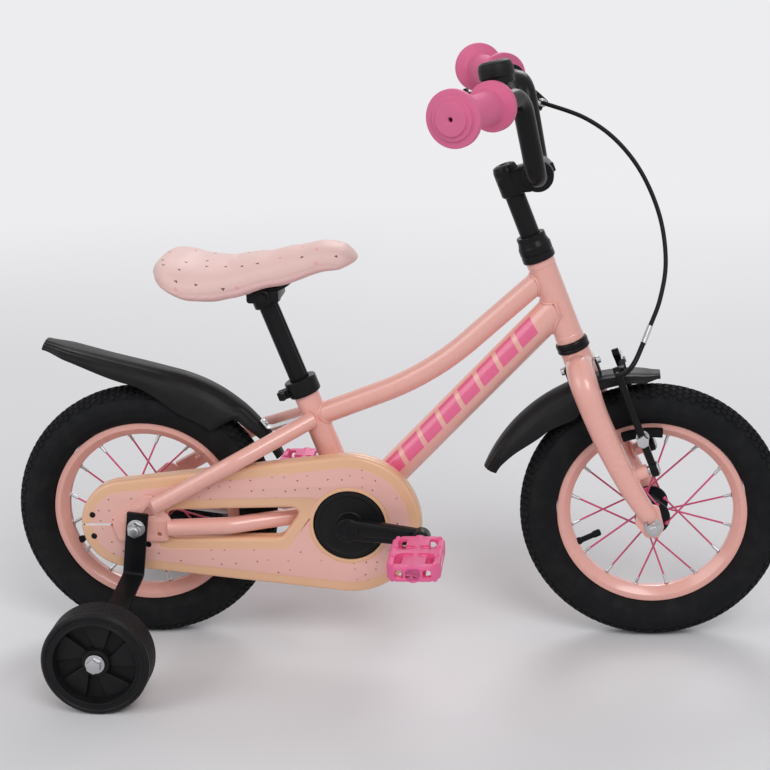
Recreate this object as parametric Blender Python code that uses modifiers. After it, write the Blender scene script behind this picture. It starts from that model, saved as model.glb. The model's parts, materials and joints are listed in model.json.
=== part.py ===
"""Child's pedal bicycle with 12-inch wheels and stabilisers, one named object for each piece.

Metres, +X forward, +Y to the rider's left, +Z up. The origin is on the ground, midway between the
wheels. Lengths along the bicycle are given forward of the rear axle unless they say otherwise.
"""

from math import acos, asin, atan2, cos, hypot, pi, radians, sin, sqrt, tan

import bmesh
import bpy
from mathutils import Matrix, Vector

# Clearances
FIT = 0.0003
RUNNING = 0.0006
PAD_GAP = 0.0029

# Wheels
WHEELBASE = 0.580
TYRE_RADIUS = 0.150
TYRE_BEAD_HALF_WIDTH = 0.0127
RIM_OUTER_RADIUS = 0.1075
RIM_DEPTH = 0.015
RIM_HALF_WIDTH = 0.011
WHEEL_STEPS = 32
TYRE_POINTS = 9
HUB_STEPS = 16
SPOKE_COUNT = 16
SPOKE_RADIUS = 0.0011
SPOKE_LACING = radians(52)
SPOKE_RING_WALL = 0.0025
SPOKE_RING_HALF = 0.004
SPOKE_HEAD_OFFSET = 0.0022
FRONT_FLANGE_RADIUS = 0.020
REAR_FLANGE_RADIUS = 0.025
FLANGE_OFFSET = 0.024
FLANGE_THICKNESS = 0.003
FRONT_HUB_RADIUS = 0.013
REAR_HUB_RADIUS = 0.021
FRONT_HUB_HALF = 0.038
REAR_HUB_HALF = 0.032
AXLE_RADIUS = 0.005
NUT_RADIUS = 0.0085
NUT_LENGTH = 0.009
WASHER_RADIUS = 0.010
WASHER_THICKNESS = 0.0015
AXLE_STUB = 0.004
CONE_RADIUS = 0.008

# Frame
BOTTOM_BRACKET_AHEAD = 0.240
BOTTOM_BRACKET_RISE = 0.0
SHELL_RADIUS = 0.020
SHELL_BORE_RADIUS = 0.017
SHELL_HALF_WIDTH = 0.034
SHELL_CUP_DEPTH = 0.005
SEAT_ANGLE = radians(20)
SEAT_TUBE_RADIUS = 0.0143
SEAT_TUBE_LENGTH = 0.163
DOWN_TUBE_RADIUS = 0.018
DOWN_TUBE_ON_HEAD = 0.0415
TOP_TUBE_RADIUS = 0.0125
TOP_TUBE_ON_SEAT = 0.120
TOP_TUBE_ON_HEAD = 0.0795
TOP_TUBE_REAR_LENGTH = 0.1414
TOP_TUBE_REAR_SLOPE = radians(20.5)
TOP_TUBE_BEND = 0.330
HEAD_ANGLE = radians(20)
FORK_RAKE = 0.0163
HEAD_TUBE_RADIUS = 0.016
HEAD_TUBE_BORE_RADIUS = 0.0143
HEAD_TUBE_LENGTH = 0.098
CUP_SPIGOT = 0.012
LOWER_CUP_HEIGHT = 0.011
UPPER_CUP_HEIGHT = 0.030
CUP_RADIUS = 0.0185
UPPER_CUP_TOP_RADIUS = 0.0163
STAY_RADIUS = 0.0095
CHAINSTAY_BEND_BEHIND = 0.045
CHAINSTAY_BEND_OUT = 0.046
CHAINSTAY_TURN_AHEAD = 0.028
SEATSTAY_FOOT_AHEAD = 0.024
SEATSTAY_FOOT_UP = 0.0275
SEATSTAY_BEND_AHEAD = 0.113
SEATSTAY_BEND_UP = 0.0765
DROPOUT_INNER = 0.051
DROPOUT_THICKNESS = 0.004
SEAT_CLAMP_RADIUS = 0.0185
SEAT_CLAMP_HEIGHT = 0.014
SEAT_CLAMP_LIP = 0.005
SEAT_CLAMP_EAR = 0.014

# Chaincase and drive
CHAIN_LINE = 0.039
CASE_INNER = 0.030
CASE_OUTER = 0.050
CASE_WALL = 0.0016
CASE_FRONT_RADIUS = 0.081
CASE_REAR_RADIUS = 0.052
CASE_REAR_SHIFT = -0.014
WINDOW_REAR = 0.032
WINDOW_LOW_FRONT = 0.162
WINDOW_HIGH_FRONT = 0.190
WINDOW_BELOW = 0.016
WINDOW_ABOVE = 0.017
WINDOW_CORNER = 0.008
DISC_RADIUS = 0.0395
CHAINRING_TEETH = 28
SPROCKET_TEETH = 14
CHAIN_PITCH = 0.0127
CHAIN_WIDTH = 0.007
CHAIN_HALF_HEIGHT = 0.0035
TOOTH_DEPTH = 0.004
COG_THICKNESS = 0.003
SPINDLE_RADIUS = 0.008
COASTER_ARM_THICKNESS = 0.003
COASTER_STRAP_AHEAD = 0.080
CRANK_LENGTH = 0.084
CRANK_INNER = 0.053
CRANK_BOSS_LENGTH = 0.013
CRANK_BOSS_RADIUS = 0.014
CRANK_EYE_RADIUS = 0.0105
CRANK_ARM_THICKNESS = 0.011
CRANK_EYE_OUT = 0.084
PEDAL_AXLE_RADIUS = 0.006
PEDAL_INNER = 0.099
PEDAL_WIDTH = 0.085
PEDAL_LENGTH = 0.057
PEDAL_HEIGHT = 0.021
PEDAL_BARREL_RADIUS = 0.010
PEDAL_FRAME = 0.007
PEDAL_NOTCHES = 4

# Fork, stem and handlebar
STEERER_RADIUS = 0.0127
STEERER_BORE_RADIUS = 0.0114
QUILL_RADIUS = 0.0111
QUILL_INSERTION = 0.060
CROWN_TYRE_GAP = 0.0271
CROWN_BELOW_CUP = 0.0175
CROWN_LEG_RADIUS = 0.0155
FORK_TIP_RADIUS = 0.0105
FORK_LEG_OUT = 0.0455
FORK_TIP_OUT = 0.048
FORK_DROPOUT_INNER = 0.046
FORK_DROPOUT_THICKNESS = 0.004
BAR_RADIUS = 0.0111
BAR_AHEAD = 0.0322
BAR_UP = 0.4093
BAR_SPARE = 0.0015
BAR_RISE = 0.0917
BAR_SETBACK = 0.0156
BAR_BEND_OUT = 0.062
BAR_BEND_RADIUS = 0.024
BAR_SWEEP = radians(22)
BAR_UPSWEEP = radians(0)
STEM_CLAMP_RADIUS = 0.0175
STEM_CLAMP_HALF = 0.020
STEM_BARREL_RADIUS = 0.014
STEM_BARREL_TOP = 0.432
STEM_ARM_WIDTH = 0.026
GRIP_INNER = 0.124
GRIP_LENGTH = 0.100
GRIP_END_WALL = 0.0055
GRIP_RADIUS = 0.0165
GRIP_INNER_FLANGE = 0.026
GRIP_OUTER_FLANGE = 0.029

# Front brake
BRAKE_BOSS_UP = 0.061
BRAKE_BOSS_AHEAD = 0.039
BRAKE_BOSS_OUT = 0.042
BRAKE_BOSS_RADIUS = 0.005
BRAKE_ARM_LENGTH = 0.117
BRAKE_ARM_THICKNESS = 0.008
BRAKE_ARM_TOP_OUT = 0.0360
BRAKE_ARM_WIDTH = 0.0095
PAD_LENGTH = 0.046
PAD_HEIGHT = 0.009
PAD_THICKNESS = 0.010
LEVER_CLAMP_OUT = 0.105
LEVER_PIVOT_AHEAD = 0.042
LEVER_DROP_ANGLE = radians(41)
LEVER_BLADE_LENGTH = 0.088
CABLE_RADIUS = 0.0025
NOODLE_RADIUS = 0.0030
NOODLE_RISE = 0.030
CABLE_BOW = 0.060
CABLE_LOOP = ((0.052, 0.064, 0.635), (0.137, 0.131, 1.107), (0.266, 0.215, 1.424), (0.435, 0.333, 1.540),
              (0.603, 0.485, 1.423), (0.739, 0.653, 1.130), (0.843, 0.838, 0.771))
NOODLE_BEND = ((0.868, 0.210, 0.949), (0.602, -0.173, 0.482), (0.318, -0.323, 0.166), (0, -0.217, 0), (0, 0, 0))

# Saddle
SEAT_POST_RADIUS = 0.0111
SEAT_POST_BASE = 0.088
SEAT_POST_TOP = 0.271
SADDLE_BEHIND_POST = 0.1203
SADDLE_LENGTH = 0.229
SADDLE_HALF_WIDTH = 0.070
SADDLE_NOSE_HALF_WIDTH = 0.024
SADDLE_ABOVE_POST = 0.0153
SADDLE_DEPTH = 0.057
RAIL_RADIUS = 0.0032
RAIL_OUT = 0.020
RAIL_LENGTH = 0.128

# Mudguards
GUARD_WALL = 0.002
GUARD_CROWN_GAP = 0.0008
REAR_GUARD_TYRE_GAP = 0.024
REAR_GUARD_SIDE_GAP = 0.004
REAR_GUARD_END = radians(67)
REAR_GUARD_TAIL_START = radians(14)
REAR_GUARD_TAIL = 0.150
FRONT_GUARD_TYRE_GAP = 0.015
FRONT_GUARD_SIDE_GAP = 0.003
FRONT_GUARD_TAIL = radians(74)
FRONT_GUARD_TIP = radians(-3)

# Stabilisers
STABILISER_RADIUS = 0.058
STABILISER_WIDTH = 0.034
STABILISER_OUT = 0.195
STABILISER_LEAN = radians(7.5)
BRACKET_THICKNESS = 0.004
BRACKET_WIDTH = 0.024
BRACKET_TOP = 0.017
BRACKET_DROP = 0.058
STABILISER_BLADES = 5

# Bell
BELL_OUT = 0.103
BELL_RADIUS = 0.0185
BELL_LEVER_UP = 0.0165
BELL_BASE_UP = 0.0192
BELL_TOP_UP = 0.0440
BELL_TILT = radians(14)

# Finishes: linear colour, roughness and metallic
FRAME_PINK = ((0.86, 0.42, 0.36), 0.30, 0.0)
CASE_PINK = ((0.84, 0.46, 0.40), 0.45, 0.0)
SPOKE_PINK = ((0.70, 0.08, 0.22), 0.35, 0.2)
GRIP_PINK = ((0.80, 0.13, 0.30), 0.55, 0.0)
PEDAL_PINK = ((0.85, 0.10, 0.30), 0.40, 0.0)
SADDLE_PINK = ((0.87, 0.58, 0.54), 0.50, 0.0)
BLACK_PAINT = ((0.012, 0.012, 0.013), 0.35, 0.0)
BLACK_PLASTIC = ((0.018, 0.018, 0.019), 0.50, 0.0)
RUBBER = ((0.015, 0.015, 0.016), 0.75, 0.0)
STEEL = ((0.55, 0.56, 0.57), 0.30, 1.0)

# Places worked out from the driving dimensions
REAR_X = -WHEELBASE / 2
SIDE = Vector((0, 1, 0))
REAR_AXLE = Vector((REAR_X, 0, TYRE_RADIUS))
FRONT_AXLE = REAR_AXLE + Vector((WHEELBASE, 0, 0))
BOTTOM_BRACKET = REAR_AXLE + Vector((BOTTOM_BRACKET_AHEAD, 0, BOTTOM_BRACKET_RISE))
SEAT_UP = Vector((-sin(SEAT_ANGLE), 0, cos(SEAT_ANGLE)))
SEAT_AHEAD = Vector((cos(SEAT_ANGLE), 0, sin(SEAT_ANGLE)))
STEER_UP = Vector((-sin(HEAD_ANGLE), 0, cos(HEAD_ANGLE)))
STEER_AHEAD = Vector((cos(HEAD_ANGLE), 0, sin(HEAD_ANGLE)))
STEER_FOOT = FRONT_AXLE - STEER_AHEAD * FORK_RAKE
CROWN_UNDERSIDE = sqrt(TYRE_RADIUS ** 2 - FORK_RAKE ** 2) + CROWN_TYRE_GAP
CROWN_UP = CROWN_UNDERSIDE + CROWN_LEG_RADIUS
CROWN_TOP = CROWN_UP + CROWN_BELOW_CUP
HEAD_TUBE_BASE = CROWN_TOP + 2 * FIT + LOWER_CUP_HEIGHT
HEAD_TUBE_TOP = HEAD_TUBE_BASE + HEAD_TUBE_LENGTH
STEERER_TOP = HEAD_TUBE_TOP + UPPER_CUP_HEIGHT - 0.005
TYRE_HEIGHT = TYRE_RADIUS - RIM_OUTER_RADIUS - FIT
TYRE_SECTION_RADIUS = (TYRE_HEIGHT ** 2 + TYRE_BEAD_HALF_WIDTH ** 2) / (2 * TYRE_HEIGHT)
TYRE_CENTRE_RADIUS = TYRE_RADIUS - TYRE_SECTION_RADIUS
RIM_INNER_RADIUS = RIM_OUTER_RADIUS - RIM_DEPTH
DROPOUT_OUTER = DROPOUT_INNER + DROPOUT_THICKNESS
CHAINRING_PITCH_RADIUS = CHAIN_PITCH / 2 / sin(pi / CHAINRING_TEETH)
SPROCKET_PITCH_RADIUS = CHAIN_PITCH / 2 / sin(pi / SPROCKET_TEETH)
CRANK_BORE_DEPTH = CRANK_BOSS_LENGTH - 0.004
REAR_GUARD_RADIUS = TYRE_RADIUS + REAR_GUARD_TYRE_GAP
REAR_GUARD_HALF_WIDTH = TYRE_SECTION_RADIUS + REAR_GUARD_SIDE_GAP
FRONT_GUARD_RADIUS = TYRE_RADIUS + FRONT_GUARD_TYRE_GAP
FRONT_GUARD_HALF_WIDTH = TYRE_SECTION_RADIUS + FRONT_GUARD_SIDE_GAP
CROWN_ANGLE = HEAD_ANGLE + atan2(FORK_RAKE, CROWN_UNDERSIDE)
CROWN_REACH = hypot(CROWN_UNDERSIDE, FORK_RAKE)
FRONT_GUARD_SPREAD = (CROWN_REACH - GUARD_CROWN_GAP - FRONT_GUARD_RADIUS) / CROWN_ANGLE
STABILISER_DROP = (TYRE_RADIUS - STABILISER_RADIUS) / cos(STABILISER_LEAN)
ALONG_Y = Matrix.Rotation(-pi / 2, 4, "X")
SIDE_VIEW = Matrix.Rotation(pi / 2, 4, "X")


def clear_scene():
    for obj in list(bpy.data.objects):
        bpy.data.objects.remove(obj, do_unlink=True)


clear_scene()
PARTS = bpy.data.collections.new("kids_bike")
CUTTERS = bpy.data.collections.new("cutters")
for group in (PARTS, CUTTERS):
    bpy.context.scene.collection.children.link(group)
CUTTERS.hide_render = True


def ahead(x, z, y=0.0):
    """A point x forward of the rear axle, at height z."""
    return Vector((REAR_X + x, y, z))


def steer(up, forward=0.0, out=0.0):
    """A point on the steering axis, up from the foot of the front axle's perpendicular."""
    return STEER_FOOT + STEER_UP * up + STEER_AHEAD * forward + SIDE * out


def seat(up, forward=0.0, out=0.0):
    """A point on the seat tube's axis, up from the bottom bracket."""
    return BOTTOM_BRACKET + SEAT_UP * up + SEAT_AHEAD * forward + SIDE * out


def frame(origin, x_axis, y_axis):
    x_axis = x_axis.normalized()
    z_axis = x_axis.cross(y_axis).normalized()
    y_axis = z_axis.cross(x_axis)
    turned_axes = Matrix((x_axis, y_axis, z_axis)).transposed().to_4x4()
    return Matrix.Translation(origin) @ turned_axes


def facing(origin, direction):
    """A frame at origin whose Z points along direction."""
    return Matrix.Translation(origin) @ direction.to_track_quat("Z", "Y").to_matrix().to_4x4()


def new_object(name, data, place=Matrix.Identity(4), cutter=False):
    obj = bpy.data.objects.new(name, data)
    obj.matrix_world = place
    if cutter:
        obj.hide_render = True
        obj.display_type = "WIRE"
        CUTTERS.objects.link(obj)
    else:
        PARTS.objects.link(obj)
    return obj


def helper(obj):
    """Turns a piece into a hidden helper of a Boolean."""
    PARTS.objects.unlink(obj)
    CUTTERS.objects.link(obj)
    obj.hide_render = True
    obj.display_type = "WIRE"
    return obj


def finish(obj, look):
    """Gives the piece its own material and smooth shading."""
    colour, roughness, metallic = look
    material = bpy.data.materials.new(obj.name)
    material.use_nodes = True
    shader = material.node_tree.nodes["Principled BSDF"]
    shader.inputs["Base Color"].default_value = (*colour, 1)
    shader.inputs["Roughness"].default_value = roughness
    shader.inputs["Metallic"].default_value = metallic
    obj.data.materials.append(material)
    if obj.type == "MESH":
        obj.data.shade_smooth()
        obj.data.set_sharp_from_angle(angle=radians(35))
    return obj


def from_bmesh(name, bm, place=Matrix.Identity(4), cutter=False):
    mesh = bpy.data.meshes.new(name)
    bm.to_mesh(mesh)
    bm.free()
    return new_object(name, mesh, place, cutter)


def rod(name, start, end, radius, end_radius=None, sides=16, cutter=False):
    """A round or tapered bar between two points."""
    bm = bmesh.new()
    length = (end - start).length
    bmesh.ops.create_cone(bm, cap_ends=True, segments=sides, radius1=radius,
                          radius2=radius if end_radius is None else end_radius, depth=length)
    bmesh.ops.translate(bm, vec=(0, 0, length / 2), verts=bm.verts)
    return from_bmesh(name, bm, facing(start, end - start), cutter)


def block(name, size, place, cutter=False):
    bm = bmesh.new()
    bmesh.ops.create_cube(bm, size=1)
    bmesh.ops.scale(bm, vec=size, verts=bm.verts)
    return from_bmesh(name, bm, place, cutter)


def turned(name, profile, place, steps=24, ring=True, cutter=False):
    """A profile of (radius, height), top to bottom on its outer side, spun about local Z."""
    mesh = bpy.data.meshes.new(name)
    last = len(profile) - 1
    edges = [(i, i + 1) for i in range(last)] + ([(last, 0)] if ring else [])
    mesh.from_pydata([(radius, 0, height) for radius, height in profile], edges, [])
    obj = new_object(name, mesh, place, cutter)
    screw = obj.modifiers.new("Screw", "SCREW")
    screw.steps = steps
    screw.render_steps = steps
    screw.use_merge_vertices = True
    screw.merge_threshold = 0.00002
    screw.use_smooth_shade = True
    return obj


def to_mesh(obj):
    """Turns a curve into a mesh with welded caps, in the same place."""
    graph = bpy.context.evaluated_depsgraph_get()
    mesh = bpy.data.meshes.new_from_object(obj.evaluated_get(graph))
    bm = bmesh.new()
    bm.from_mesh(mesh)
    bmesh.ops.remove_doubles(bm, verts=bm.verts, dist=0.00001)
    bmesh.ops.recalc_face_normals(bm, faces=bm.faces)
    bm.to_mesh(mesh)
    bm.free()
    name = obj.name
    place = obj.matrix_world.copy()
    hidden = obj.hide_render
    bpy.data.objects.remove(obj, do_unlink=True)
    return new_object(name, mesh, place, hidden)


def tube(name, points, radius, sides=12, radii=None, cutter=False):
    """A tube along a run of points, whose radius may change from point to point."""
    data = bpy.data.curves.new(name, "CURVE")
    data.dimensions = "3D"
    data.bevel_depth = radius
    data.bevel_resolution = (sides - 4) // 2
    data.use_fill_caps = True
    spline = data.splines.new("POLY")
    spline.points.add(len(points) - 1)
    for i, point in enumerate(points):
        spline.points[i].co = (*point, 1)
        spline.points[i].radius = radii[i] / radius if radii else 1
    obj = new_object(name, data, cutter=cutter)
    bpy.context.view_layer.update()
    return to_mesh(obj)


def plate(name, outlines, thickness, place, cutter=False):
    """A flat plate from closed outlines: the first is its edge, and those inside it are holes."""
    data = bpy.data.curves.new(name, "CURVE")
    data.dimensions = "2D"
    data.fill_mode = "BOTH"
    data.extrude = thickness / 2
    for outline in outlines:
        spline = data.splines.new("POLY")
        spline.points.add(len(outline) - 1)
        for i, (x, y) in enumerate(outline):
            spline.points[i].co = (x, y, 0, 1)
        spline.use_cyclic_u = True
    obj = new_object(name, data, place, cutter)
    bpy.context.view_layer.update()
    return to_mesh(obj)


def boolean(obj, other, operation):
    modifier = obj.modifiers.new(operation.title(), "BOOLEAN")
    modifier.operation = operation
    modifier.object = other
    return obj


def cut(obj, *cutters):
    for other in cutters:
        boolean(obj, other, "DIFFERENCE")
    return obj


def join(obj, *others):
    for other in others:
        boolean(obj, other if other.hide_render else helper(other), "UNION")
    return obj


def circle(centre, radius, steps=24, start=0.0):
    return [(centre[0] + radius * cos(start + 2 * pi * i / steps),
             centre[1] + radius * sin(start + 2 * pi * i / steps)) for i in range(steps)]


def belt(rear, rear_radius, front, front_radius, steps=16):
    """The outline of a tight belt round two circles, given as (x, z) centres."""
    span = hypot(front[0] - rear[0], front[1] - rear[1])
    slope = atan2(front[1] - rear[1], front[0] - rear[0])
    lean = acos((rear_radius - front_radius) / span)
    outline = []
    for centre, radius, first, sweep in (
        (front, front_radius, slope - lean, 2 * lean),
        (rear, rear_radius, slope + lean, 2 * pi - 2 * lean),
    ):
        for i in range(steps + 1):
            angle = first + sweep * i / steps
            outline.append((centre[0] + radius * cos(angle), centre[1] + radius * sin(angle)))
    return outline


def rounded(corners, radius, steps=2):
    """A closed outline with each corner rounded."""
    outline = []
    count = len(corners)
    for i in range(count):
        here = Vector(corners[i])
        before = (Vector(corners[i - 1]) - here).normalized()
        after = (Vector(corners[(i + 1) % count]) - here).normalized()
        half = before.angle(after) / 2
        reach = radius / tan(half)
        start, end = here + before * reach, here + after * reach
        for k in range(steps + 1):
            t = k / steps
            point = start * (1 - t) ** 2 + here * 2 * t * (1 - t) + end * t ** 2
            outline.append(tuple(point))
    return outline


def offset(corners, distance):
    """The polygon's corners moved out by distance, for corners that run anticlockwise."""
    moved = []
    count = len(corners)
    for i in range(count):
        here = Vector(corners[i])
        before = (here - Vector(corners[i - 1])).normalized()
        after = (Vector(corners[(i + 1) % count]) - here).normalized()
        normal_before = Vector((before.y, -before.x))
        normal_after = Vector((after.y, -after.x))
        middle = (normal_before + normal_after).normalized()
        moved.append(tuple(here + middle * distance / middle.dot(normal_before)))
    return moved


def strip(points, thickness):
    """The outline of a bent strip of even thickness along 2D points."""
    sides = ([], [])
    for i, point in enumerate(points):
        here = Vector(point)
        before = here - Vector(points[i - 1]) if i else Vector(points[1]) - here
        after = Vector(points[i + 1]) - here if i + 1 < len(points) else before
        direction = (before.normalized() + after.normalized()).normalized()
        normal = Vector((-direction.y, direction.x))
        reach = thickness / 2 / max(normal.dot(Vector((-before.y, before.x)).normalized()), 0.3)
        sides[0].append(tuple(here + normal * reach))
        sides[1].append(tuple(here - normal * reach))
    return sides[1] + sides[0][::-1]


def filleted(corners, radius, steps=5):
    """A 3D path through the corners, with each inner corner as an arc of the given radius."""
    path = [corners[0]]
    for before, here, after in zip(corners, corners[1:], corners[2:]):
        back = (before - here).normalized()
        on = (after - here).normalized()
        half = back.angle(on) / 2
        reach = radius / tan(half)
        centre = here + (back + on).normalized() * (radius / sin(half))
        start = here + back * reach - centre
        end = here + on * reach - centre
        turn = start.angle(end)
        for k in range(steps + 1):
            t = k / steps
            weight = (sin((1 - t) * turn) / sin(turn), sin(t * turn) / sin(turn))
            path.append(centre + start * weight[0] + end * weight[1])
    path.append(corners[-1])
    return path


def smooth_route(corners, per_span):
    """A smooth curve through the points, as a Catmull-Rom spline."""
    ends = [2 * corners[0] - corners[1], *corners, 2 * corners[-1] - corners[-2]]
    route = []
    for a, b, c, d in zip(ends, ends[1:], ends[2:], ends[3:]):
        for k in range(per_span):
            t = k / per_span
            route.append(0.5 * (2 * b + (c - a) * t + (2 * a - 5 * b + 4 * c - d) * t ** 2
                                + (3 * b - a - 3 * c + d) * t ** 3))
    route.append(corners[-1])
    return route


def pivot(name, location, *carried):
    """An empty on a joint's axis that carries its pieces."""
    empty = bpy.data.objects.new(name, None)
    empty.location = location
    empty.empty_display_size = 0.02
    PARTS.objects.link(empty)
    bpy.context.view_layer.update()
    for obj in carried:
        obj.parent = empty
        obj.matrix_parent_inverse = empty.matrix_world.inverted()
    return empty


def side_name(side):
    return "right" if side < 0 else "left"


def tyre(name, axle):
    outer_cut = acos((RIM_OUTER_RADIUS + FIT - TYRE_CENTRE_RADIUS) / TYRE_SECTION_RADIUS)
    profile = []
    for i in range(TYRE_POINTS):
        angle = outer_cut - 2 * outer_cut * i / (TYRE_POINTS - 1)
        profile.append((TYRE_CENTRE_RADIUS + TYRE_SECTION_RADIUS * cos(angle),
                        TYRE_SECTION_RADIUS * sin(angle)))
    return finish(turned(name, profile, Matrix.Translation(axle) @ ALONG_Y, WHEEL_STEPS), RUBBER)


def rim(name, axle):
    half = RIM_HALF_WIDTH
    shoulder = RIM_OUTER_RADIUS - RIM_DEPTH * 0.45
    profile = [(RIM_OUTER_RADIUS, half), (RIM_OUTER_RADIUS, -half), (shoulder, -half),
               (RIM_INNER_RADIUS, -half * 0.35), (RIM_INNER_RADIUS, half * 0.35), (shoulder, half)]
    return finish(turned(name, profile, Matrix.Translation(axle) @ ALONG_Y, WHEEL_STEPS), FRAME_PINK)


def hub(name, axle, barrel_radius, flange_radius, half):
    bore = AXLE_RADIUS + RUNNING
    inner, outer = FLANGE_OFFSET - FLANGE_THICKNESS / 2, FLANGE_OFFSET + FLANGE_THICKNESS / 2
    neck = barrel_radius * 0.8
    upper = [(bore, half), (neck * 0.9, half), (neck, outer),
             (flange_radius, outer), (flange_radius, inner), (barrel_radius, inner)]
    profile = upper + [(radius, -height) for radius, height in reversed(upper)]
    return finish(turned(name, profile, Matrix.Translation(axle) @ ALONG_Y, HUB_STEPS), BLACK_PAINT)


def spokes(name, axle, flange_radius):
    """Crossed spokes on a ring round each flange and a ring inside the rim, as one body."""
    rim_ring_outer = RIM_INNER_RADIUS - FIT
    rim_ring_inner = rim_ring_outer - SPOKE_RING_WALL
    place = Matrix.Translation(axle) @ ALONG_Y
    profile = [(rim_ring_outer, SPOKE_RING_HALF), (rim_ring_outer, -SPOKE_RING_HALF), (rim_ring_inner, 0)]
    ring = turned(name, profile, place, WHEEL_STEPS)
    hub_ring_inner = flange_radius + FIT
    hub_ring_outer = hub_ring_inner + SPOKE_RING_WALL
    reach = SPOKE_HEAD_OFFSET + 0.003
    for side in (-1, 1):
        middle = side * FLANGE_OFFSET
        profile = [(hub_ring_outer, middle + reach), (hub_ring_outer, middle - reach),
                   (hub_ring_inner, middle - reach), (hub_ring_inner, middle + reach)]
        join(ring, turned(f"{name}_flange_{side_name(side)}", profile, place, HUB_STEPS))
    bm = bmesh.new()
    start_radius = (hub_ring_inner + hub_ring_outer) / 2
    end_radius = (rim_ring_inner + rim_ring_outer) / 2
    for i in range(SPOKE_COUNT):
        side = 1 if i % 2 else -1
        lead = 1 if (i // 2) % 2 else -1
        rim_angle = 2 * pi * (i + 0.5) / SPOKE_COUNT
        hub_angle = rim_angle + lead * SPOKE_LACING
        start = Vector((start_radius * cos(hub_angle), start_radius * sin(hub_angle),
                        side * (FLANGE_OFFSET + lead * SPOKE_HEAD_OFFSET)))
        end = Vector((end_radius * cos(rim_angle), end_radius * sin(rim_angle), side * 0.0015))
        along = facing((start + end) / 2, end - start)
        bmesh.ops.create_cone(bm, cap_ends=True, segments=4, radius1=SPOKE_RADIUS,
                              radius2=SPOKE_RADIUS, depth=(end - start).length, matrix=along)
    join(ring, from_bmesh(f"{name}_wires", bm, place))
    ring.modifiers[-1].use_self = True
    return finish(ring, SPOKE_PINK)


def axle_with_nuts(name, axle, inner_face, clamped, cone_inner):
    """An axle with a cone, a washer and a nut on each side of what it clamps."""
    washer = inner_face + clamped + FIT
    nut = washer + WASHER_THICKNESS
    end = nut + NUT_LENGTH + AXLE_STUB
    body = rod(name, axle - SIDE * end, axle + SIDE * end, AXLE_RADIUS, sides=10)
    for side in (-1, 1):
        for label, start, stop, radius, sides in (
            ("cone", cone_inner, inner_face - 0.003, CONE_RADIUS, 10),
            ("washer", washer, nut + 0.0002, WASHER_RADIUS, 12),
            ("nut", nut, nut + NUT_LENGTH, NUT_RADIUS, 6),
        ):
            join(body, rod(f"{name}_{label}_{side_name(side)}", axle + SIDE * side * start,
                           axle + SIDE * side * stop, radius, sides=sides))
    return finish(body, STEEL)


def wheel(name, axle, barrel_radius, flange_radius, half):
    pieces = [
        tyre(f"{name}_tyre", axle),
        rim(f"{name}_rim", axle),
        spokes(f"{name}_spokes", axle, flange_radius),
        hub(f"{name}_hub", axle, barrel_radius, flange_radius, half),
    ]
    return pieces


# Frame cutters, each a piece's outside with its clearance
HEAD_CUTTER = rod("head_cutter", steer(HEAD_TUBE_BASE - 0.05), steer(HEAD_TUBE_TOP + 0.05),
                  HEAD_TUBE_RADIUS + FIT, sides=32, cutter=True)
SEAT_CUTTER = rod("seat_cutter", seat(-0.01), seat(SEAT_TUBE_LENGTH + 0.05),
                  SEAT_TUBE_RADIUS + FIT, sides=32, cutter=True)
SHELL_CUTTER = rod("shell_cutter", BOTTOM_BRACKET - SIDE * SHELL_HALF_WIDTH * 2,
                   BOTTOM_BRACKET + SIDE * SHELL_HALF_WIDTH * 2, SHELL_RADIUS + FIT,
                   sides=32, cutter=True)
DOWN_CUTTER = rod("down_cutter", BOTTOM_BRACKET, steer(HEAD_TUBE_BASE + DOWN_TUBE_ON_HEAD),
                  DOWN_TUBE_RADIUS + FIT, sides=32, cutter=True)


def frame_tubes():
    head_base, head_top = steer(HEAD_TUBE_BASE), steer(HEAD_TUBE_TOP)
    head = rod("head_tube", head_base, head_top, HEAD_TUBE_RADIUS, sides=20)
    cut(head, rod("head_bore", head_base - STEER_UP * 0.01, head_top + STEER_UP * 0.01,
                  HEAD_TUBE_BORE_RADIUS, sides=20, cutter=True))
    seat_tube = rod("seat_tube", seat(0), seat(SEAT_TUBE_LENGTH), SEAT_TUBE_RADIUS, sides=20)
    cut(seat_tube, rod("seat_bore", seat(SHELL_RADIUS + 0.003), seat(SEAT_TUBE_LENGTH + 0.01),
                       SEAT_POST_RADIUS + FIT, sides=16, cutter=True), SHELL_CUTTER, DOWN_CUTTER)
    down_end = steer(HEAD_TUBE_BASE + DOWN_TUBE_ON_HEAD)
    down = rod("down_tube", BOTTOM_BRACKET, down_end, DOWN_TUBE_RADIUS, sides=20)
    cut(down, SHELL_CUTTER, HEAD_CUTTER)
    low = seat(TOP_TUBE_ON_SEAT)
    corner = low + TOP_TUBE_REAR_LENGTH * Vector((cos(TOP_TUBE_REAR_SLOPE), 0, sin(TOP_TUBE_REAR_SLOPE)))
    high = steer(HEAD_TUBE_BASE + TOP_TUBE_ON_HEAD)
    top = tube("top_tube", filleted([low, corner, high], TOP_TUBE_BEND, 5), TOP_TUBE_RADIUS, 14)
    cut(top, SEAT_CUTTER, HEAD_CUTTER, DOWN_CUTTER)
    for obj in (head, seat_tube, down, top):
        finish(obj, FRAME_PINK)
    return head, seat_tube, down, top


def bottom_bracket_shell():
    """The shell with its bearing cups, whose ends close down on the spindle."""
    journal = SPINDLE_RADIUS + RUNNING
    half = SHELL_HALF_WIDTH
    inside = half - SHELL_CUP_DEPTH
    profile = [(journal, half), (SHELL_RADIUS, half), (SHELL_RADIUS, -half), (journal, -half),
               (journal, -inside), (SHELL_BORE_RADIUS, -inside), (SHELL_BORE_RADIUS, inside),
               (journal, inside)]
    place = Matrix.Translation(BOTTOM_BRACKET) @ ALONG_Y
    return finish(turned("bb_shell", profile, place, 16), FRAME_PINK)


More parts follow.
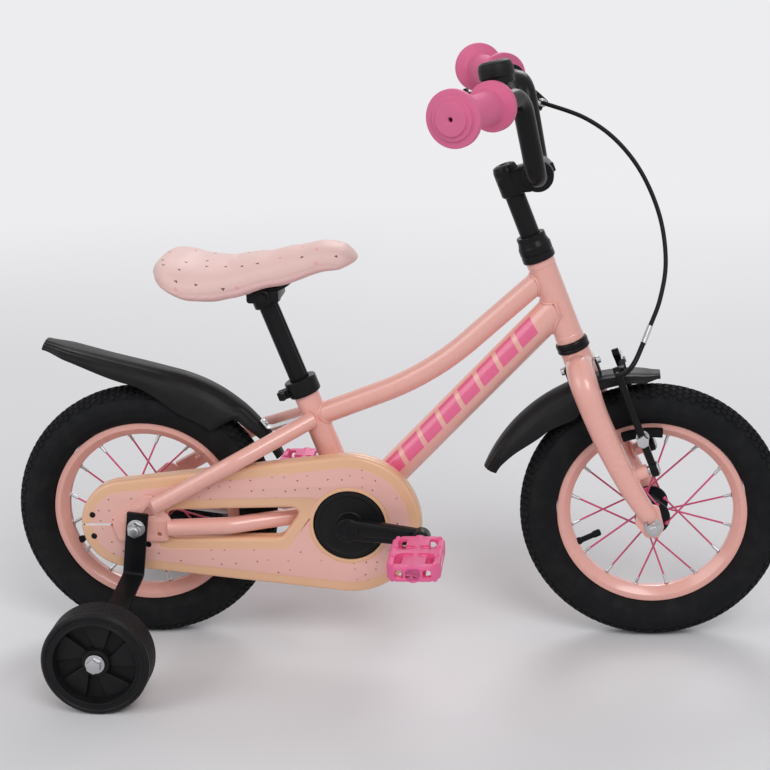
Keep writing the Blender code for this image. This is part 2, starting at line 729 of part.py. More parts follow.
def dropout(side):
    """The plate behind the nut, with its window under the seat stay."""
    edge = rounded([(-0.029, 0.004), (-0.022, -0.018), (0.034, -0.018), (0.0395, 0.006),
                    (0.018, 0.037), (0.010, 0.037)], 0.004)
    window = rounded([(0.0045, 0.012), (0.0215, 0.012), (0.0135, 0.0255)], 0.002)
    bolt_hole = circle((0.0245, -0.0095), 0.0025, 8)
    axle_hole = circle((0, 0), AXLE_RADIUS + FIT, 12)
    middle = DROPOUT_INNER + DROPOUT_THICKNESS / 2
    place = Matrix.Translation(REAR_AXLE + SIDE * side * middle) @ SIDE_VIEW
    obj = plate(f"dropout_{side_name(side)}", [edge, window, bolt_hole, axle_hole],
                DROPOUT_THICKNESS, place)
    return finish(obj, FRAME_PINK)


def plate_slot(name, side, front):
    """Room for the dropout in a stay that laps over it."""
    size = (0.2, DROPOUT_THICKNESS + 2 * FIT, 0.2)
    middle = DROPOUT_INNER + DROPOUT_THICKNESS / 2
    centre = Vector((front - size[0] / 2, side * middle, TYRE_RADIUS))
    return block(name, size, Matrix.Translation(centre), cutter=True)


def chainstay_path(side):
    """From the dropout it passes the tyre, then turns in ahead of it to the shell."""
    z = TYRE_RADIUS - 0.002
    middle = DROPOUT_INNER + DROPOUT_THICKNESS / 2
    corners = [ahead(0.035, z, side * middle),
               ahead(TYRE_RADIUS - CHAINSTAY_BEND_BEHIND, z, side * CHAINSTAY_BEND_OUT),
               ahead(TYRE_RADIUS + CHAINSTAY_TURN_AHEAD, z + 0.001, side * 0.0175),
               BOTTOM_BRACKET + Vector((-0.004, side * 0.0145, 0))]
    return filleted(corners, 0.060, 4)


def chainstay(side):
    stay = tube(f"chainstay_{side_name(side)}", chainstay_path(side), STAY_RADIUS, 12)
    cut(stay, SHELL_CUTTER, plate_slot(f"chainstay_slot_{side_name(side)}", side, REAR_X + 0.0398))
    return finish(stay, FRAME_PINK)


def seat_stay(side):
    """Outside the chaincase as far as its top edge, then in to the side of the seat tube."""
    out = CASE_OUTER + STAY_RADIUS + 0.0012
    join_at = seat(TOP_TUBE_ON_SEAT + 0.002)
    corners = [ahead(SEATSTAY_FOOT_AHEAD, TYRE_RADIUS + SEATSTAY_FOOT_UP, side * out),
               ahead(SEATSTAY_BEND_AHEAD, TYRE_RADIUS + SEATSTAY_BEND_UP, side * out),
               join_at + Vector((0.001, side * 0.0165, 0))]
    stay = tube(f"seatstay_{side_name(side)}", filleted(corners, 0.045, 4), STAY_RADIUS, 12)
    slot = block(f"seatstay_flat_{side_name(side)}", (0.2, 0.02, 0.12), Matrix.Translation(
        Vector((REAR_X + 0.045 - 0.1, side * (DROPOUT_OUTER + FIT - 0.01), 0.19))), cutter=True)
    cut(stay, SEAT_CUTTER, slot)
    return finish(stay, FRAME_PINK)


def seat_clamp():
    """A band round the top of the seat tube, with its ear and bolt behind."""
    top = SEAT_TUBE_LENGTH
    outer, inner, post = SEAT_CLAMP_RADIUS, SEAT_TUBE_RADIUS + FIT, SEAT_POST_RADIUS + FIT
    profile = [(post, top + SEAT_CLAMP_LIP), (outer, top + SEAT_CLAMP_LIP), (outer, top - SEAT_CLAMP_HEIGHT),
               (inner, top - SEAT_CLAMP_HEIGHT), (inner, top + FIT), (post, top + FIT)]
    band = turned("seat_clamp", profile, facing(seat(0), SEAT_UP), 16)
    middle = top - SEAT_CLAMP_HEIGHT / 2
    ear_length = SEAT_CLAMP_EAR
    ear_place = frame(seat(middle, -(SEAT_TUBE_RADIUS + 0.002 + ear_length / 2)), SEAT_AHEAD, SIDE)
    ear = block("seat_clamp_ear", (ear_length, 0.014, 0.010), ear_place)
    bolt_at = seat(middle, -(SEAT_CLAMP_RADIUS + ear_length - 0.009))
    bolt = rod("seat_clamp_bolt", bolt_at - SIDE * 0.011, bolt_at + SIDE * 0.010, 0.0025, sides=10)
    head = rod("seat_clamp_bolt_head", bolt_at - SIDE * 0.012, bolt_at - SIDE * 0.0065, 0.0045, sides=12)
    nut = rod("seat_clamp_nut", bolt_at + SIDE * 0.0065, bolt_at + SIDE * 0.011, 0.0045, sides=6)
    return finish(join(band, ear, bolt, head, nut), BLACK_PAINT)


def headset():
    """The two cups, each with a spigot in the head tube and a seat close to the steerer."""
    steerer = STEERER_RADIUS + RUNNING
    spigot = HEAD_TUBE_BORE_RADIUS - FIT
    base = HEAD_TUBE_BASE
    low = base - FIT - LOWER_CUP_HEIGHT
    profile = [(steerer, base + CUP_SPIGOT), (spigot, base + CUP_SPIGOT), (spigot, base - FIT),
               (CUP_RADIUS, base - FIT), (CUP_RADIUS, low), (steerer, low)]
    lower = turned("headset_lower", profile, facing(steer(0), STEER_UP), 16)
    top = HEAD_TUBE_TOP
    cap = top + UPPER_CUP_HEIGHT
    quill = QUILL_RADIUS + FIT
    profile = [(quill, cap), (UPPER_CUP_TOP_RADIUS, cap),
               (UPPER_CUP_TOP_RADIUS, cap - 0.007), (CUP_RADIUS, cap - 0.012), (CUP_RADIUS, top + FIT),
               (spigot, top + FIT), (spigot, top - CUP_SPIGOT), (steerer, top - CUP_SPIGOT),
               (steerer, STEERER_TOP + FIT), (quill, STEERER_TOP + FIT)]
    upper = turned("headset_upper", profile, facing(steer(0), STEER_UP), 16)
    return finish(lower, BLACK_PAINT), finish(upper, BLACK_PAINT)


def case_outlines(inset):
    """The chaincase's edge and its window, moved into the wall by inset, about the rear axle."""
    edge = belt((CASE_REAR_SHIFT, 0), CASE_REAR_RADIUS - inset,
                (BOTTOM_BRACKET_AHEAD, BOTTOM_BRACKET_RISE), CASE_FRONT_RADIUS - inset, 12)
    corners = [(WINDOW_REAR, -WINDOW_BELOW), (WINDOW_LOW_FRONT, -WINDOW_BELOW),
               (WINDOW_HIGH_FRONT, WINDOW_ABOVE + 0.004), (WINDOW_REAR, WINDOW_ABOVE)]
    return edge, rounded(offset(corners, inset), WINDOW_CORNER)


def chaincase_half(name, outer_face, inner_face, floor_is_outer, extra_cutters, holes):
    """One tray of the chaincase: a face with a wall round the edge and round the window."""
    width = outer_face - inner_face
    middle = -(outer_face + inner_face) / 2
    place = Matrix.Translation(REAR_AXLE + SIDE * middle) @ SIDE_VIEW
    tray = plate(name, case_outlines(0), width, place)
    edge, window = case_outlines(CASE_WALL)
    shift = CASE_WALL if floor_is_outer else -CASE_WALL
    hollow_place = Matrix.Translation(REAR_AXLE + SIDE * (middle + shift)) @ SIDE_VIEW
    cut(tray, plate(f"{name}_hollow", [edge, window], width, hollow_place, cutter=True))
    for i, (centre, radius) in enumerate(holes):
        cut(tray, rod(f"{name}_hole_{i}", centre - SIDE * 0.08, centre, radius, sides=24, cutter=True))
    cut(tray, *extra_cutters)
    return finish(tray, CASE_PINK)


def chaincase():
    middle = (CASE_INNER + CASE_OUTER) / 2
    slot_front = 0.008
    slot_rear = CASE_REAR_SHIFT - CASE_REAR_RADIUS - 0.01
    slot_size = (slot_front - slot_rear, 0.06, 2 * AXLE_RADIUS + 0.002)
    slot = block("axle_slot", slot_size, Matrix.Translation(
        ahead((slot_front + slot_rear) / 2, TYRE_RADIUS, -CASE_OUTER)), cutter=True)
    hub_slot = block("hub_slot", (slot_front - slot_rear, 0.06, 0.034), Matrix.Translation(
        ahead((slot_front + slot_rear) / 2, TYRE_RADIUS, -(middle - 0.031))), cutter=True)
    sprocket_hole = SPROCKET_PITCH_RADIUS + 0.006
    cover = chaincase_half("chaincase_cover", CASE_OUTER, middle + FIT / 2, True, [slot],
                           [(BOTTOM_BRACKET, DISC_RADIUS + 0.0015)])
    back = chaincase_half("chaincase_back", middle - FIT / 2, CASE_INNER, False, [hub_slot],
                          [(BOTTOM_BRACKET, SHELL_RADIUS + FIT), (REAR_AXLE, sprocket_hole)])
    return cover, back


def cog_outline(teeth, tip_radius, root_radius):
    outline = []
    for i in range(teeth):
        for fraction, radius in ((0.0, root_radius), (0.5, tip_radius)):
            angle = 2 * pi * (i + fraction) / teeth
            outline.append((radius * cos(angle), radius * sin(angle)))
    return outline


def cog(name, axle, teeth, pitch_radius, bore):
    tip = pitch_radius - CHAIN_HALF_HEIGHT - RUNNING
    outlines = [cog_outline(teeth, tip, tip - TOOTH_DEPTH), circle((0, 0), bore, HUB_STEPS)]
    place = Matrix.Translation(axle - SIDE * CHAIN_LINE) @ SIDE_VIEW
    return plate(name, outlines, COG_THICKNESS, place)


def chain():
    """The closed run of chain, as a band of even width round both cogs."""
    half = CHAIN_HALF_HEIGHT
    front = (BOTTOM_BRACKET_AHEAD, BOTTOM_BRACKET_RISE)
    loops = [belt((0, 0), SPROCKET_PITCH_RADIUS + grow, front, CHAINRING_PITCH_RADIUS + grow, 14)
             for grow in (half, -half)]
    place = Matrix.Translation(REAR_AXLE - SIDE * CHAIN_LINE) @ SIDE_VIEW
    return finish(plate("chain", loops, CHAIN_WIDTH, place), STEEL)


def chainring():
    """The front cog and the black disc that fills the hole in the cover."""
    bore = SPINDLE_RADIUS + FIT
    obj = cog("chainring", BOTTOM_BRACKET, CHAINRING_TEETH, CHAINRING_PITCH_RADIUS, bore)
    back = SHELL_HALF_WIDTH + 0.001
    face = CASE_OUTER
    disc = DISC_RADIUS
    profile = [(bore, face), (disc, face), (disc, face - 0.004), (0.014, back), (bore, back)]
    place = Matrix.Translation(BOTTOM_BRACKET) @ Matrix.Rotation(pi / 2, 4, "X")
    join(obj, turned("chainring_disc", profile, place, 24))
    return finish(obj, BLACK_PAINT)


def rear_sprocket():
    """The driver and its cog, turning on the axle beside the hub."""
    bore = AXLE_RADIUS + RUNNING
    obj = cog("rear_sprocket", REAR_AXLE, SPROCKET_TEETH, SPROCKET_PITCH_RADIUS, bore + 0.004)
    inner = REAR_HUB_HALF + 0.0005
    outer = CHAIN_LINE + 0.003
    profile = [(bore, outer), (0.014, outer), (0.014, inner), (bore, inner)]
    place = Matrix.Translation(REAR_AXLE) @ Matrix.Rotation(pi / 2, 4, "X")
    join(obj, turned("driver", profile, place, HUB_STEPS))
    return finish(obj, STEEL)


def coaster_arm():
    """The brake arm from the hub to its strap round the left chainstay."""
    inner = REAR_HUB_HALF + 0.006
    outer = inner + COASTER_ARM_THICKNESS
    path = chainstay_path(1)
    strap_at = next(a.lerp(b, (REAR_X + COASTER_STRAP_AHEAD - a.x) / (b.x - a.x))
                    for a, b in zip(path, path[1:]) if b.x >= REAR_X + COASTER_STRAP_AHEAD)
    drop = strap_at.z - TYRE_RADIUS - STAY_RADIUS - 0.0045
    outline = belt((0, 0), 0.011, (COASTER_STRAP_AHEAD, drop), 0.006, 8)
    place = Matrix.Translation(REAR_AXLE + SIDE * (inner + outer) / 2) @ SIDE_VIEW
    arm = plate("coaster_arm", [outline, circle((0, 0), AXLE_RADIUS + FIT, 12)], outer - inner, place)
    direction = (path[1] - path[0]).normalized()
    half = 0.006
    inside, outside = STAY_RADIUS + FIT, STAY_RADIUS + 0.0027
    profile = [(inside, half), (outside, half), (outside, -half), (inside, -half)]
    join(arm, turned("coaster_strap", profile, facing(strap_at, direction), HUB_STEPS))
    cut(arm, tube("coaster_stay_cutter", path, STAY_RADIUS + 2 * FIT, 16, cutter=True))
    return finish(arm, STEEL)


def crank(side, heading):
    """An arm from the spindle to its pedal axle: heading is 1 forward and -1 backward."""
    label = side_name(side)
    eye = BOTTOM_BRACKET + Vector((heading * CRANK_LENGTH, 0, 0))
    boss_end = CRANK_INNER + CRANK_BOSS_LENGTH
    lean = atan2(CRANK_EYE_OUT - (CRANK_INNER + CRANK_BOSS_LENGTH / 2), CRANK_LENGTH)
    arm_length = hypot(CRANK_LENGTH, CRANK_EYE_OUT - (CRANK_INNER + CRANK_BOSS_LENGTH / 2))
    start = BOTTOM_BRACKET + SIDE * side * (CRANK_INNER + CRANK_BOSS_LENGTH / 2)
    direction = Vector((heading * cos(lean), side * sin(lean), 0))
    place = frame(start, direction, Vector((0, 0, 1)))
    outline = belt((0, 0), CRANK_BOSS_RADIUS - 0.001, (arm_length, 0), CRANK_EYE_RADIUS - 0.001, 6)
    arm = plate(f"crank_{label}", [outline], CRANK_ARM_THICKNESS, place)
    boss = rod(f"crank_boss_{label}", BOTTOM_BRACKET + SIDE * side * (CRANK_INNER - 0.003),
               BOTTOM_BRACKET + SIDE * side * boss_end, CRANK_BOSS_RADIUS, sides=16)
    knob = rod(f"crank_eye_{label}", eye + SIDE * side * (CRANK_EYE_OUT - 0.006),
               eye + SIDE * side * (PEDAL_INNER - 0.005), CRANK_EYE_RADIUS, sides=14)
    collar = rod(f"pedal_collar_{label}", eye + SIDE * side * (PEDAL_INNER - 0.006),
                 eye + SIDE * side * (PEDAL_INNER - RUNNING), PEDAL_AXLE_RADIUS + 0.002, sides=12)
    axle = rod(f"pedal_axle_{label}", eye + SIDE * side * (PEDAL_INNER - 0.010),
               eye + SIDE * side * (PEDAL_INNER + PEDAL_WIDTH - 0.012), PEDAL_AXLE_RADIUS, sides=12)
    join(arm, boss, knob, collar, axle)
    reach = CRANK_INNER + CRANK_BORE_DEPTH
    cut(arm, rod(f"crank_bore_{label}", BOTTOM_BRACKET, BOTTOM_BRACKET + SIDE * side * (reach + FIT),
                 SPINDLE_RADIUS + FIT, sides=16, cutter=True))
    cut(arm, block(f"crank_face_{label}", (0.3, 0.02, 0.1), Matrix.Translation(
        BOTTOM_BRACKET + SIDE * side * (CRANK_INNER - 0.01)), cutter=True))
    return finish(arm, BLACK_PAINT)


def spindle():
    reach = CRANK_INNER + CRANK_BORE_DEPTH
    obj = rod("crank_spindle", BOTTOM_BRACKET - SIDE * reach, BOTTOM_BRACKET + SIDE * reach,
              SPINDLE_RADIUS, sides=16)
    return finish(obj, STEEL)


def pedal(side, heading):
    """A cage with a barrel on the axle, a toothed front and rear bar and a slot each side."""
    label = side_name(side)
    half_length, half_width = PEDAL_LENGTH / 2, PEDAL_WIDTH / 2
    bar = PEDAL_FRAME
    barrel = PEDAL_BARREL_RADIUS
    centre = BOTTOM_BRACKET + Vector((heading * CRANK_LENGTH, side * (PEDAL_INNER + half_width), 0))
    chamfer = 0.010
    edge = [(-half_length + chamfer, -half_width), (half_length - chamfer, -half_width),
            (half_length, -half_width + chamfer), (half_length, half_width - chamfer),
            (half_length - chamfer, half_width), (-half_length + chamfer, half_width),
            (-half_length, half_width - chamfer), (-half_length, -half_width + chamfer)]
    slots = []
    for way in (-1, 1):
        near, far = way * (barrel - 0.001), way * (half_length - bar)
        middle = (near + far) / 2
        width = abs(far - near)
        slots.append([(middle - width / 2, -half_width + bar), (middle + width / 2, -half_width + bar),
                      (middle + width / 2, half_width - bar), (middle - width / 2, half_width - bar)])
    body = plate(f"pedal_{label}", [edge, *slots], PEDAL_HEIGHT, Matrix.Translation(centre))
    core = rod(f"pedal_barrel_{label}", centre - SIDE * half_width, centre + SIDE * half_width,
               barrel, sides=12)
    join(body, core)
    inner = centre - SIDE * side * (half_width + 0.01)
    outer = centre + SIDE * side * (half_width - 0.010)
    cut(body, rod(f"pedal_bore_{label}", inner, outer, PEDAL_AXLE_RADIUS + RUNNING,
                  sides=12, cutter=True))
    notches = bmesh.new()
    for way in (-1, 1):
        for k in range(PEDAL_NOTCHES):
            for level in (-1, 1):
                spread = (k - (PEDAL_NOTCHES - 1) / 2) * half_width * 0.45
                at = Vector((way * half_length, spread, level * PEDAL_HEIGHT / 2))
                size = Matrix.Diagonal((bar * 1.6, half_width * 0.20, 0.007, 1))
                bmesh.ops.create_cube(notches, size=1, matrix=Matrix.Translation(at) @ size)
    cut(body, from_bmesh(f"pedal_notches_{label}", notches, Matrix.Translation(centre), cutter=True))
    return finish(body, PEDAL_PINK)


def fork():
    """One blade path up over the crown, the steerer, the dropouts and the brake bosses."""
    crown = CROWN_UP
    half_path = [
        (0.013, 0.0155, FORK_TIP_OUT, FORK_TIP_RADIUS),
        (0.036, 0.0100, FORK_TIP_OUT - 0.0005, FORK_TIP_RADIUS + 0.0010),
        (0.060, 0.0060, FORK_LEG_OUT + 0.0010, FORK_TIP_RADIUS + 0.0022),
        (0.100, 0.0020, FORK_LEG_OUT, FORK_TIP_RADIUS + 0.0035),
        (crown - 0.052, 0.0, FORK_LEG_OUT, CROWN_LEG_RADIUS - 0.0012),
        (crown - 0.028, 0.0, FORK_LEG_OUT - 0.0008, CROWN_LEG_RADIUS - 0.0005),
        (crown - 0.013, 0.0, FORK_LEG_OUT - 0.0065, CROWN_LEG_RADIUS),
        (crown - 0.003, 0.0, FORK_LEG_OUT - 0.0190, CROWN_LEG_RADIUS),
        (crown, 0.0, 0.012, CROWN_LEG_RADIUS),
    ]
    right = [(steer(up, on, -out), radius) for up, on, out, radius in half_path]
    left = [(steer(up, on, out), radius) for up, on, out, radius in reversed(half_path)]
    path = right + left
    body = tube("fork", [point for point, _ in path], CROWN_LEG_RADIUS, 12,
                [radius for _, radius in path])
    steerer = rod("steerer", steer(crown), steer(STEERER_TOP), STEERER_RADIUS, sides=16)
    collar = rod("crown_collar", steer(crown), steer(CROWN_TOP), CROWN_LEG_RADIUS + 0.001, sides=16)
    join(body, collar, steerer)
    for side in (-1, 1):
        label = side_name(side)
        middle = side * (FORK_DROPOUT_INNER + FORK_DROPOUT_THICKNESS / 2)
        place = frame(FRONT_AXLE + SIDE * middle, Vector((1, 0, 0)), Vector((0, 0, 1)))
        edge = rounded([(-0.021, 0.004), (-0.008, -0.014), (0.006, -0.014), (0.012, -0.002),
                        (0.006, 0.024), (-0.014, 0.026)], 0.004)
        join(body, plate(f"fork_dropout_{label}", [edge], FORK_DROPOUT_THICKNESS, place))
        root = steer(BRAKE_BOSS_UP, 0.006, side * BRAKE_BOSS_OUT)
        tip = steer(BRAKE_BOSS_UP, BRAKE_BOSS_AHEAD + 0.0068, side * BRAKE_BOSS_OUT)
        shoulder = steer(BRAKE_BOSS_UP, BRAKE_BOSS_AHEAD - BRAKE_ARM_THICKNESS / 2 - 0.0025,
                         side * BRAKE_BOSS_OUT)
        head = steer(BRAKE_BOSS_UP, BRAKE_BOSS_AHEAD + BRAKE_ARM_THICKNESS / 2 + RUNNING,
                     side * BRAKE_BOSS_OUT)
        join(body, rod(f"brake_boss_{label}", root, tip, BRAKE_BOSS_RADIUS, sides=10))
        join(body, rod(f"brake_boss_root_{label}", root, shoulder, BRAKE_BOSS_RADIUS + 0.0030, sides=10))
        join(body, rod(f"brake_boss_bolt_{label}", head, tip, 0.0075, sides=10))
    cut(body, rod("steerer_bore", steer(CROWN_TOP + 0.006), steer(STEERER_TOP + 0.01),
                  STEERER_BORE_RADIUS, sides=16, cutter=True))
    for side in (-1, 1):
        cut(body, rod(f"fork_axle_hole_{side_name(side)}", FRONT_AXLE + SIDE * side * 0.03,
                      FRONT_AXLE + SIDE * side * 0.07, AXLE_RADIUS + FIT, sides=10, cutter=True))
        inside = side * (FORK_DROPOUT_INNER - 0.010)
        cut(body, block(f"fork_cone_space_{side_name(side)}", (0.022, 0.020, 0.022), Matrix.Translation(
            FRONT_AXLE + SIDE * inside), cutter=True))
    return finish(body, FRAME_PINK)


def stem():
    clamp_at = steer(BAR_UP, BAR_AHEAD)
    barrel_base = BAR_UP - 0.013
    quill = rod("stem", steer(HEAD_TUBE_TOP + UPPER_CUP_HEIGHT - QUILL_INSERTION),
                steer(barrel_base + 0.005), QUILL_RADIUS, sides=16)
    barrel = rod("stem_barrel", steer(barrel_base), steer(STEM_BARREL_TOP), STEM_BARREL_RADIUS, sides=16)
    clamp = rod("stem_clamp", clamp_at - SIDE * STEM_CLAMP_HALF, clamp_at + SIDE * STEM_CLAMP_HALF,
                STEM_CLAMP_RADIUS, sides=20)
    place = frame(steer(BAR_UP), STEER_AHEAD, STEER_UP)
    outline = belt((0, 0.004), 0.0125, (BAR_AHEAD, 0), STEM_CLAMP_RADIUS - 0.001, 8)
    arm = plate("stem_arm", [outline], STEM_ARM_WIDTH, place)
    join(quill, barrel, clamp, arm)
    cut(quill, rod("stem_bore", clamp_at - SIDE * 0.05, clamp_at + SIDE * 0.05,
                   BAR_RADIUS + FIT, sides=20, cutter=True))
    return finish(quill, BLACK_PAINT)


def grip_direction(side):
    return Vector((-sin(BAR_SWEEP), side * cos(BAR_SWEEP), tan(BAR_UPSWEEP))).normalized()


def bar_bend(side):
    """The corner where the riser meets the straight that holds the grip."""
    centre = steer(BAR_UP, BAR_AHEAD)
    return centre + Vector((-BAR_SETBACK, side * BAR_BEND_OUT, BAR_RISE))


def on_bar(side, out):
    """A point on the straight of the handlebar, at a distance out from the middle plane."""
    direction = grip_direction(side)
    bend = bar_bend(side)
    return bend + direction * ((out - BAR_BEND_OUT) / abs(direction.y))


def handlebar():
    centre = steer(BAR_UP, BAR_AHEAD)
    tips = []
    for side in (-1, 1):
        direction = grip_direction(side)
        tips.append(on_bar(side, GRIP_INNER) + direction * (GRIP_LENGTH - GRIP_END_WALL - FIT))
    # A bend of about 76 degrees takes this much straight before its corner.
    half_centre = STEM_CLAMP_HALF + BAR_SPARE + BAR_BEND_RADIUS * tan(radians(38))
    corners = [tips[0], bar_bend(-1), centre - SIDE * half_centre,
               centre + SIDE * half_centre, bar_bend(1), tips[1]]
    path = filleted(corners, BAR_BEND_RADIUS, 3)
    return finish(tube("handlebar", path, BAR_RADIUS, 12), BLACK_PAINT)


def grip(side):
    bore = BAR_RADIUS + FIT
    length = GRIP_LENGTH
    waist = GRIP_RADIUS
    outer = GRIP_OUTER_FLANGE
    profile = [(0.0025, length), (0.0205, length), (0.0205, length - 0.0025), (outer, length - 0.0035),
               (outer, length - 0.0075), (0.0200, length - 0.0115), (waist, length - 0.028),
               (waist, 0.026), (0.0200, 0.0095), (GRIP_INNER_FLANGE, 0.0050),
               (GRIP_INNER_FLANGE, 0.0), (bore, 0.0), (bore, length - GRIP_END_WALL),
               (0.0025, length - GRIP_END_WALL)]
    place = facing(on_bar(side, GRIP_INNER), grip_direction(side))
    return finish(turned(f"grip_{side_name(side)}", profile, place, 16), GRIP_PINK)


def lever_frame():
    """The front brake lever's pivot: local X along the bar, Y forward and down from it."""
    direction = grip_direction(1)
    down = Vector((cos(LEVER_DROP_ANGLE), 0, -sin(LEVER_DROP_ANGLE)))
    down = (down - direction * down.dot(direction)).normalized()
    return frame(on_bar(1, LEVER_CLAMP_OUT), direction, down)


def brake_lever_bracket():
    place = lever_frame()
    direction = grip_direction(1)
    clamp_at = on_bar(1, LEVER_CLAMP_OUT)
    clamp = rod("brake_lever_bracket", clamp_at - direction * 0.0055, clamp_at + direction * 0.0055,
                BAR_RADIUS + 0.0045, sides=16)
    reach = LEVER_PIVOT_AHEAD
    outline = [(-0.0055, 0.006), (0.0055, 0.006), (0.008, reach - 0.010), (0.008, reach + 0.004),
               (0.005, reach + 0.007), (-0.015, reach + 0.007), (-0.018, reach + 0.004),
               (-0.018, reach - 0.010)]
    ears = [plate(f"lever_ear_{i}", [outline], 0.003, place @ Matrix.Translation((0, 0, level)))
            for i, level in enumerate((-0.0055, 0.0055))]
    web = block("lever_web", (0.009, reach - 0.020, 0.012),
                place @ Matrix.Translation((-0.001, (reach - 0.016) / 2 + 0.006, 0)))
    start = place @ Vector((-0.0165, reach - 0.002, 0))
    end = place @ Vector((-0.0300, reach - 0.002, 0))
    cap = block("lever_cap", (0.003, 0.014, 0.012), place @ Matrix.Translation((-0.0172, reach - 0.002, 0)))
    barrel = rod("lever_barrel", start, end, 0.0045, sides=10)
    pin = rod("lever_pin", place @ Vector((0, reach, -0.008)), place @ Vector((0, reach, 0.008)),
              0.0025, sides=10)
    join(clamp, *ears, web, cap, barrel, pin)
    cut(clamp, rod("lever_bore", clamp_at - direction * 0.02, clamp_at + direction * 0.02,
                   BAR_RADIUS + FIT, sides=16, cutter=True))
    cut(clamp, rod("lever_barrel_bore", place @ Vector((-0.0250, reach - 0.002, 0)),
                   place @ Vector((-0.035, reach - 0.002, 0)), CABLE_RADIUS + FIT, sides=8, cutter=True))
    return finish(clamp, BLACK_PAINT)


def brake_lever():
    """The blade: an eye on the pin between the ears, then a finger curve along the grip."""
    place = lever_frame()
    reach = LEVER_PIVOT_AHEAD
    blade = LEVER_BLADE_LENGTH
    route = [(-0.001, reach), (0.014, reach + 0.001), (0.030, reach - 0.004), (blade * 0.55, reach - 0.006),
             (blade * 0.8, reach - 0.003), (blade, reach + 0.003)]
    outline = strip(route, 0.009)
    body = plate("brake_lever", [outline], 0.0065, place)
    eye = rod("lever_eye", place @ Vector((0, reach, -0.00345)), place @ Vector((0, reach, 0.00345)),
              0.0060, sides=14)
    tip = rod("lever_tip", place @ Vector((blade, reach + 0.003, -0.0045)),
              place @ Vector((blade, reach + 0.003, 0.0045)), 0.0062, sides=12)
    join(body, eye, tip)
    cut(body, rod("lever_eye_bore", place @ Vector((0, reach, -0.02)), place @ Vector((0, reach, 0.02)),
                  0.0025 + FIT, sides=10, cutter=True))
    return finish(body, BLACK_PAINT)


def brake_arm(side):
    """A cantilever arm on its boss, with the pad that faces the rim."""
    label = side_name(side)
    up, on, out = BRAKE_BOSS_UP, BRAKE_BOSS_AHEAD, BRAKE_BOSS_OUT
    length = BRAKE_ARM_LENGTH
    place = frame(steer(0, on), SIDE, STEER_UP)
    route = [(side * out, up), (side * (out - 0.001), up + 0.030), (side * (out - 0.004), up + 0.072),
             (side * (BRAKE_ARM_TOP_OUT + 0.002), up + length - 0.016),
             (side * BRAKE_ARM_TOP_OUT, up + length)]
    arm = plate(f"brake_arm_{label}", [strip(route, BRAKE_ARM_WIDTH)], BRAKE_ARM_THICKNESS, place)
    half = BRAKE_ARM_THICKNESS / 2
    eye = rod(f"brake_eye_{label}", steer(up, on - half, side * out), steer(up, on + half, side * out),
              0.0090, sides=12)
    top = rod(f"brake_top_{label}", steer(up + length, on - half, side * BRAKE_ARM_TOP_OUT),
              steer(up + length, on + half, side * BRAKE_ARM_TOP_OUT), 0.0060, sides=10)
    track = (RIM_OUTER_RADIUS + RIM_INNER_RADIUS) / 2 - 0.0005
    pad_up = (track ** 2 - (on - FORK_RAKE) ** 2) ** 0.5
    face = RIM_HALF_WIDTH + PAD_GAP
    pad_place = Matrix.Translation(FRONT_AXLE + SIDE * side * (face + PAD_THICKNESS / 2))
    sweep = PAD_LENGTH / track
    middle = pi / 2 + HEAD_ANGLE - asin((on - FORK_RAKE) / track)
    turns = [middle + sweep * (step / 6 - 0.5) for step in range(7)]
    arc = [(track * cos(turn), track * sin(turn)) for turn in turns]
    pad = plate(f"brake_pad_{label}", [strip(arc, PAD_HEIGHT)], PAD_THICKNESS, pad_place @ SIDE_VIEW)
    bolt = rod(f"brake_pad_bolt_{label}", steer(pad_up, on, side * (face + PAD_THICKNESS - 0.001)),
               steer(pad_up, on, side * (out + 0.012)), 0.0040, sides=8)
    nut = rod(f"brake_pad_nut_{label}", steer(pad_up, on, side * (out + 0.003)),
              steer(pad_up, on, side * (out + 0.010)), 0.0070, sides=10)
    join(arm, eye, top, pad, bolt, nut)
    cut(arm, rod(f"brake_bore_{label}", steer(up, on - 0.03, side * out), steer(up, on + 0.03, side * out),
                 BRAKE_BOSS_RADIUS + RUNNING, sides=12, cutter=True))
    if side < 0:
        ahead_of_arm = on + half + 0.0022
        level = up + length
        wire = rod("brake_link_wire", steer(level, ahead_of_arm, -BRAKE_ARM_TOP_OUT - 0.003),
                   steer(level, ahead_of_arm, BRAKE_ARM_TOP_OUT + 0.009), 0.0009, sides=6)
        boot = rod("brake_boot", steer(level, ahead_of_arm, -BRAKE_ARM_TOP_OUT + 0.004),
                   steer(level, ahead_of_arm, -BRAKE_ARM_TOP_OUT + 0.034), 0.0042, 0.0030, sides=10)
        anchor = block("brake_anchor", (0.009, 0.009, 0.006),
                       frame(steer(level, on + half + 0.0016, -BRAKE_ARM_TOP_OUT), SIDE, STEER_UP))
        join(arm, wire, boot, anchor)
    else:
        level = up + length - 0.010
        bolt_out = BRAKE_ARM_TOP_OUT + 0.001
        join(arm, rod("brake_clamp_bolt", steer(level, on, bolt_out),
                      steer(level, on + half + 0.004, bolt_out), 0.0040, sides=8))
    return finish(arm, BLACK_PAINT)


def loop_point(start, end, down, across, bow):
    """A point of the cable's loop: shares of its fall and its width, and of how far it swings ahead."""
    fall = start.lerp(end, down)
    return Vector((fall.x + CABLE_BOW * bow, start.y + (end.y - start.y) * across, fall.z))


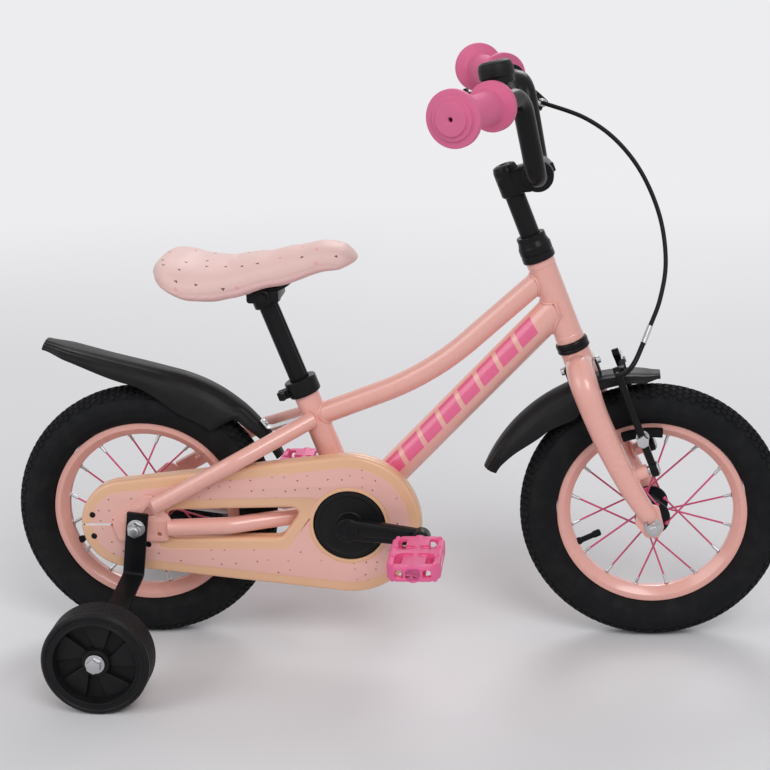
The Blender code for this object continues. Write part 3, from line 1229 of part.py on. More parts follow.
def brake_cable():
    """Housing from the lever's barrel round the front of the head tube to the noodle."""
    place = lever_frame()
    reach = LEVER_PIVOT_AHEAD - 0.002
    level = BRAKE_BOSS_UP + BRAKE_ARM_LENGTH
    end = steer(level, BRAKE_BOSS_AHEAD, -(BRAKE_ARM_TOP_OUT + 0.0068))
    start = place @ Vector((-0.0370, reach, 0))
    corners = [place @ Vector((-0.0255, reach, 0)), place @ Vector((-0.0310, reach, 0)), start]
    corners += [loop_point(start, end, *shares) for shares in CABLE_LOOP]
    housing = smooth_route(corners, 3)
    body = tube("brake_cable", housing, CABLE_RADIUS, 6)
    noodle_path = [corners[-1] + (corners[-1] - corners[-2]) * -0.12]
    noodle_path += [end + Vector(shares) * NOODLE_RISE for shares in NOODLE_BEND]
    noodle = tube("noodle", smooth_route(noodle_path, 2), NOODLE_RADIUS, 8)
    join(body, noodle)
    return finish(body, BLACK_PLASTIC)


def bell_axis():
    direction = grip_direction(-1)
    up = Vector((-sin(BELL_TILT), 0, cos(BELL_TILT)))
    up = (up - direction * up.dot(direction)).normalized()
    return on_bar(-1, BELL_OUT), direction, up


def bell():
    at, direction, up = bell_axis()
    ring = rod("bell", at - direction * 0.006, at + direction * 0.006, BAR_RADIUS + 0.003, sides=16)
    radius, base, top = BELL_RADIUS, BELL_BASE_UP, BELL_TOP_UP
    post = rod("bell_post", at + up * 0.012, at + up * (base + 0.002), 0.006, sides=12)
    profile = [(0, top), (radius * 0.72, top - 0.0005), (radius * 0.93, top - 0.004),
               (radius, top - 0.011), (radius, base + 0.0075), (radius * 0.92, base + 0.007),
               (radius * 0.92, base), (0, base)]
    dome = turned("bell_dome", profile, facing(at, up), 16, ring=False)
    join(ring, post, dome)
    cut(ring, rod("bell_bore", at - direction * 0.02, at + direction * 0.02,
                  BAR_RADIUS + FIT, sides=16, cutter=True))
    return finish(ring, BLACK_PLASTIC)


def bell_lever():
    """A thumb plate that turns on the post, under the dome."""
    at, direction, up = bell_axis()
    forward = direction.cross(up)
    forward = forward if forward.x > 0 else -forward
    back = (-forward + direction * 0.25).normalized()
    place = frame(at + up * BELL_LEVER_UP, back, up.cross(back))
    outline = belt((0, 0), 0.010, (BELL_RADIUS + 0.013, 0), 0.0065, 8)
    lever = plate("bell_lever", [outline, circle((0, 0), 0.006 + RUNNING, 12)], 0.0036, place)
    tab = block("bell_lever_tab", (0.004, 0.012, 0.009),
                place @ Matrix.Translation((BELL_RADIUS + 0.0165, 0, 0.002)))
    join(lever, tab)
    return finish(lever, BLACK_PLASTIC)


def saddle_half_width(t):
    """Half the saddle's width, from its back edge at t = 0 to the nose at t = 1."""
    back = min(t / 0.16, 1)
    rounding = (1 - (1 - back) ** 2.4) ** 0.5
    shoulder = 1 / (1 + (max(t - 0.10, 0) / 0.36) ** 2.6)
    width = SADDLE_NOSE_HALF_WIDTH + (SADDLE_HALF_WIDTH - SADDLE_NOSE_HALF_WIDTH) * shoulder
    front = max((t - 0.90) / 0.10, 0)
    return width * rounding * max(1 - front ** 2.2, 0) ** 0.5


def between(t, knots):
    """A smooth value through (t, value) knots."""
    for (t0, v0), (t1, v1) in zip(knots, knots[1:]):
        if t <= t1:
            s = (t - t0) / (t1 - t0)
            return v0 + (v1 - v0) * s * s * (3 - 2 * s)
    return knots[-1][1]


def saddle():
    """A crowned pad, wide and kicked up behind, whose sides draw in to the base."""
    post_top = seat(SEAT_POST_TOP)
    roof = post_top.z + SADDLE_ABOVE_POST
    top = [(0.0, 0.351), (0.09, 0.693), (0.17, 0.640), (0.35, 0.544), (0.55, 0.605),
           (0.87, 0.825), (0.95, 0.702), (1.0, 0.526)]
    base = [(0.0, 0.307), (0.08, 0.105), (0.22, -0.140), (0.40, -0.175), (0.60, 0.018),
            (0.88, 0.333), (1.0, 0.439)]
    bm = bmesh.new()
    bmesh.ops.create_uvsphere(bm, u_segments=20, v_segments=20, radius=1)
    for vert in bm.verts:
        unit = vert.co.normalized()
        t = 0.5 - 0.5 * cos(acos(max(-1, min(1, unit.z))))
        ring = hypot(unit.x, unit.y) or 1
        across, up = unit.x / ring, unit.y / ring
        width = saddle_half_width(t)
        crown = roof + SADDLE_DEPTH * between(t, top)
        floor = roof + SADDLE_DEPTH * between(t, base)
        seam = floor + (crown - floor) * 0.42
        drop = abs(across) ** 2.2
        if up > -1e-6:
            height = seam + (crown - seam) * max(up, 0) ** 0.75
            y = width * across * (1 - 0.02 * drop)
        else:
            height = seam + (seam - floor) * -((-up) ** 0.7)
            y = width * across * (1 - 0.10 * (-up) ** 1.2)
        vert.co = Vector((post_top.x - SADDLE_BEHIND_POST + SADDLE_LENGTH * t, y, height))
    bmesh.ops.remove_doubles(bm, verts=bm.verts, dist=0.00005)
    bmesh.ops.recalc_face_normals(bm, faces=bm.faces)
    pad = from_bmesh("saddle", bm)
    middle = post_top.x + 0.002
    pocket_depth = 0.05
    cut(pad, block("saddle_pocket", (RAIL_LENGTH + 2 * FIT, 2 * (RAIL_OUT + RAIL_RADIUS + 0.004), pocket_depth),
                   Matrix.Translation((middle, 0, roof - pocket_depth / 2)), cutter=True))
    return finish(pad, SADDLE_PINK)


def saddle_clamp():
    """The clamp on the seat post's top, with its cradle and the two rails under the saddle."""
    top = SEAT_POST_TOP
    body = rod("saddle_clamp", seat(top - 0.012), seat(top + 0.006), SEAT_POST_RADIUS + 0.0042, sides=16)
    centre = seat(top)
    rail_z = centre.z + SADDLE_ABOVE_POST - FIT - RAIL_RADIUS
    cradle_top = rail_z
    cradle_base = centre.z - 0.004
    cradle = block("saddle_cradle", (0.036, 2 * RAIL_OUT + 0.010, cradle_top - cradle_base),
                   Matrix.Translation((centre.x + 0.002, 0, (cradle_top + cradle_base) / 2)))
    join(body, cradle)
    for side in (-1, 1):
        half = Vector((RAIL_LENGTH / 2, 0, 0))
        at = Vector((centre.x + 0.002, side * RAIL_OUT, rail_z))
        join(body, rod(f"saddle_rail_{side_name(side)}", at - half, at + half, RAIL_RADIUS, sides=8))
    join(body, rod("saddle_clamp_bolt", Vector((centre.x + 0.002, -0.031, centre.z + 0.003)),
                   Vector((centre.x + 0.002, 0.031, centre.z + 0.003)), 0.006, sides=6))
    cut(body, rod("saddle_clamp_bore", seat(top - 0.03), seat(top + FIT),
                  SEAT_POST_RADIUS + FIT, sides=16, cutter=True))
    return finish(body, BLACK_PAINT)


def seat_post():
    return finish(rod("seat_post", seat(SEAT_POST_BASE), seat(SEAT_POST_TOP), SEAT_POST_RADIUS, sides=16),
                  BLACK_PAINT)


def guard(name, spine, half_widths, depths):
    """A mudguard: an arched section swept along a spine of (point, outward direction) pairs."""
    across = 6
    stations = len(spine)
    bm = bmesh.new()
    bmesh.ops.create_grid(bm, x_segments=stations - 1, y_segments=across, size=0.5)
    for vert in bm.verts:
        i = round((vert.co.x + 0.5) * (stations - 1))
        v = 2 * vert.co.y
        point, outward = spine[i]
        angle = v * pi / 2
        y = half_widths[i] * sin(angle)
        fall = depths[i] * (1 - abs(cos(angle)) ** 0.8)
        vert.co = point - outward * fall + SIDE * y
    obj = from_bmesh(name, bm)
    shell = obj.modifiers.new("Solidify", "SOLIDIFY")
    shell.thickness = GUARD_WALL
    shell.offset = -1
    return obj


def on_rear_guard(angle, proud=0.0):
    """A point on the rear guard's crown, at an angle forward of the top of the wheel."""
    radius = REAR_GUARD_RADIUS + proud
    if angle >= REAR_GUARD_TAIL_START:
        return REAR_AXLE + Vector((radius * sin(angle), 0, radius * cos(angle)))
    start = REAR_GUARD_TAIL_START
    along = REAR_GUARD_RADIUS * (start - angle)
    base = REAR_AXLE + Vector((radius * sin(start), 0, radius * cos(start)))
    return base + Vector((-cos(start), 0, sin(start))) * along


def rear_mudguard():
    spine, widths, depths = [], [], []
    tail_angle = REAR_GUARD_TAIL_START - REAR_GUARD_TAIL / REAR_GUARD_RADIUS
    count = 14
    for i in range(count):
        run = i / (count - 1)
        angle = tail_angle + (REAR_GUARD_END - tail_angle) * run
        flat = max(angle, REAR_GUARD_TAIL_START)
        spine.append((on_rear_guard(angle), Vector((sin(flat), 0, cos(flat)))))
        widths.append(REAR_GUARD_HALF_WIDTH * between(run, [(0, 0.55), (0.10, 0.98), (0.70, 1.0),
                                                            (0.84, 0.66), (1.0, 0.52)]))
        depths.append(between(run, [(0, 0.005), (0.12, 0.013), (0.34, 0.022), (0.58, 0.042),
                                    (0.70, 0.040), (0.82, 0.014), (1.0, 0.006)]))
    obj = guard("rear_fender", spine, widths, depths)
    return finish(obj, BLACK_PLASTIC)


def mudguard_bracket():
    """A strip from the rear guard's crown to the back of the seat tube."""
    start_angle = REAR_GUARD_END - radians(13)
    start = on_rear_guard(start_angle, FIT + 0.0008)
    outward = Vector((sin(start_angle), 0, cos(start_angle)))
    along = Vector((cos(start_angle), 0, -sin(start_angle)))
    foot = start - along * 0.008
    wall = seat(TOP_TUBE_ON_SEAT + 0.004, -(SEAT_TUBE_RADIUS + FIT))
    foot_end = start + along * 0.004
    rise = wall - SEAT_AHEAD * 0.012
    points = [foot, foot_end, foot_end + outward * 0.004 + along * 0.003, rise, wall]
    outline = strip([(point.x - REAR_X, point.z) for point in points], 0.0016)
    place = Matrix.Translation(Vector((REAR_X, 0, 0))) @ SIDE_VIEW
    obj = plate("rear_fender_bracket", [outline], 0.014, place)
    return finish(obj, STEEL)


def front_mudguard():
    """A long rear blade and a short front one, joined under the crown and bolted to it."""
    spine, widths, depths = [], [], []
    count = 14
    for i in range(count):
        run = i / (count - 1)
        angle = FRONT_GUARD_TAIL + (FRONT_GUARD_TIP - FRONT_GUARD_TAIL) * run
        radius = FRONT_GUARD_RADIUS + FRONT_GUARD_SPREAD * max(angle, 0)
        point = FRONT_AXLE + Vector((-radius * sin(angle), 0, radius * cos(angle)))
        spine.append((point, Vector((-sin(angle), 0, cos(angle)))))
        widths.append(FRONT_GUARD_HALF_WIDTH * between(run, [(0, 0.70), (0.10, 0.95), (0.2, 1.0),
                                                             (0.90, 0.92), (1.0, 0.60)]))
        depths.append(between(run, [(0, 0.006), (0.10, 0.018), (0.28, 0.036), (0.48, 0.036),
                                    (0.66, 0.013), (0.9, 0.009), (1.0, 0.004)]))
    obj = guard("front_fender", spine, widths, depths)
    hug = CROWN_LEG_RADIUS + 0.001 + FIT
    for label, way in (("rear", -1), ("front", 1)):
        at = steer(CROWN_UP - 0.003, way * (hug + 0.0012))
        foot = steer(CROWN_UP - 0.003 - 0.022, way * (hug + 0.0012))
        middle = (at + foot) / 2 + STEER_UP * 0.002
        height = (at - foot).length + 0.004
        tab = block(f"guard_tab_{label}", (0.0022, 0.014, height), frame(middle, STEER_AHEAD, SIDE))
        head = rod(f"guard_bolt_{label}", at, steer(CROWN_UP - 0.003, way * (hug + 0.0065)), 0.0042, sides=10)
        join(obj, tab, head)
    return finish(obj, BLACK_PLASTIC)


def stabiliser_leaned(point):
    """Turns a point about the rear axle by the bracket's lean."""
    turn = Matrix.Rotation(STABILISER_LEAN, 4, "Y")
    return REAR_AXLE + turn @ (point - REAR_AXLE)


def stabiliser_hub(out):
    return stabiliser_leaned(REAR_AXLE + Vector((0, out, -STABILISER_DROP)))


def stabiliser_bracket(side):
    """A bent strip: flat on the dropout, out over the wheel's side and down to its bolt."""
    inner = DROPOUT_OUTER + FIT
    middle = inner + BRACKET_THICKNESS / 2
    wheel_inner = STABILISER_OUT - STABILISER_WIDTH / 2
    hang = wheel_inner - 0.004 - BRACKET_THICKNESS / 2
    route = [(side * middle, BRACKET_TOP), (side * middle, -BRACKET_DROP),
             (side * hang, -STABILISER_DROP + 0.016), (side * hang, -STABILISER_DROP - 0.013)]
    outline = strip(route, BRACKET_THICKNESS)
    turn = Matrix.Rotation(STABILISER_LEAN, 4, "Y")
    place = Matrix.Translation(REAR_AXLE) @ turn @ frame(Vector((0, 0, 0)), SIDE, Vector((0, 0, 1)))
    obj = plate(f"stabiliser_bracket_{side_name(side)}", [outline], BRACKET_WIDTH, place)
    cut(obj, rod(f"bracket_axle_hole_{side_name(side)}", REAR_AXLE + SIDE * side * 0.04,
                 REAR_AXLE + SIDE * side * 0.08, AXLE_RADIUS + FIT, sides=10, cutter=True))
    hub_in, hub_out = stabiliser_hub(side * (hang - 0.02)), stabiliser_hub(side * (hang + 0.02))
    cut(obj, rod(f"bracket_bolt_hole_{side_name(side)}", hub_in, hub_out,
                 AXLE_RADIUS + FIT, sides=10, cutter=True))
    return finish(obj, BLACK_PAINT)


def stabiliser_bolt(side):
    """The stub axle through the bracket and wheel, with its head outside and nut inside."""
    half = STABILISER_WIDTH / 2
    wheel_inner, wheel_outer = STABILISER_OUT - half, STABILISER_OUT + half
    hang_inner = wheel_inner - 0.004 - BRACKET_THICKNESS
    hang_outer = wheel_inner - 0.004
    name = f"stabiliser_bolt_{side_name(side)}"
    hub_face = wheel_outer - 0.004
    body = rod(name, stabiliser_hub(side * (hang_inner - 0.008)), stabiliser_hub(side * (hub_face + 0.004)),
               AXLE_RADIUS, sides=10)
    for label, start, stop, radius, sides in (
        ("nut", hang_inner - 0.007, hang_inner - FIT, 0.0085, 6),
        ("spacer", hang_outer + FIT, wheel_inner + 0.0030 - RUNNING, 0.0085, 10),
        ("washer", hub_face + RUNNING, hub_face + 0.0022, 0.0105, 12),
        ("head", hub_face + 0.0015, hub_face + 0.0090, 0.0080, 6),
    ):
        join(body, rod(f"{name}_{label}", stabiliser_hub(side * start), stabiliser_hub(side * stop),
                       radius, sides=sides))
    return finish(body, STEEL)


def stabiliser_wheel(side):
    """A moulded wheel: ridged tread, a dished web and five blades on each face."""
    half = STABILISER_WIDTH / 2
    outer = STABILISER_RADIUS
    bore = AXLE_RADIUS + RUNNING
    groove = outer - 0.0022
    web = 0.003
    name = f"stabiliser_wheel_{side_name(side)}"
    tread = [(outer - 0.003, half), (outer, half - 0.003)]
    for middle in (0.0050, -0.0050):
        tread += [(outer, middle + 0.0022), (groove, middle), (outer, middle - 0.0022)]
    tread += [(outer, -half + 0.003), (outer - 0.003, -half)]
    inside = [(0.0455, -half), (0.0425, -web), (0.0155, -web), (0.0155, -half + 0.003),
              (bore, -half + 0.003), (bore, half - 0.004), (0.0155, half - 0.004), (0.0155, web),
              (0.0425, web), (0.0455, half)]
    centre = stabiliser_hub(side * STABILISER_OUT)
    place = Matrix.Translation(centre) @ (ALONG_Y if side > 0 else SIDE_VIEW)
    body = turned(name, tread + inside, place, 20)
    bm = bmesh.new()
    for i in range(STABILISER_BLADES):
        turn = Matrix.Rotation(2 * pi * i / STABILISER_BLADES, 4, "Z")
        lean = Matrix.Translation((0.029, 0.003, 0)) @ Matrix.Rotation(radians(16), 4, "Z")
        size = Matrix.Diagonal((0.031, 0.0045, STABILISER_WIDTH - 0.012, 1))
        bmesh.ops.create_cube(bm, size=1, matrix=turn @ lean @ size)
    join(body, from_bmesh(f"{name}_blades", bm, place))
    return finish(body, BLACK_PLASTIC)


def build():
    frame_tubes()
    bottom_bracket_shell()
    for side in (-1, 1):
        dropout(side)
        chainstay(side)
        seat_stay(side)
        stabiliser_bracket(side)
        stabiliser_bolt(side)
    seat_clamp()
    headset()
    chaincase()
    chain()
    axle_with_nuts("rear_axle", REAR_AXLE, DROPOUT_INNER,
                   DROPOUT_THICKNESS + FIT + BRACKET_THICKNESS, REAR_HUB_HALF + 0.014)
    coaster_arm()
    rear_mudguard()
    mudguard_bracket()
    pivot("seat_slide", seat(SEAT_TUBE_LENGTH), seat_post(), saddle(), saddle_clamp())
    crank_empty = pivot("crank_pivot", BOTTOM_BRACKET, spindle(), chainring(), crank(-1, 1), crank(1, -1))
    for side in (-1, 1):
        eye = BOTTOM_BRACKET + Vector((-side * CRANK_LENGTH, side * PEDAL_INNER, 0))
        empty = pivot(f"pedal_pivot_{side_name(side)}", eye, pedal(side, -side))
        empty.parent = crank_empty
        empty.matrix_parent_inverse = crank_empty.matrix_world.inverted()
    pivot("rear_wheel_pivot", REAR_AXLE,
          *wheel("rear", REAR_AXLE, REAR_HUB_RADIUS, REAR_FLANGE_RADIUS, REAR_HUB_HALF))
    pivot("sprocket_pivot", REAR_AXLE, rear_sprocket())
    steering = pivot("steering_pivot", steer(HEAD_TUBE_BASE), fork(), stem(), handlebar(), grip(-1), grip(1),
                     brake_lever_bracket(), brake_cable(), bell(), front_mudguard(),
                     axle_with_nuts("front_axle", FRONT_AXLE, FORK_DROPOUT_INNER, FORK_DROPOUT_THICKNESS,
                                    FRONT_HUB_HALF + 0.001))
    lever_at = lever_frame() @ Vector((0, LEVER_PIVOT_AHEAD, 0))
    bell_at, _, bell_up = bell_axis()
    steered = [
        pivot("front_wheel_pivot", FRONT_AXLE,
              *wheel("front", FRONT_AXLE, FRONT_HUB_RADIUS, FRONT_FLANGE_RADIUS, FRONT_HUB_HALF)),
        pivot("brake_lever_pivot", lever_at, brake_lever()),
        pivot("bell_lever_pivot", bell_at + bell_up * BELL_LEVER_UP, bell_lever()),
    ]
    for side in (-1, 1):
        boss = steer(BRAKE_BOSS_UP, BRAKE_BOSS_AHEAD, side * BRAKE_BOSS_OUT)
        steered.append(pivot(f"brake_arm_pivot_{side_name(side)}", boss, brake_arm(side)))
        pivot(f"stabiliser_pivot_{side_name(side)}", stabiliser_hub(side * STABILISER_OUT),
              stabiliser_wheel(side))
    for empty in steered:
        empty.parent = steering
        empty.matrix_parent_inverse = steering.matrix_world.inverted()


build()
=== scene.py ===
"""Child's pedal bicycle with stabilisers: the visible surface of each piece, its finish, and the stage.

Metres, +X forward, +Y to the rider's left, +Z up, on the same frame as the solid model.
"""

import json
from contextlib import contextmanager
from math import acos, asin, atan2, cos, exp, hypot, pi, radians, sin, sqrt, tan

import bpy
from mathutils import Matrix, Vector

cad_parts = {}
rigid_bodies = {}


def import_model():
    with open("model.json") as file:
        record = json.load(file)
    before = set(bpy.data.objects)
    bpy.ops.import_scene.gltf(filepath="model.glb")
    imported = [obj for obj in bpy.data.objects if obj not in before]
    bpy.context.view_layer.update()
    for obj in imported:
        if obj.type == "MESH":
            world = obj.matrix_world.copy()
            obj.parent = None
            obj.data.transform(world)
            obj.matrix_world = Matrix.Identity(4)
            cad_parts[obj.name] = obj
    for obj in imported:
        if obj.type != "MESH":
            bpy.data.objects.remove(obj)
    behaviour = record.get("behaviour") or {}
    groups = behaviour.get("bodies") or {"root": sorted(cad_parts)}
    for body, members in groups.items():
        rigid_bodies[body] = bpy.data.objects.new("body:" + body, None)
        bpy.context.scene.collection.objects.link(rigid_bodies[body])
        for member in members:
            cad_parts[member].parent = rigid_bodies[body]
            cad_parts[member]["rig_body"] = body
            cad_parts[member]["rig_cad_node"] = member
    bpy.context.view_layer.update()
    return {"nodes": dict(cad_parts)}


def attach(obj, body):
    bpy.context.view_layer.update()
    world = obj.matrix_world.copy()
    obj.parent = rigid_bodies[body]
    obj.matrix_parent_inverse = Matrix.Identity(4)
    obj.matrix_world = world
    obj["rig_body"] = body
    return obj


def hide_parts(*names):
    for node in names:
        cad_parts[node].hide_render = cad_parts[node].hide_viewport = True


bl_info = {
    "name": "Child's bicycle",
    "version": (1, 0, 0),
    "blender": (4, 5, 0),
    "location": "View3D > Sidebar > Bicycle",
    "description": "Dresses the solid model of a child's bicycle with its visible surfaces",
    "category": "Add Mesh",
}

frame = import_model()

# Sizes shared by several pieces, in metres
FIT = 0.0003
REAR_AXLE = Vector((-0.29, 0, 0.15))
FRONT_AXLE = Vector((0.29, 0, 0.15))
BOTTOM_BRACKET = Vector((-0.05, 0, 0.15))
SIDE = Vector((0, 1, 0))
TILT = radians(20)
UP = Vector((-sin(TILT), 0, cos(TILT)))
AHEAD = Vector((cos(TILT), 0, sin(TILT)))
FORK_RAKE = 0.0163
STEER_FOOT = FRONT_AXLE - AHEAD * FORK_RAKE
ALONG_Y = Matrix.Rotation(-pi / 2, 4, "X")
SIDE_VIEW = Matrix.Rotation(pi / 2, 4, "X")
TYRE_CENTRE = 0.127
TYRE_SECTION = 0.023
RIM_OUTER = 0.1075
RIM_INNER = 0.0925
RIM_HALF = 0.011
FLANGE_OFFSET = 0.024
HEAD_BASE = 0.2208
HEAD_TOP = 0.3188
HEAD_RADIUS = 0.016
SEAT_RADIUS = 0.0143
SEAT_BORE = 0.0114
SEAT_LENGTH = 0.163
TOP_ON_SEAT = 0.12
TOP_RADIUS = 0.0125
TOP_JOINT = HEAD_BASE + 0.0795
DOWN_RADIUS = 0.018
DOWN_JOINT = HEAD_BASE + 0.0415
SUNK = 0.0004
SHELL_RADIUS = 0.02
SHELL_HALF = 0.034
STAY_RADIUS = 0.0095
DROPOUT_INNER = 0.051
DROPOUT_THICKNESS = 0.004
DROPOUT_MIDDLE = DROPOUT_INNER + DROPOUT_THICKNESS / 2
CASE_OUTER = 0.05
CASE_MIDDLE = 0.04
CASE_WALL = 0.0016
DISC_RADIUS = 0.0395
CRANK_LENGTH = 0.084
PEDAL_INNER = 0.099
BAR_RADIUS = 0.0111
BAR_CENTRE = STEER_FOOT + UP * 0.4093 + AHEAD * 0.0322
BAR_SWEEP = radians(22)
POST_RADIUS = 0.0111
POST_TOP = 0.271
SADDLE_BEHIND = 0.1203
SADDLE_LENGTH = 0.229
SADDLE_HALF = 0.07
SADDLE_NOSE = 0.024
SADDLE_ABOVE_POST = 0.0153
SADDLE_DEPTH = 0.057
SADDLE_CROWN = ((0.0, 0.58), (0.08, 0.64), (0.14, 0.61), (0.24, 0.505), (0.35, 0.5), (0.55, 0.61),
                (0.7, 0.735), (0.84, 0.835), (0.92, 0.8), (1.0, 0.7))
SADDLE_FLOOR = ((0.0, -0.02), (0.08, -0.085), (0.22, -0.2), (0.33, -0.24), (0.4, -0.2), (0.6, -0.02),
                (0.88, 0.27), (1.0, 0.4))
SADDLE_CREASE = ((0.0, 0.6), (0.2, 0.42), (0.85, 0.4), (1.0, 0.15))
BOSS_UP = 0.061
BOSS_AHEAD = 0.039
BOSS_OUT = 0.042
ARM_LENGTH = 0.117
ARM_TOP_OUT = 0.036
PAD_RADIUS = 0.0995
PAD_LENGTH = 0.046
PAD_UP = sqrt(PAD_RADIUS ** 2 - (BOSS_AHEAD - FORK_RAKE) ** 2)
GUARD_WALL = 0.002
REAR_GUARD_RADIUS = 0.174
REAR_GUARD_BEND = radians(14)
REAR_GUARD_TAIL = 0.15
REAR_GUARD_END = radians(67)
CHAIN_PITCH = 0.0127
AXLE_BORE = 0.0056
BOLT_HOLE = 0.0053
CHAIN_LINE = 0.039
STABILISER_RADIUS = 0.058
STABILISER_HALF = 0.017
STABILISER_OUT = 0.195
STABILISER_LEAN = radians(7.5)


def shade(red, green, blue):
    """A linear colour from the 0 to 255 values of a screen."""
    return tuple(c / 12.92 if c <= 0.04045 else ((c + 0.055) / 1.055) ** 2.4
                 for c in (red / 255, green / 255, blue / 255))


# Places

def ahead(x, z, y=0.0):
    """A point x forward of the rear axle, at height z."""
    return Vector((REAR_AXLE.x + x, y, z))


def steer(up, forward=0.0, out=0.0):
    """A point on the steering axis, or forward of it and out to a side."""
    return STEER_FOOT + UP * up + AHEAD * forward + SIDE * out


def seat(up, forward=0.0):
    """A point on the seat tube's axis, or forward of it."""
    return BOTTOM_BRACKET + UP * up + AHEAD * forward


def shifted(x, y, z):
    return Matrix.Translation((x, y, z))


def on_axle(point):
    """A frame at point whose Z points to the rider's left."""
    return Matrix.Translation(point) @ ALONG_Y


def side_on(point):
    """A frame at point for outlines drawn as they look from the right."""
    return Matrix.Translation(point) @ SIDE_VIEW


def axes(origin, x_axis, y_axis):
    x_axis = x_axis.normalized()
    z_axis = x_axis.cross(y_axis).normalized()
    turned = Matrix((x_axis, z_axis.cross(x_axis), z_axis)).transposed().to_4x4()
    return Matrix.Translation(origin) @ turned


def facing(origin, direction):
    """A frame at origin whose Z points along direction."""
    return Matrix.Translation(origin) @ direction.to_track_quat("Z", "Y").to_matrix().to_4x4()


def side_name(side):
    return "right" if side < 0 else "left"


def grip_direction(side):
    return Vector((-sin(BAR_SWEEP), side * cos(BAR_SWEEP), 0))


def bar_bend(side):
    """The corner where the bar's riser meets the straight that holds the grip."""
    return BAR_CENTRE + Vector((-0.0156, side * 0.062, 0.0917))


def on_bar(side, out):
    """A point on the bar's straight, at a distance out from the middle plane."""
    direction = grip_direction(side)
    return bar_bend(side) + direction * ((out - 0.062) / abs(direction.y))


# Outlines and routes

def mm(*points):
    """The points in metres, from millimetres."""
    return [tuple(value / 1000 for value in point) for point in points]


def polar(radius, angle):
    return radius * cos(angle), radius * sin(angle)


def circle(centre, radius, steps=48):
    spots = [polar(radius, 2 * pi * i / steps) for i in range(steps)]
    return [(centre[0] + x, centre[1] + y) for x, y in spots]


def chamfered(radius, length, drop):
    """A round bar's profile with both its edges cut back."""
    return [(radius - drop, 0), (radius, drop), (radius, length - drop), (radius - drop, length)]


def belt(rear, rear_radius, front, front_radius, steps=24):
    """The outline of a tight belt round two circles."""
    span = hypot(front[0] - rear[0], front[1] - rear[1])
    slope = atan2(front[1] - rear[1], front[0] - rear[0])
    lean = acos((rear_radius - front_radius) / span)
    outline = []
    for centre, radius, first, sweep in ((front, front_radius, slope - lean, 2 * lean),
                                         (rear, rear_radius, slope + lean, 2 * pi - 2 * lean)):
        for i in range(steps + 1):
            x, y = polar(radius, first + sweep * i / steps)
            outline.append((centre[0] + x, centre[1] + y))
    return outline


def eased(points, radius, steps=3, closed=False):
    """The same line with its corners rounded, as far as the straights allow."""
    line = [Vector(point) for point in points]
    count = len(line)
    outline = []
    for i, here in enumerate(line):
        if not closed and i in (0, count - 1):
            outline.append(tuple(here))
            continue
        before, after = line[i - 1] - here, line[(i + 1) % count] - here
        half = before.angle(after) / 2
        if half > radians(88):
            outline.append(tuple(here))
            continue
        reach = min(radius / tan(half), before.length * 0.45, after.length * 0.45)
        start, end = here + before.normalized() * reach, here + after.normalized() * reach
        for k in range(steps + 1):
            t = k / steps
            outline.append(tuple(start * (1 - t) ** 2 + here * 2 * t * (1 - t) + end * t ** 2))
    return outline


def offset(corners, distance):
    """The polygon's corners moved out by distance, for corners that run anticlockwise."""
    moved = []
    count = len(corners)
    for i in range(count):
        here = Vector(corners[i])
        before = (here - Vector(corners[i - 1])).normalized()
        after = (Vector(corners[(i + 1) % count]) - here).normalized()
        normal = Vector((before.y, -before.x))
        middle = (normal + Vector((after.y, -after.x))).normalized()
        moved.append(tuple(here + middle * distance / middle.dot(normal)))
    return moved


def strip(points, thickness):
    """The outline of a bent strip of even thickness."""
    sides = ([], [])
    for i, point in enumerate(points):
        here = Vector(point)
        before = here - Vector(points[i - 1]) if i else Vector(points[1]) - here
        after = Vector(points[i + 1]) - here if i + 1 < len(points) else before
        direction = (before.normalized() + after.normalized()).normalized()
        normal = Vector((-direction.y, direction.x))
        reach = thickness / 2 / max(normal.dot(Vector((-before.y, before.x)).normalized()), 0.3)
        sides[0].append(tuple(here + normal * reach))
        sides[1].append(tuple(here - normal * reach))
    return sides[1] + sides[0][::-1]


def filleted(corners, radius, steps=12):
    """A path through the corners, with each inner corner as an arc."""
    path = [corners[0]]
    for before, here, after in zip(corners, corners[1:], corners[2:]):
        back, on = (before - here).normalized(), (after - here).normalized()
        half = back.angle(on) / 2
        reach = radius / tan(half)
        centre = here + (back + on).normalized() * (radius / sin(half))
        start, end = here + back * reach - centre, here + on * reach - centre
        turn = start.angle(end)
        for k in range(steps + 1):
            t = k / steps
            path.append(centre + start * (sin((1 - t) * turn) / sin(turn))
                        + end * (sin(t * turn) / sin(turn)))
    path.append(corners[-1])
    return path


def smooth_route(corners, per_span):
    """A smooth curve through the points, as a Catmull-Rom spline."""
    ends = [2 * corners[0] - corners[1], *corners, 2 * corners[-1] - corners[-2]]
    route = []
    for a, b, c, d in zip(ends, ends[1:], ends[2:], ends[3:]):
        for k in range(per_span):
            t = k / per_span
            route.append(0.5 * (2 * b + (c - a) * t + (2 * a - 5 * b + 4 * c - d) * t ** 2
                                + (3 * b - a - 3 * c + d) * t ** 3))
    route.append(corners[-1])
    return route


def between(t, knots):
    """A smooth value through (t, value) knots."""
    for (t0, v0), (t1, v1) in zip(knots, knots[1:]):
        if t <= t1:
            s = (t - t0) / (t1 - t0)
            return v0 + (v1 - v0) * s * s * (3 - 2 * s)
    return knots[-1][1]


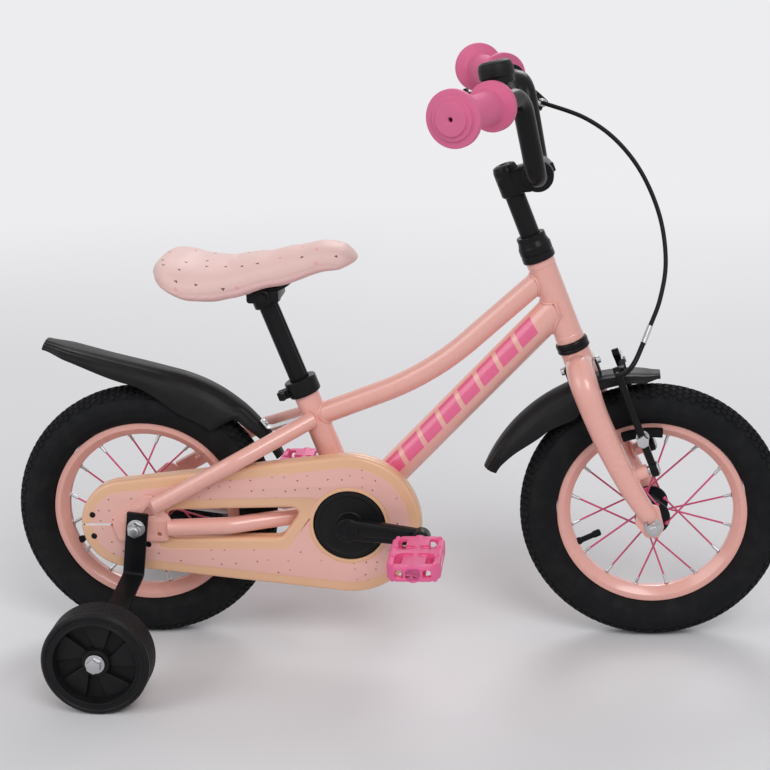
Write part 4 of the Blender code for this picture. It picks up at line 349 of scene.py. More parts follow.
def seam(start, direction, radius, axis_point, axis, wall):
    """The closed line where a round tube, running from start, comes out of a round wall."""
    steps = 56
    across = direction.cross(axis).normalized()
    over = across.cross(direction).normalized()
    line = []
    for i in range(steps):
        turn = 2 * pi * i / steps
        spot = start + (across * cos(turn) + over * sin(turn)) * radius
        away = spot - axis_point
        away -= axis * away.dot(axis)
        step = direction - axis * direction.dot(axis)
        a, b, c = step.dot(step), 2 * away.dot(step), away.dot(away) - wall ** 2
        line.append(spot + direction * ((-b + sqrt(max(b * b - 4 * a * c, 0))) / (2 * a)))
    return line


# Modelling steps

def deselect():
    if bpy.context.object and bpy.context.object.mode != "OBJECT":
        bpy.ops.object.mode_set(mode="OBJECT")
    bpy.ops.object.select_all(action="DESELECT")


def pick(*objects):
    deselect()
    for obj in objects:
        obj.select_set(True)
    bpy.context.view_layer.objects.active = objects[0]


@contextmanager
def editing(obj):
    """Edit mode on one shape, with all of it selected."""
    pick(obj)
    bpy.ops.object.mode_set(mode="EDIT")
    bpy.ops.mesh.select_all(action="SELECT")
    yield
    bpy.ops.object.mode_set(mode="OBJECT")


def placed(obj, place=None):
    """Moves the new shape to its place and applies that to its mesh."""
    if place is not None:
        obj.matrix_world = place
    pick(obj)
    bpy.ops.object.transform_apply(location=True, rotation=True, scale=True)
    return obj


def clean(obj, distance=0.00001):
    """Merges doubled points and turns the faces outward."""
    with editing(obj):
        bpy.ops.mesh.remove_doubles(threshold=distance)
        bpy.ops.mesh.normals_make_consistent(inside=False)
    return obj


def modified(obj, kind, **values):
    """Adds a modifier and applies it."""
    modifier = obj.modifiers.new(kind.title(), kind)
    for key, value in values.items():
        setattr(modifier, key, value)
    pick(obj)
    bpy.ops.object.modifier_apply(modifier=modifier.name)
    return obj


def soften(obj, width=0.0005, segments=2, angle=32):
    """Rounds the sharp edges."""
    return modified(obj, "BEVEL", width=width, segments=segments, limit_method="ANGLE",
                    angle_limit=radians(angle), use_clamp_overlap=True)


def merged(*objects):
    """Puts shapes that touch into one object."""
    pick(*objects)
    if len(objects) > 1:
        bpy.ops.object.join()
    return objects[0]


def combined(obj, operation, *others):
    """Cuts, joins or crosses the shape with the others, which are used up."""
    for other in others:
        modified(obj, "BOOLEAN", operation=operation, object=other, solver="EXACT")
        bpy.data.objects.remove(other, do_unlink=True)
    return obj


def carve(obj, *cutters):
    return combined(obj, "DIFFERENCE", *cutters)


def copied(obj):
    """A copy with its own mesh."""
    pick(obj)
    bpy.ops.object.duplicate()
    return bpy.context.object


def tapered(middle, direction, base, tip, length, sides):
    """A straight bar of any number of sides, from its base's radius to its tip's."""
    deselect()
    bpy.ops.mesh.primitive_cone_add(vertices=sides, radius1=base, radius2=tip, depth=length,
                                    location=middle, rotation=direction.to_track_quat("Z", "Y").to_euler())
    return placed(bpy.context.object)


def cylinder(start, end, radius, sides=40):
    span = end - start
    return tapered((start + end) / 2, span, radius, radius, span.length, sides)


def bar_through(point, direction, reach, radius, sides=64):
    """A round bar that passes through point and reaches as far on both sides of it."""
    return cylinder(point - direction * reach, point + direction * reach, radius, sides)


def cuboid(size, place):
    deselect()
    bpy.ops.mesh.primitive_cube_add(size=1)
    return placed(bpy.context.object, place @ Matrix.Diagonal((*size, 1)))


def lathe(profile, place, steps=64):
    """A profile of (radius, height) points spun about local Z."""
    deselect()
    bpy.ops.mesh.primitive_plane_add(size=0.001)
    obj = bpy.context.object
    with editing(obj):
        bpy.ops.mesh.merge(type="CENTER")
        bpy.ops.transform.translate(value=(profile[0][0], 0, profile[0][1]))
        for (r0, z0), (r1, z1) in zip(profile, profile[1:]):
            bpy.ops.mesh.extrude_region_move(TRANSFORM_OT_translate={"value": (r1 - r0, 0, z1 - z0)})
        bpy.ops.mesh.select_all(action="SELECT")
        bpy.ops.mesh.spin(steps=steps, angle=2 * pi, center=(0, 0, 0), axis=(0, 0, 1))
    return placed(clean(obj), place)


def turned(start, end, profile, radius=0.0004, steps=64):
    """A solid turned shape from start towards end: (radius, distance) points, eased at its corners."""
    ring = eased([(0, profile[0][1]), *profile, (0, profile[-1][1])], radius)
    return lathe(ring, facing(start, end - start), steps)


def rod(start, end, radius, length, edge=0.0004, steps=64):
    """A plain round solid from start towards end."""
    return turned(start, end, [(radius, 0), (radius, length)], edge, steps)


def ring_shape(profile, place, radius=0.0005, steps=64):
    """A ring turned from a closed profile, eased at its corners."""
    outline = eased(profile, radius, closed=True)
    return lathe([*outline, outline[0]], place, steps)


def pipe(points, radius, sides=24, closed=False):
    """A tube along points; its radius may be a list with one value for each point."""
    radii = radius if isinstance(radius, list) else [radius] * len(points)
    deselect()
    bpy.ops.curve.primitive_bezier_curve_add()
    data = bpy.context.object.data
    data.splines.clear()
    data.bevel_depth = max(radii)
    data.bevel_resolution = (sides - 4) // 2
    data.use_fill_caps = not closed
    spline = data.splines.new("POLY")
    spline.points.add(len(points) - 1)
    spline.use_cyclic_u = closed
    for i, point in enumerate(points):
        spline.points[i].co = (*point, 1)
        spline.points[i].radius = radii[i] / max(radii)
    bpy.ops.object.convert(target="MESH")
    return clean(bpy.context.object)


def slab(outlines, thickness, place, edge=0.0):
    """A flat plate from closed outlines, the first its edge and the rest holes, with eased edges."""
    deselect()
    bpy.ops.curve.primitive_bezier_circle_add()
    data = bpy.context.object.data
    data.dimensions = "2D"
    data.fill_mode = "BOTH"
    data.splines.clear()
    for outline in outlines:
        spline = data.splines.new("POLY")
        spline.points.add(len(outline) - 1)
        spline.use_cyclic_u = True
        for i, (x, y) in enumerate(outline):
            spline.points[i].co = (x, y, 0, 1)
    data.extrude = thickness / 2 - edge
    data.bevel_depth = edge
    data.bevel_resolution = 2
    data.offset = -edge
    bpy.ops.object.convert(target="MESH")
    return placed(clean(bpy.context.object, 0.000005), place)


def hex_nut(start, end, radius):
    """A six-sided nut or bolt head with its corners turned down."""
    nut = cylinder(start, end, radius, sides=6)
    span = (end - start).normalized()
    length = (end - start).length
    dome = turned(start - span * 0.001, end, [(radius * 1.3, 0), (radius * 1.3, length * 0.9),
                                              (radius * 0.86, length + 0.0011)], 0.0001, 24)
    return combined(nut, "INTERSECT", dome)


def softened(node, width):
    """A copy of a solid with its flat faces merged and its edges rounded."""
    obj = copied(frame["nodes"][node])
    obj.parent = None
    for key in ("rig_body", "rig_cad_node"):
        del obj[key]
    with editing(obj):
        bpy.ops.mesh.remove_doubles(threshold=0.00001)
        bpy.ops.mesh.dissolve_limited(angle_limit=radians(1))
    return soften(obj, width, 2, 50)


def dressed(obj, name, look, body, *nodes, slot=None, angle=38):
    """Names the piece, gives it its finish, and seats it on its body in place of its solids."""
    slot = slot or look
    obj.name = name
    obj.data.name = name
    coated(obj, look)
    pick(obj)
    bpy.ops.object.shade_smooth_by_angle(angle=radians(angle))
    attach(obj, body)
    if nodes:
        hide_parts(*nodes)
    return obj


# Finishes

def finish(name):
    """The visible finish of that name, which stands beside the solids' plain one."""
    return bpy.data.materials[f"visible_{name}"]


def coated(obj, look):
    obj.data.materials.clear()
    obj.data.materials.append(finish(look))


def node(tree, kind, inputs=None, **settings):
    """Adds a node; each input is a value or another node's output."""
    made = tree.nodes.new(kind)
    for key, value in settings.items():
        setattr(made, key, value)
    for key, value in (inputs or {}).items():
        if isinstance(value, bpy.types.NodeSocket):
            tree.links.new(value, made.inputs[key])
        else:
            made.inputs[key].default_value = value
    return made


def calc(tree, operation, a, b=0.0, c=0.0, clamp=False):
    made = node(tree, "ShaderNodeMath", {0: a, 1: b, 2: c}, operation=operation)
    made.use_clamp = clamp
    return made.outputs[0]


def blended(tree, factor, first, second):
    mix = node(tree, "ShaderNodeMix", {0: factor, 6: first, 7: second}, data_type="RGBA")
    return mix.outputs[2]


def vector_math(tree, operation, a, b=(0, 0, 0), output=0):
    return node(tree, "ShaderNodeVectorMath", {0: a, 1: b}, operation=operation).outputs[output]


def dotted(tree, place, direction):
    return vector_math(tree, "DOT_PRODUCT", place, direction, "Value")


def noise(tree, scale, detail, distortion=0.0):
    """A cloud fixed to the piece's own coordinates."""
    return node(tree, "ShaderNodeTexNoise", {"Vector": object_place(tree), "Scale": scale, "Detail": detail,
                                             "Distortion": distortion}).outputs["Fac"]


def swing(tree, cloud, amount):
    """The cloud about its middle, times amount."""
    return calc(tree, "MULTIPLY", calc(tree, "SUBTRACT", cloud, 0.5), amount)


def object_place(tree):
    return node(tree, "ShaderNodeTexCoord").outputs["Object"]


def facing_part(tree, axis):
    """One part of the direction that the surface faces."""
    normal = node(tree, "ShaderNodeNewGeometry").outputs["Normal"]
    return node(tree, "ShaderNodeSeparateXYZ", {0: normal}).outputs[axis]


def effect(name, inputs, outputs):
    """A new node group, with what it is given and what it puts out."""
    tree = bpy.data.node_groups.new(name, "ShaderNodeTree")
    for label, kind in inputs.items():
        tree.interface.new_socket(label, in_out="INPUT", socket_type=f"NodeSocket{kind}")
    for label, kind in outputs.items():
        tree.interface.new_socket(label, in_out="OUTPUT", socket_type=f"NodeSocket{kind}")
    return tree, node(tree, "NodeGroupInput").outputs, node(tree, "NodeGroupOutput").inputs


def make_colour_drift():
    """Colour that wanders a little in lightness, in large soft patches."""
    tree, given, out = effect("Colour drift", {"Colour": "Color", "Amount": "Float", "Scale": "Float"},
                              {"Colour": "Color"})
    change = swing(tree, noise(tree, given["Scale"], 3.0), given["Amount"])
    tint = node(tree, "ShaderNodeHueSaturation", {"Value": calc(tree, "ADD", change, 1.0),
                                                  "Saturation": calc(tree, "SUBTRACT", 1.0, change),
                                                  "Color": given["Colour"]})
    tree.links.new(tint.outputs[0], out["Colour"])


def make_moulded_grain():
    """The fine bumps of a moulded or sprayed surface, and the uneven gloss that goes with them."""
    tree, given, out = effect("Moulded grain", {"Scale": "Float", "Roughness": "Float", "Spread": "Float"},
                              {"Height": "Float", "Roughness": "Float"})
    tree.links.new(noise(tree, given["Scale"], 4.0), out["Height"])
    change = swing(tree, noise(tree, 24.0, 5.0, 0.4), given["Spread"])
    tree.links.new(calc(tree, "ADD", change, given["Roughness"]), out["Roughness"])


def make_settled_dust():
    """Pale dust that lies on what faces up, in broken patches."""
    tree, given, out = effect("Settled dust", {"Colour": "Color", "Dust": "Color", "Amount": "Float"},
                              {"Colour": "Color"})
    lying = calc(tree, "MULTIPLY_ADD", facing_part(tree, "Z"), 0.4, 0.6, True)
    patch = calc(tree, "MULTIPLY", calc(tree, "SUBTRACT", noise(tree, 60.0, 6.0), 0.42), 3.0, clamp=True)
    mask = calc(tree, "MULTIPLY", calc(tree, "MULTIPLY", lying, patch), given["Amount"])
    tree.links.new(blended(tree, mask, given["Colour"], given["Dust"]), out["Colour"])


def make_scattered_triangles():
    """Small triangles dropped in the cells of a grid, each turned its own way, some only outlined."""
    tree, given, out = effect("Scattered triangles",
                              {"Place": "Vector", "Cell": "Float", "Size": "Float", "Share": "Float",
                               "Seed": "Float"}, {"Filled": "Float", "Outline": "Float"})
    shrink = calc(tree, "DIVIDE", 1.0, given["Cell"])
    scaled = node(tree, "ShaderNodeVectorMath", {0: given["Place"], 3: shrink}, operation="SCALE").outputs[0]
    flat = vector_math(tree, "MULTIPLY", scaled, (1, 1, 0))
    cell = vector_math(tree, "FLOOR", flat)
    inside = vector_math(tree, "SUBTRACT", flat, cell)
    chance = node(tree, "ShaderNodeTexWhiteNoise", {"Vector": cell, "W": given["Seed"]},
                  noise_dimensions="4D")
    parts = node(tree, "ShaderNodeSeparateXYZ", {0: chance.outputs["Color"]}).outputs
    x, y = [calc(tree, "MULTIPLY_ADD", part, 0.6, 0.2) for part in (parts[0], parts[1])]
    shift = node(tree, "ShaderNodeCombineXYZ", {0: x, 1: y}).outputs[0]
    local = vector_math(tree, "SUBTRACT", inside, shift)
    turn = calc(tree, "MULTIPLY", parts[2], 2 * pi)
    spun = node(tree, "ShaderNodeVectorRotate", {"Vector": local, "Angle": turn}, rotation_type="Z_AXIS")
    edges = [dotted(tree, spun.outputs[0], (*polar(1, 2 * pi * k / 3), 0)) for k in range(3)]
    reach = calc(tree, "MAXIMUM", calc(tree, "MAXIMUM", edges[0], edges[1]), edges[2])
    kept = calc(tree, "LESS_THAN", chance.outputs["Value"], given["Share"])
    solid = calc(tree, "MULTIPLY", calc(tree, "LESS_THAN", reach, given["Size"]), kept)
    heart = calc(tree, "LESS_THAN", reach, calc(tree, "MULTIPLY", given["Size"], 0.62))
    open_one = calc(tree, "GREATER_THAN", parts[1], 0.6)
    border = calc(tree, "MULTIPLY", solid, calc(tree, "SUBTRACT", 1.0, heart))
    filled = calc(tree, "MULTIPLY", solid, calc(tree, "SUBTRACT", 1.0, open_one))
    tree.links.new(filled, out["Filled"])
    tree.links.new(calc(tree, "MULTIPLY", border, open_one), out["Outline"])


def use(tree, name, inputs):
    return node(tree, "ShaderNodeGroup", inputs, node_tree=bpy.data.node_groups[name]).outputs


def surface(name, colour, roughness, metallic=0.0, coat=0.0, drift=0.06, grain=900.0, depth=0.00002,
            spread=0.15, dust=0.0, shine=0.5):
    """A finish from the shared effects; it returns the material's tree and shader for what is added."""
    material = bpy.data.materials.new(f"visible_{name}")
    material.use_nodes = True
    material.diffuse_color = (*colour, 1)
    tree = material.node_tree
    shader = tree.nodes["Principled BSDF"]
    shader.inputs["Metallic"].default_value = metallic
    shader.inputs["Coat Weight"].default_value = coat
    shader.inputs["Coat Roughness"].default_value = 0.12
    shader.inputs["Specular IOR Level"].default_value = shine
    tinted = use(tree, "Colour drift", {"Colour": (*colour, 1), "Amount": drift, "Scale": 7.0})["Colour"]
    if dust:
        tinted = use(tree, "Settled dust", {"Colour": tinted, "Dust": (0.28, 0.26, 0.24, 1),
                                            "Amount": dust})["Colour"]
    tree.links.new(tinted, shader.inputs["Base Color"])
    skin = use(tree, "Moulded grain", {"Scale": grain, "Roughness": roughness, "Spread": spread})
    tree.links.new(skin["Roughness"], shader.inputs["Roughness"])
    bump = node(tree, "ShaderNodeBump", {"Strength": 1.0, "Distance": depth, "Height": skin["Height"]})
    tree.links.new(bump.outputs[0], shader.inputs["Normal"])
    return tree, shader


def base_of(shader):
    """What feeds the shader's colour now."""
    return shader.inputs["Base Color"].links[0].from_socket


def recoloured(tree, shader, mask, colour):
    """Lays colour over what the shader shows now, where the mask says."""
    tree.links.new(blended(tree, mask, base_of(shader), (*colour, 1)), shader.inputs["Base Color"])


def decal_paint(colours):
    """The frame's paint, with slanted blocks of a second pink along both flanks of the tube."""
    pitch, block_share, slant = 0.031, 0.8, -0.27
    first, last, lowest, highest = 0.062, 0.31, -0.003, 0.0155
    tree, shader = surface("decal_paint", colours.frame_pink, 0.28, coat=0.6)
    start, end = BOTTOM_BRACKET, steer(DOWN_JOINT)
    along = (end - start).normalized()
    over = Vector((-along.z, 0, along.x))
    place = object_place(tree)
    run = calc(tree, "SUBTRACT", dotted(tree, place, along), start.dot(along))
    rise = calc(tree, "SUBTRACT", dotted(tree, place, over), start.dot(over))
    slanted = calc(tree, "MULTIPLY_ADD", rise, slant, run)
    mask = calc(tree, "LESS_THAN", calc(tree, "FRACT", calc(tree, "DIVIDE", slanted, pitch)), block_share)
    for value, low, high in ((slanted, first, last), (rise, lowest, highest)):
        mask = calc(tree, "MULTIPLY", mask, calc(tree, "GREATER_THAN", value, low))
        mask = calc(tree, "MULTIPLY", mask, calc(tree, "LESS_THAN", value, high))
    recoloured(tree, shader, mask, colours.decal_pink)


def printed_plastic(colours):
    """The chaincase's pink face, with tiny dark triangles scattered over it."""
    tree, shader = surface("printed_plastic", colours.case_pink, 0.36, coat=0.25, grain=700, depth=0.00003)
    place = node(tree, "ShaderNodeSeparateXYZ", {0: object_place(tree)}).outputs
    flat = node(tree, "ShaderNodeCombineXYZ", {0: place["X"], 1: place["Z"]}).outputs[0]
    print_mask = use(tree, "Scattered triangles", {"Place": flat, "Cell": 0.0125, "Size": 0.055,
                                                   "Share": 0.55, "Seed": 3.0})
    flank = calc(tree, "GREATER_THAN", calc(tree, "ABSOLUTE", facing_part(tree, "Y")), 0.9)
    marks = calc(tree, "MULTIPLY", calc(tree, "ADD", print_mask["Filled"], print_mask["Outline"]), flank)
    recoloured(tree, shader, marks, colours.print_dark)


def saddle_cover(colours):
    """A soft vinyl cover, a shade pinker below its crease, with a few printed triangles above it."""
    tree, shader = surface("saddle_cover", colours.saddle_pink, 0.5, grain=1500, depth=0.00006, spread=0.2)
    shader.inputs["Sheen Weight"].default_value = 0.15
    unrolled = node(tree, "ShaderNodeAttribute", attribute_name="print_place").outputs["Vector"]
    band = node(tree, "ShaderNodeAttribute", attribute_name="lower_band").outputs["Fac"]
    print_mask = use(tree, "Scattered triangles", {"Place": unrolled, "Cell": 0.021, "Size": 0.062,
                                                   "Share": 0.62, "Seed": 8.0})
    above = calc(tree, "SUBTRACT", 1.0, band, clamp=True)
    for mask, strength, colour in ((print_mask["Filled"], above, colours.print_dark),
                                   (print_mask["Outline"], above, colours.decal_pink),
                                   (band, 0.1, colours.grip_pink)):
        recoloured(tree, shader, calc(tree, "MULTIPLY", mask, strength), colour)


class BikeColours(bpy.types.PropertyGroup):
    """The colours of the bicycle's finishes."""

    def _colour(label, text, *value):
        return bpy.props.FloatVectorProperty(name=label, description=text, default=shade(*value), min=0,
                                             max=1, subtype="COLOR", size=3)

    frame_pink: _colour("Frame", "The frame's enamel", 243, 180, 168)
    case_pink: _colour("Chaincase face", "The chaincase's printed face", 241, 187, 176)
    trim_peach: _colour("Chaincase border", "The chaincase's raised border", 238, 188, 150)
    decal_pink: _colour("Decal", "The slanted blocks on the down tube", 238, 104, 148)
    print_dark: _colour("Print", "The small printed triangles", 96, 60, 62)
    saddle_pink: _colour("Saddle", "The saddle's cover", 241, 202, 196)
    grip_pink: _colour("Grips", "The grips' soft rubber", 226, 110, 152)
    pedal_pink: _colour("Pedals", "The pedals' moulding", 240, 102, 156)
    spoke_pink: _colour("Spokes", "The spokes' and hub flanges' paint", 214, 76, 124)
    black: _colour("Black", "Paint and plastic on the small parts", 21, 21, 23)
    rubber: _colour("Rubber", "The tyres and brake blocks", 26, 27, 29)
    silver: _colour("Silver", "Nuts, bolts and washers", 196, 197, 199)
    reflector: _colour("Reflector", "The clear blocks in the pedals", 232, 234, 236)
    floor: _colour("Floor", "The studio floor", 236, 236, 238)


class BikeSizes(bpy.types.PropertyGroup):
    """Sizes of the surface detail."""

    def _length(label, text, value):
        return bpy.props.FloatProperty(name=label, description=text, default=value, min=0.0001,
                                       subtype="DISTANCE", unit="LENGTH", precision=4)

    tread_depth: _length("Tread depth", "How far the tyres' blocks stand up", 0.0016)
    weld_radius: _length("Weld radius", "Half the width of the frame's weld beads", 0.0015)
    border_width: _length("Border width", "The chaincase's peach border", 0.0125)
    face_height: _length("Face height", "How far the chaincase's printed face stands out", 0.0005)
    crease_depth: _length("Crease depth", "The saddle's side crease", 0.0008)
    edge_radius: _length("Edge radius", "The rounding of plates and brackets", 0.0006)
    tread_blocks: bpy.props.IntProperty(name="Tread blocks", description="Rows of blocks round each tyre",
                                        default=60, min=8)


def sizes():
    return bpy.context.scene.bike_sizes


class BIKE_OT_finishes(bpy.types.Operator):
    """Make the paints, plastics, rubber and metal"""

    bl_idname = "bike.finishes"
    bl_label = "Finishes"

    def execute(self, context):
        colours = context.scene.bike_colours
        make_colour_drift()
        make_moulded_grain()
        make_settled_dust()
        make_scattered_triangles()
        surface("frame_paint", colours.frame_pink, 0.28, coat=0.6)
        surface("border_plastic", colours.trim_peach, 0.34, coat=0.25, grain=700, depth=0.00003)
        surface("grip_rubber", colours.grip_pink, 0.58, grain=1100, depth=0.00008)
        surface("pedal_plastic", colours.pedal_pink, 0.42, grain=800, depth=0.00005)
        surface("spoke_paint", colours.spoke_pink, 0.33, coat=0.3)
        surface("black_paint", colours.black, 0.3, coat=0.05, dust=0.01, shine=0.12)
        surface("black_plastic", colours.black, 0.46, grain=900, depth=0.00006, dust=0.02, shine=0.18)
        surface("black_rubber", colours.rubber, 0.7, grain=600, depth=0.00008, shine=0.1)
        surface("silver_steel", colours.silver, 0.3, metallic=0.9, drift=0.1, grain=1600, spread=0.25)
        surface("dark_steel", shade(92, 88, 84), 0.42, metallic=0.8, drift=0.25, grain=1200, spread=0.3)
        surface("clear_reflector", colours.reflector, 0.16, coat=0.8, grain=350, depth=0.00015)
        decal_paint(colours)
        printed_plastic(colours)
        saddle_cover(colours)
        surface("tyre_rubber", colours.rubber, 0.72, drift=0.2, grain=500, depth=0.00008, dust=0.04,
                shine=0.1)
        surface("cable_jacket", colours.black, 0.42, grain=1200, depth=0.00004, shine=0.15)
        return {"FINISHED"}


# Wheels

def repeated_round(obj, count):
    """The same shape count times round local Z."""
    with editing(obj):
        bpy.ops.mesh.spin(steps=count - 1, dupli=True, angle=2 * pi * (count - 1) / count, center=(0, 0, 0),
                          axis=(0, 0, 1))
    return obj


def spun(angle):
    return Matrix.Rotation(angle, 4, "Z")


def tread_row(angles, count, depth, turn):
    """One row of tapered diamond blocks across the tyre, repeated all the way round."""
    blocks = []
    for angle in angles:
        out = Vector((cos(angle), 0, sin(angle)))
        middle = Vector((TYRE_CENTRE, 0, 0)) + out * (TYRE_SECTION - 0.0007 - depth / 2)
        blocks.append(tapered(middle, out, 0.005, 0.0036, depth + 0.0014, 4))
    return placed(repeated_round(merged(*blocks), count), spun(turn))


def tyre(name, axle, body):
    """A round casing with ridged sidewalls under two staggered rows of blocks."""
    depth, count = sizes().tread_depth, sizes().tread_blocks
    edge = acos((RIM_OUTER + FIT - TYRE_CENTRE) / TYRE_SECTION)
    profile = []
    steps = 60
    for i in range(steps + 1):
        angle = edge - 2 * edge * i / steps
        turn = abs(angle)
        section = TYRE_SECTION - depth if turn < radians(52) else TYRE_SECTION - 0.0005
        if radians(52) <= turn < radians(58):
            section = TYRE_SECTION - depth * (radians(58) - turn) / radians(6) - 0.0005
        for ridge in (66, 88, 112, 118):
            section += 0.0005 * exp(-((turn - radians(ridge)) / radians(1.6)) ** 2)
        profile.append((TYRE_CENTRE + section * cos(angle), section * sin(angle)))
    casing = lathe([*profile, profile[0]], None, 96)
    first = tread_row([radians(a) for a in (-46, -28, -9.5, 9.5, 28, 46)], count, depth, 0)
    second = tread_row([radians(a) for a in (-37, -19, 0, 19, 37)], count, depth, pi / count)
    obj = placed(merged(casing, first, second), on_axle(axle))
    return dressed(obj, f"{name}_tyre_tread", "tyre_rubber", body, f"{name}_tyre", angle=34)


def rim(name, axle, body):
    """A hooked rim with a valve in its well."""
    half = RIM_HALF
    shoulder = RIM_OUTER - 0.00675
    profile = [(RIM_OUTER, half), (RIM_OUTER, half - 0.0016), (RIM_OUTER - 0.0012, half - 0.0024),
               (RIM_OUTER - 0.0012, 0.0024 - half), (RIM_OUTER, 0.0016 - half), (RIM_OUTER, -half),
               (shoulder, -half), (RIM_INNER, -half * 0.35), (RIM_INNER, half * 0.35), (shoulder, half)]
    hoop = ring_shape(profile, on_axle(axle), 0.0008, 96)
    dressed(hoop, f"{name}_rim_hoop", "frame_paint", body, f"{name}_rim")
    out = Vector((cos(radians(205)), 0, sin(radians(205))))
    start = axle + out * (RIM_INNER + 0.001)
    valve = turned(start, axle, mm((4.2, 0), (4.2, 4), (3.2, 6), (3.2, 20), (4, 20.5), (4, 28), (3, 29.2)),
                   0.0004, 20)
    return dressed(valve, f"{name}_valve", "black_rubber", body, slot="tyre_rubber")


def hub(name, axle, barrel, flange, half, body):
    """A turned shell with a flange each side and a waisted barrel."""
    bore = AXLE_BORE
    inner, outer = FLANGE_OFFSET - 0.0015, FLANGE_OFFSET + 0.0015
    neck = barrel * 0.8
    upper = [(bore, half), (neck * 0.9, half), (neck, half - 0.0015), (neck, outer), (flange, outer),
             (flange, inner), (barrel, inner), (barrel * 0.94, inner * 0.6)]
    profile = upper + [(radius, -height) for radius, height in reversed(upper)]
    shell = ring_shape(profile, on_axle(axle), 0.0007, 64)
    return dressed(shell, f"{name}_hub_shell", "black_paint", body, f"{name}_hub")


def spokes(name, axle, flange, body):
    """Crossed spokes with their heads at the flanges and their nipples at the rim."""
    wires, nipples = [], []
    head = mm((2.4, 0), (2.4, 1), (1.4, 1.9))
    nipple = mm((1.3, 0), (1.8, 1.2), (1.8, 8.5), (2.6, 9), (2.6, 10.4))
    place = on_axle(axle)
    for i in range(16):
        side = 1 if i % 2 else -1
        lead = 1 if (i // 2) % 2 else -1
        rim_angle = 2 * pi * (i + 0.5) / 16
        hub_angle = rim_angle + lead * radians(52)
        level = side * (FLANGE_OFFSET + lead * 0.0022)
        hole = flange - 0.003
        start = place @ Vector((*polar(hole, hub_angle), level))
        end = place @ Vector((*polar(RIM_INNER, rim_angle), side * 0.0015))
        along = (end - start).normalized()
        outward = SIDE * (side * lead)
        wires.append(cylinder(start, end, 0.0011, sides=12))
        wires.append(turned(start - outward * 0.0004, start + outward * 0.002, head, 0.0003, 14))
        nipples.append(turned(end - along * 0.0105, end, nipple, 0.0002, 12))
    dressed(merged(*wires), f"{name}_spoke_set", "spoke_paint", body, f"{name}_spokes")
    return dressed(merged(*nipples), f"{name}_nipples", "silver_steel", body)


def axle_set(name, axle, inner_face, clamped, cone_inner, body):
    """The axle with its cone, washer and nut on each side."""
    washer = inner_face + clamped + FIT
    nut = washer + 0.0015
    end = nut + 0.009 + 0.004
    pieces = [cylinder(axle - SIDE * (nut + 0.008), axle + SIDE * (nut + 0.008), 0.0046)]
    for side in (-1, 1):
        way = SIDE * side
        thread = []
        for turn in range(8):
            thread += [(0.005, turn * 0.0012), (0.0044, turn * 0.0012 + 0.0006)]
        pieces.append(turned(axle + way * (end - 0.0096), axle + way * end, thread, 0.0001, 24))
        cone = inner_face - 0.003 - cone_inner
        pieces.append(turned(axle + way * cone_inner, axle + way * inner_face,
                             [(0.008, 0), (0.008, cone * 0.6), (0.0068, cone)], 0.0004, 32))
        pieces.append(rod(axle + way * washer, axle + way * nut, 0.01, 0.0015, steps=40))
        pieces.append(hex_nut(axle + way * nut, axle + way * (nut + 0.009), 0.0085))
    return dressed(merged(*pieces), f"{name}_axle_set", "silver_steel", body, f"{name}_axle")


# Frame

def shell_cutter():
    """A little less than the bottom bracket's shell, so that the tubes reach into it."""
    return bar_through(BOTTOM_BRACKET, SIDE, 0.05, SHELL_RADIUS - SUNK)


def seat_cutter():
    return cylinder(seat(0), seat(SEAT_LENGTH), SEAT_RADIUS - SUNK, sides=64)


def welded(tube, *beads):
    """A tube with a raised weld bead along each of its joints."""
    radius = sizes().weld_radius
    return merged(tube, *[pipe(line, radius, 10, closed=True) for line in beads])


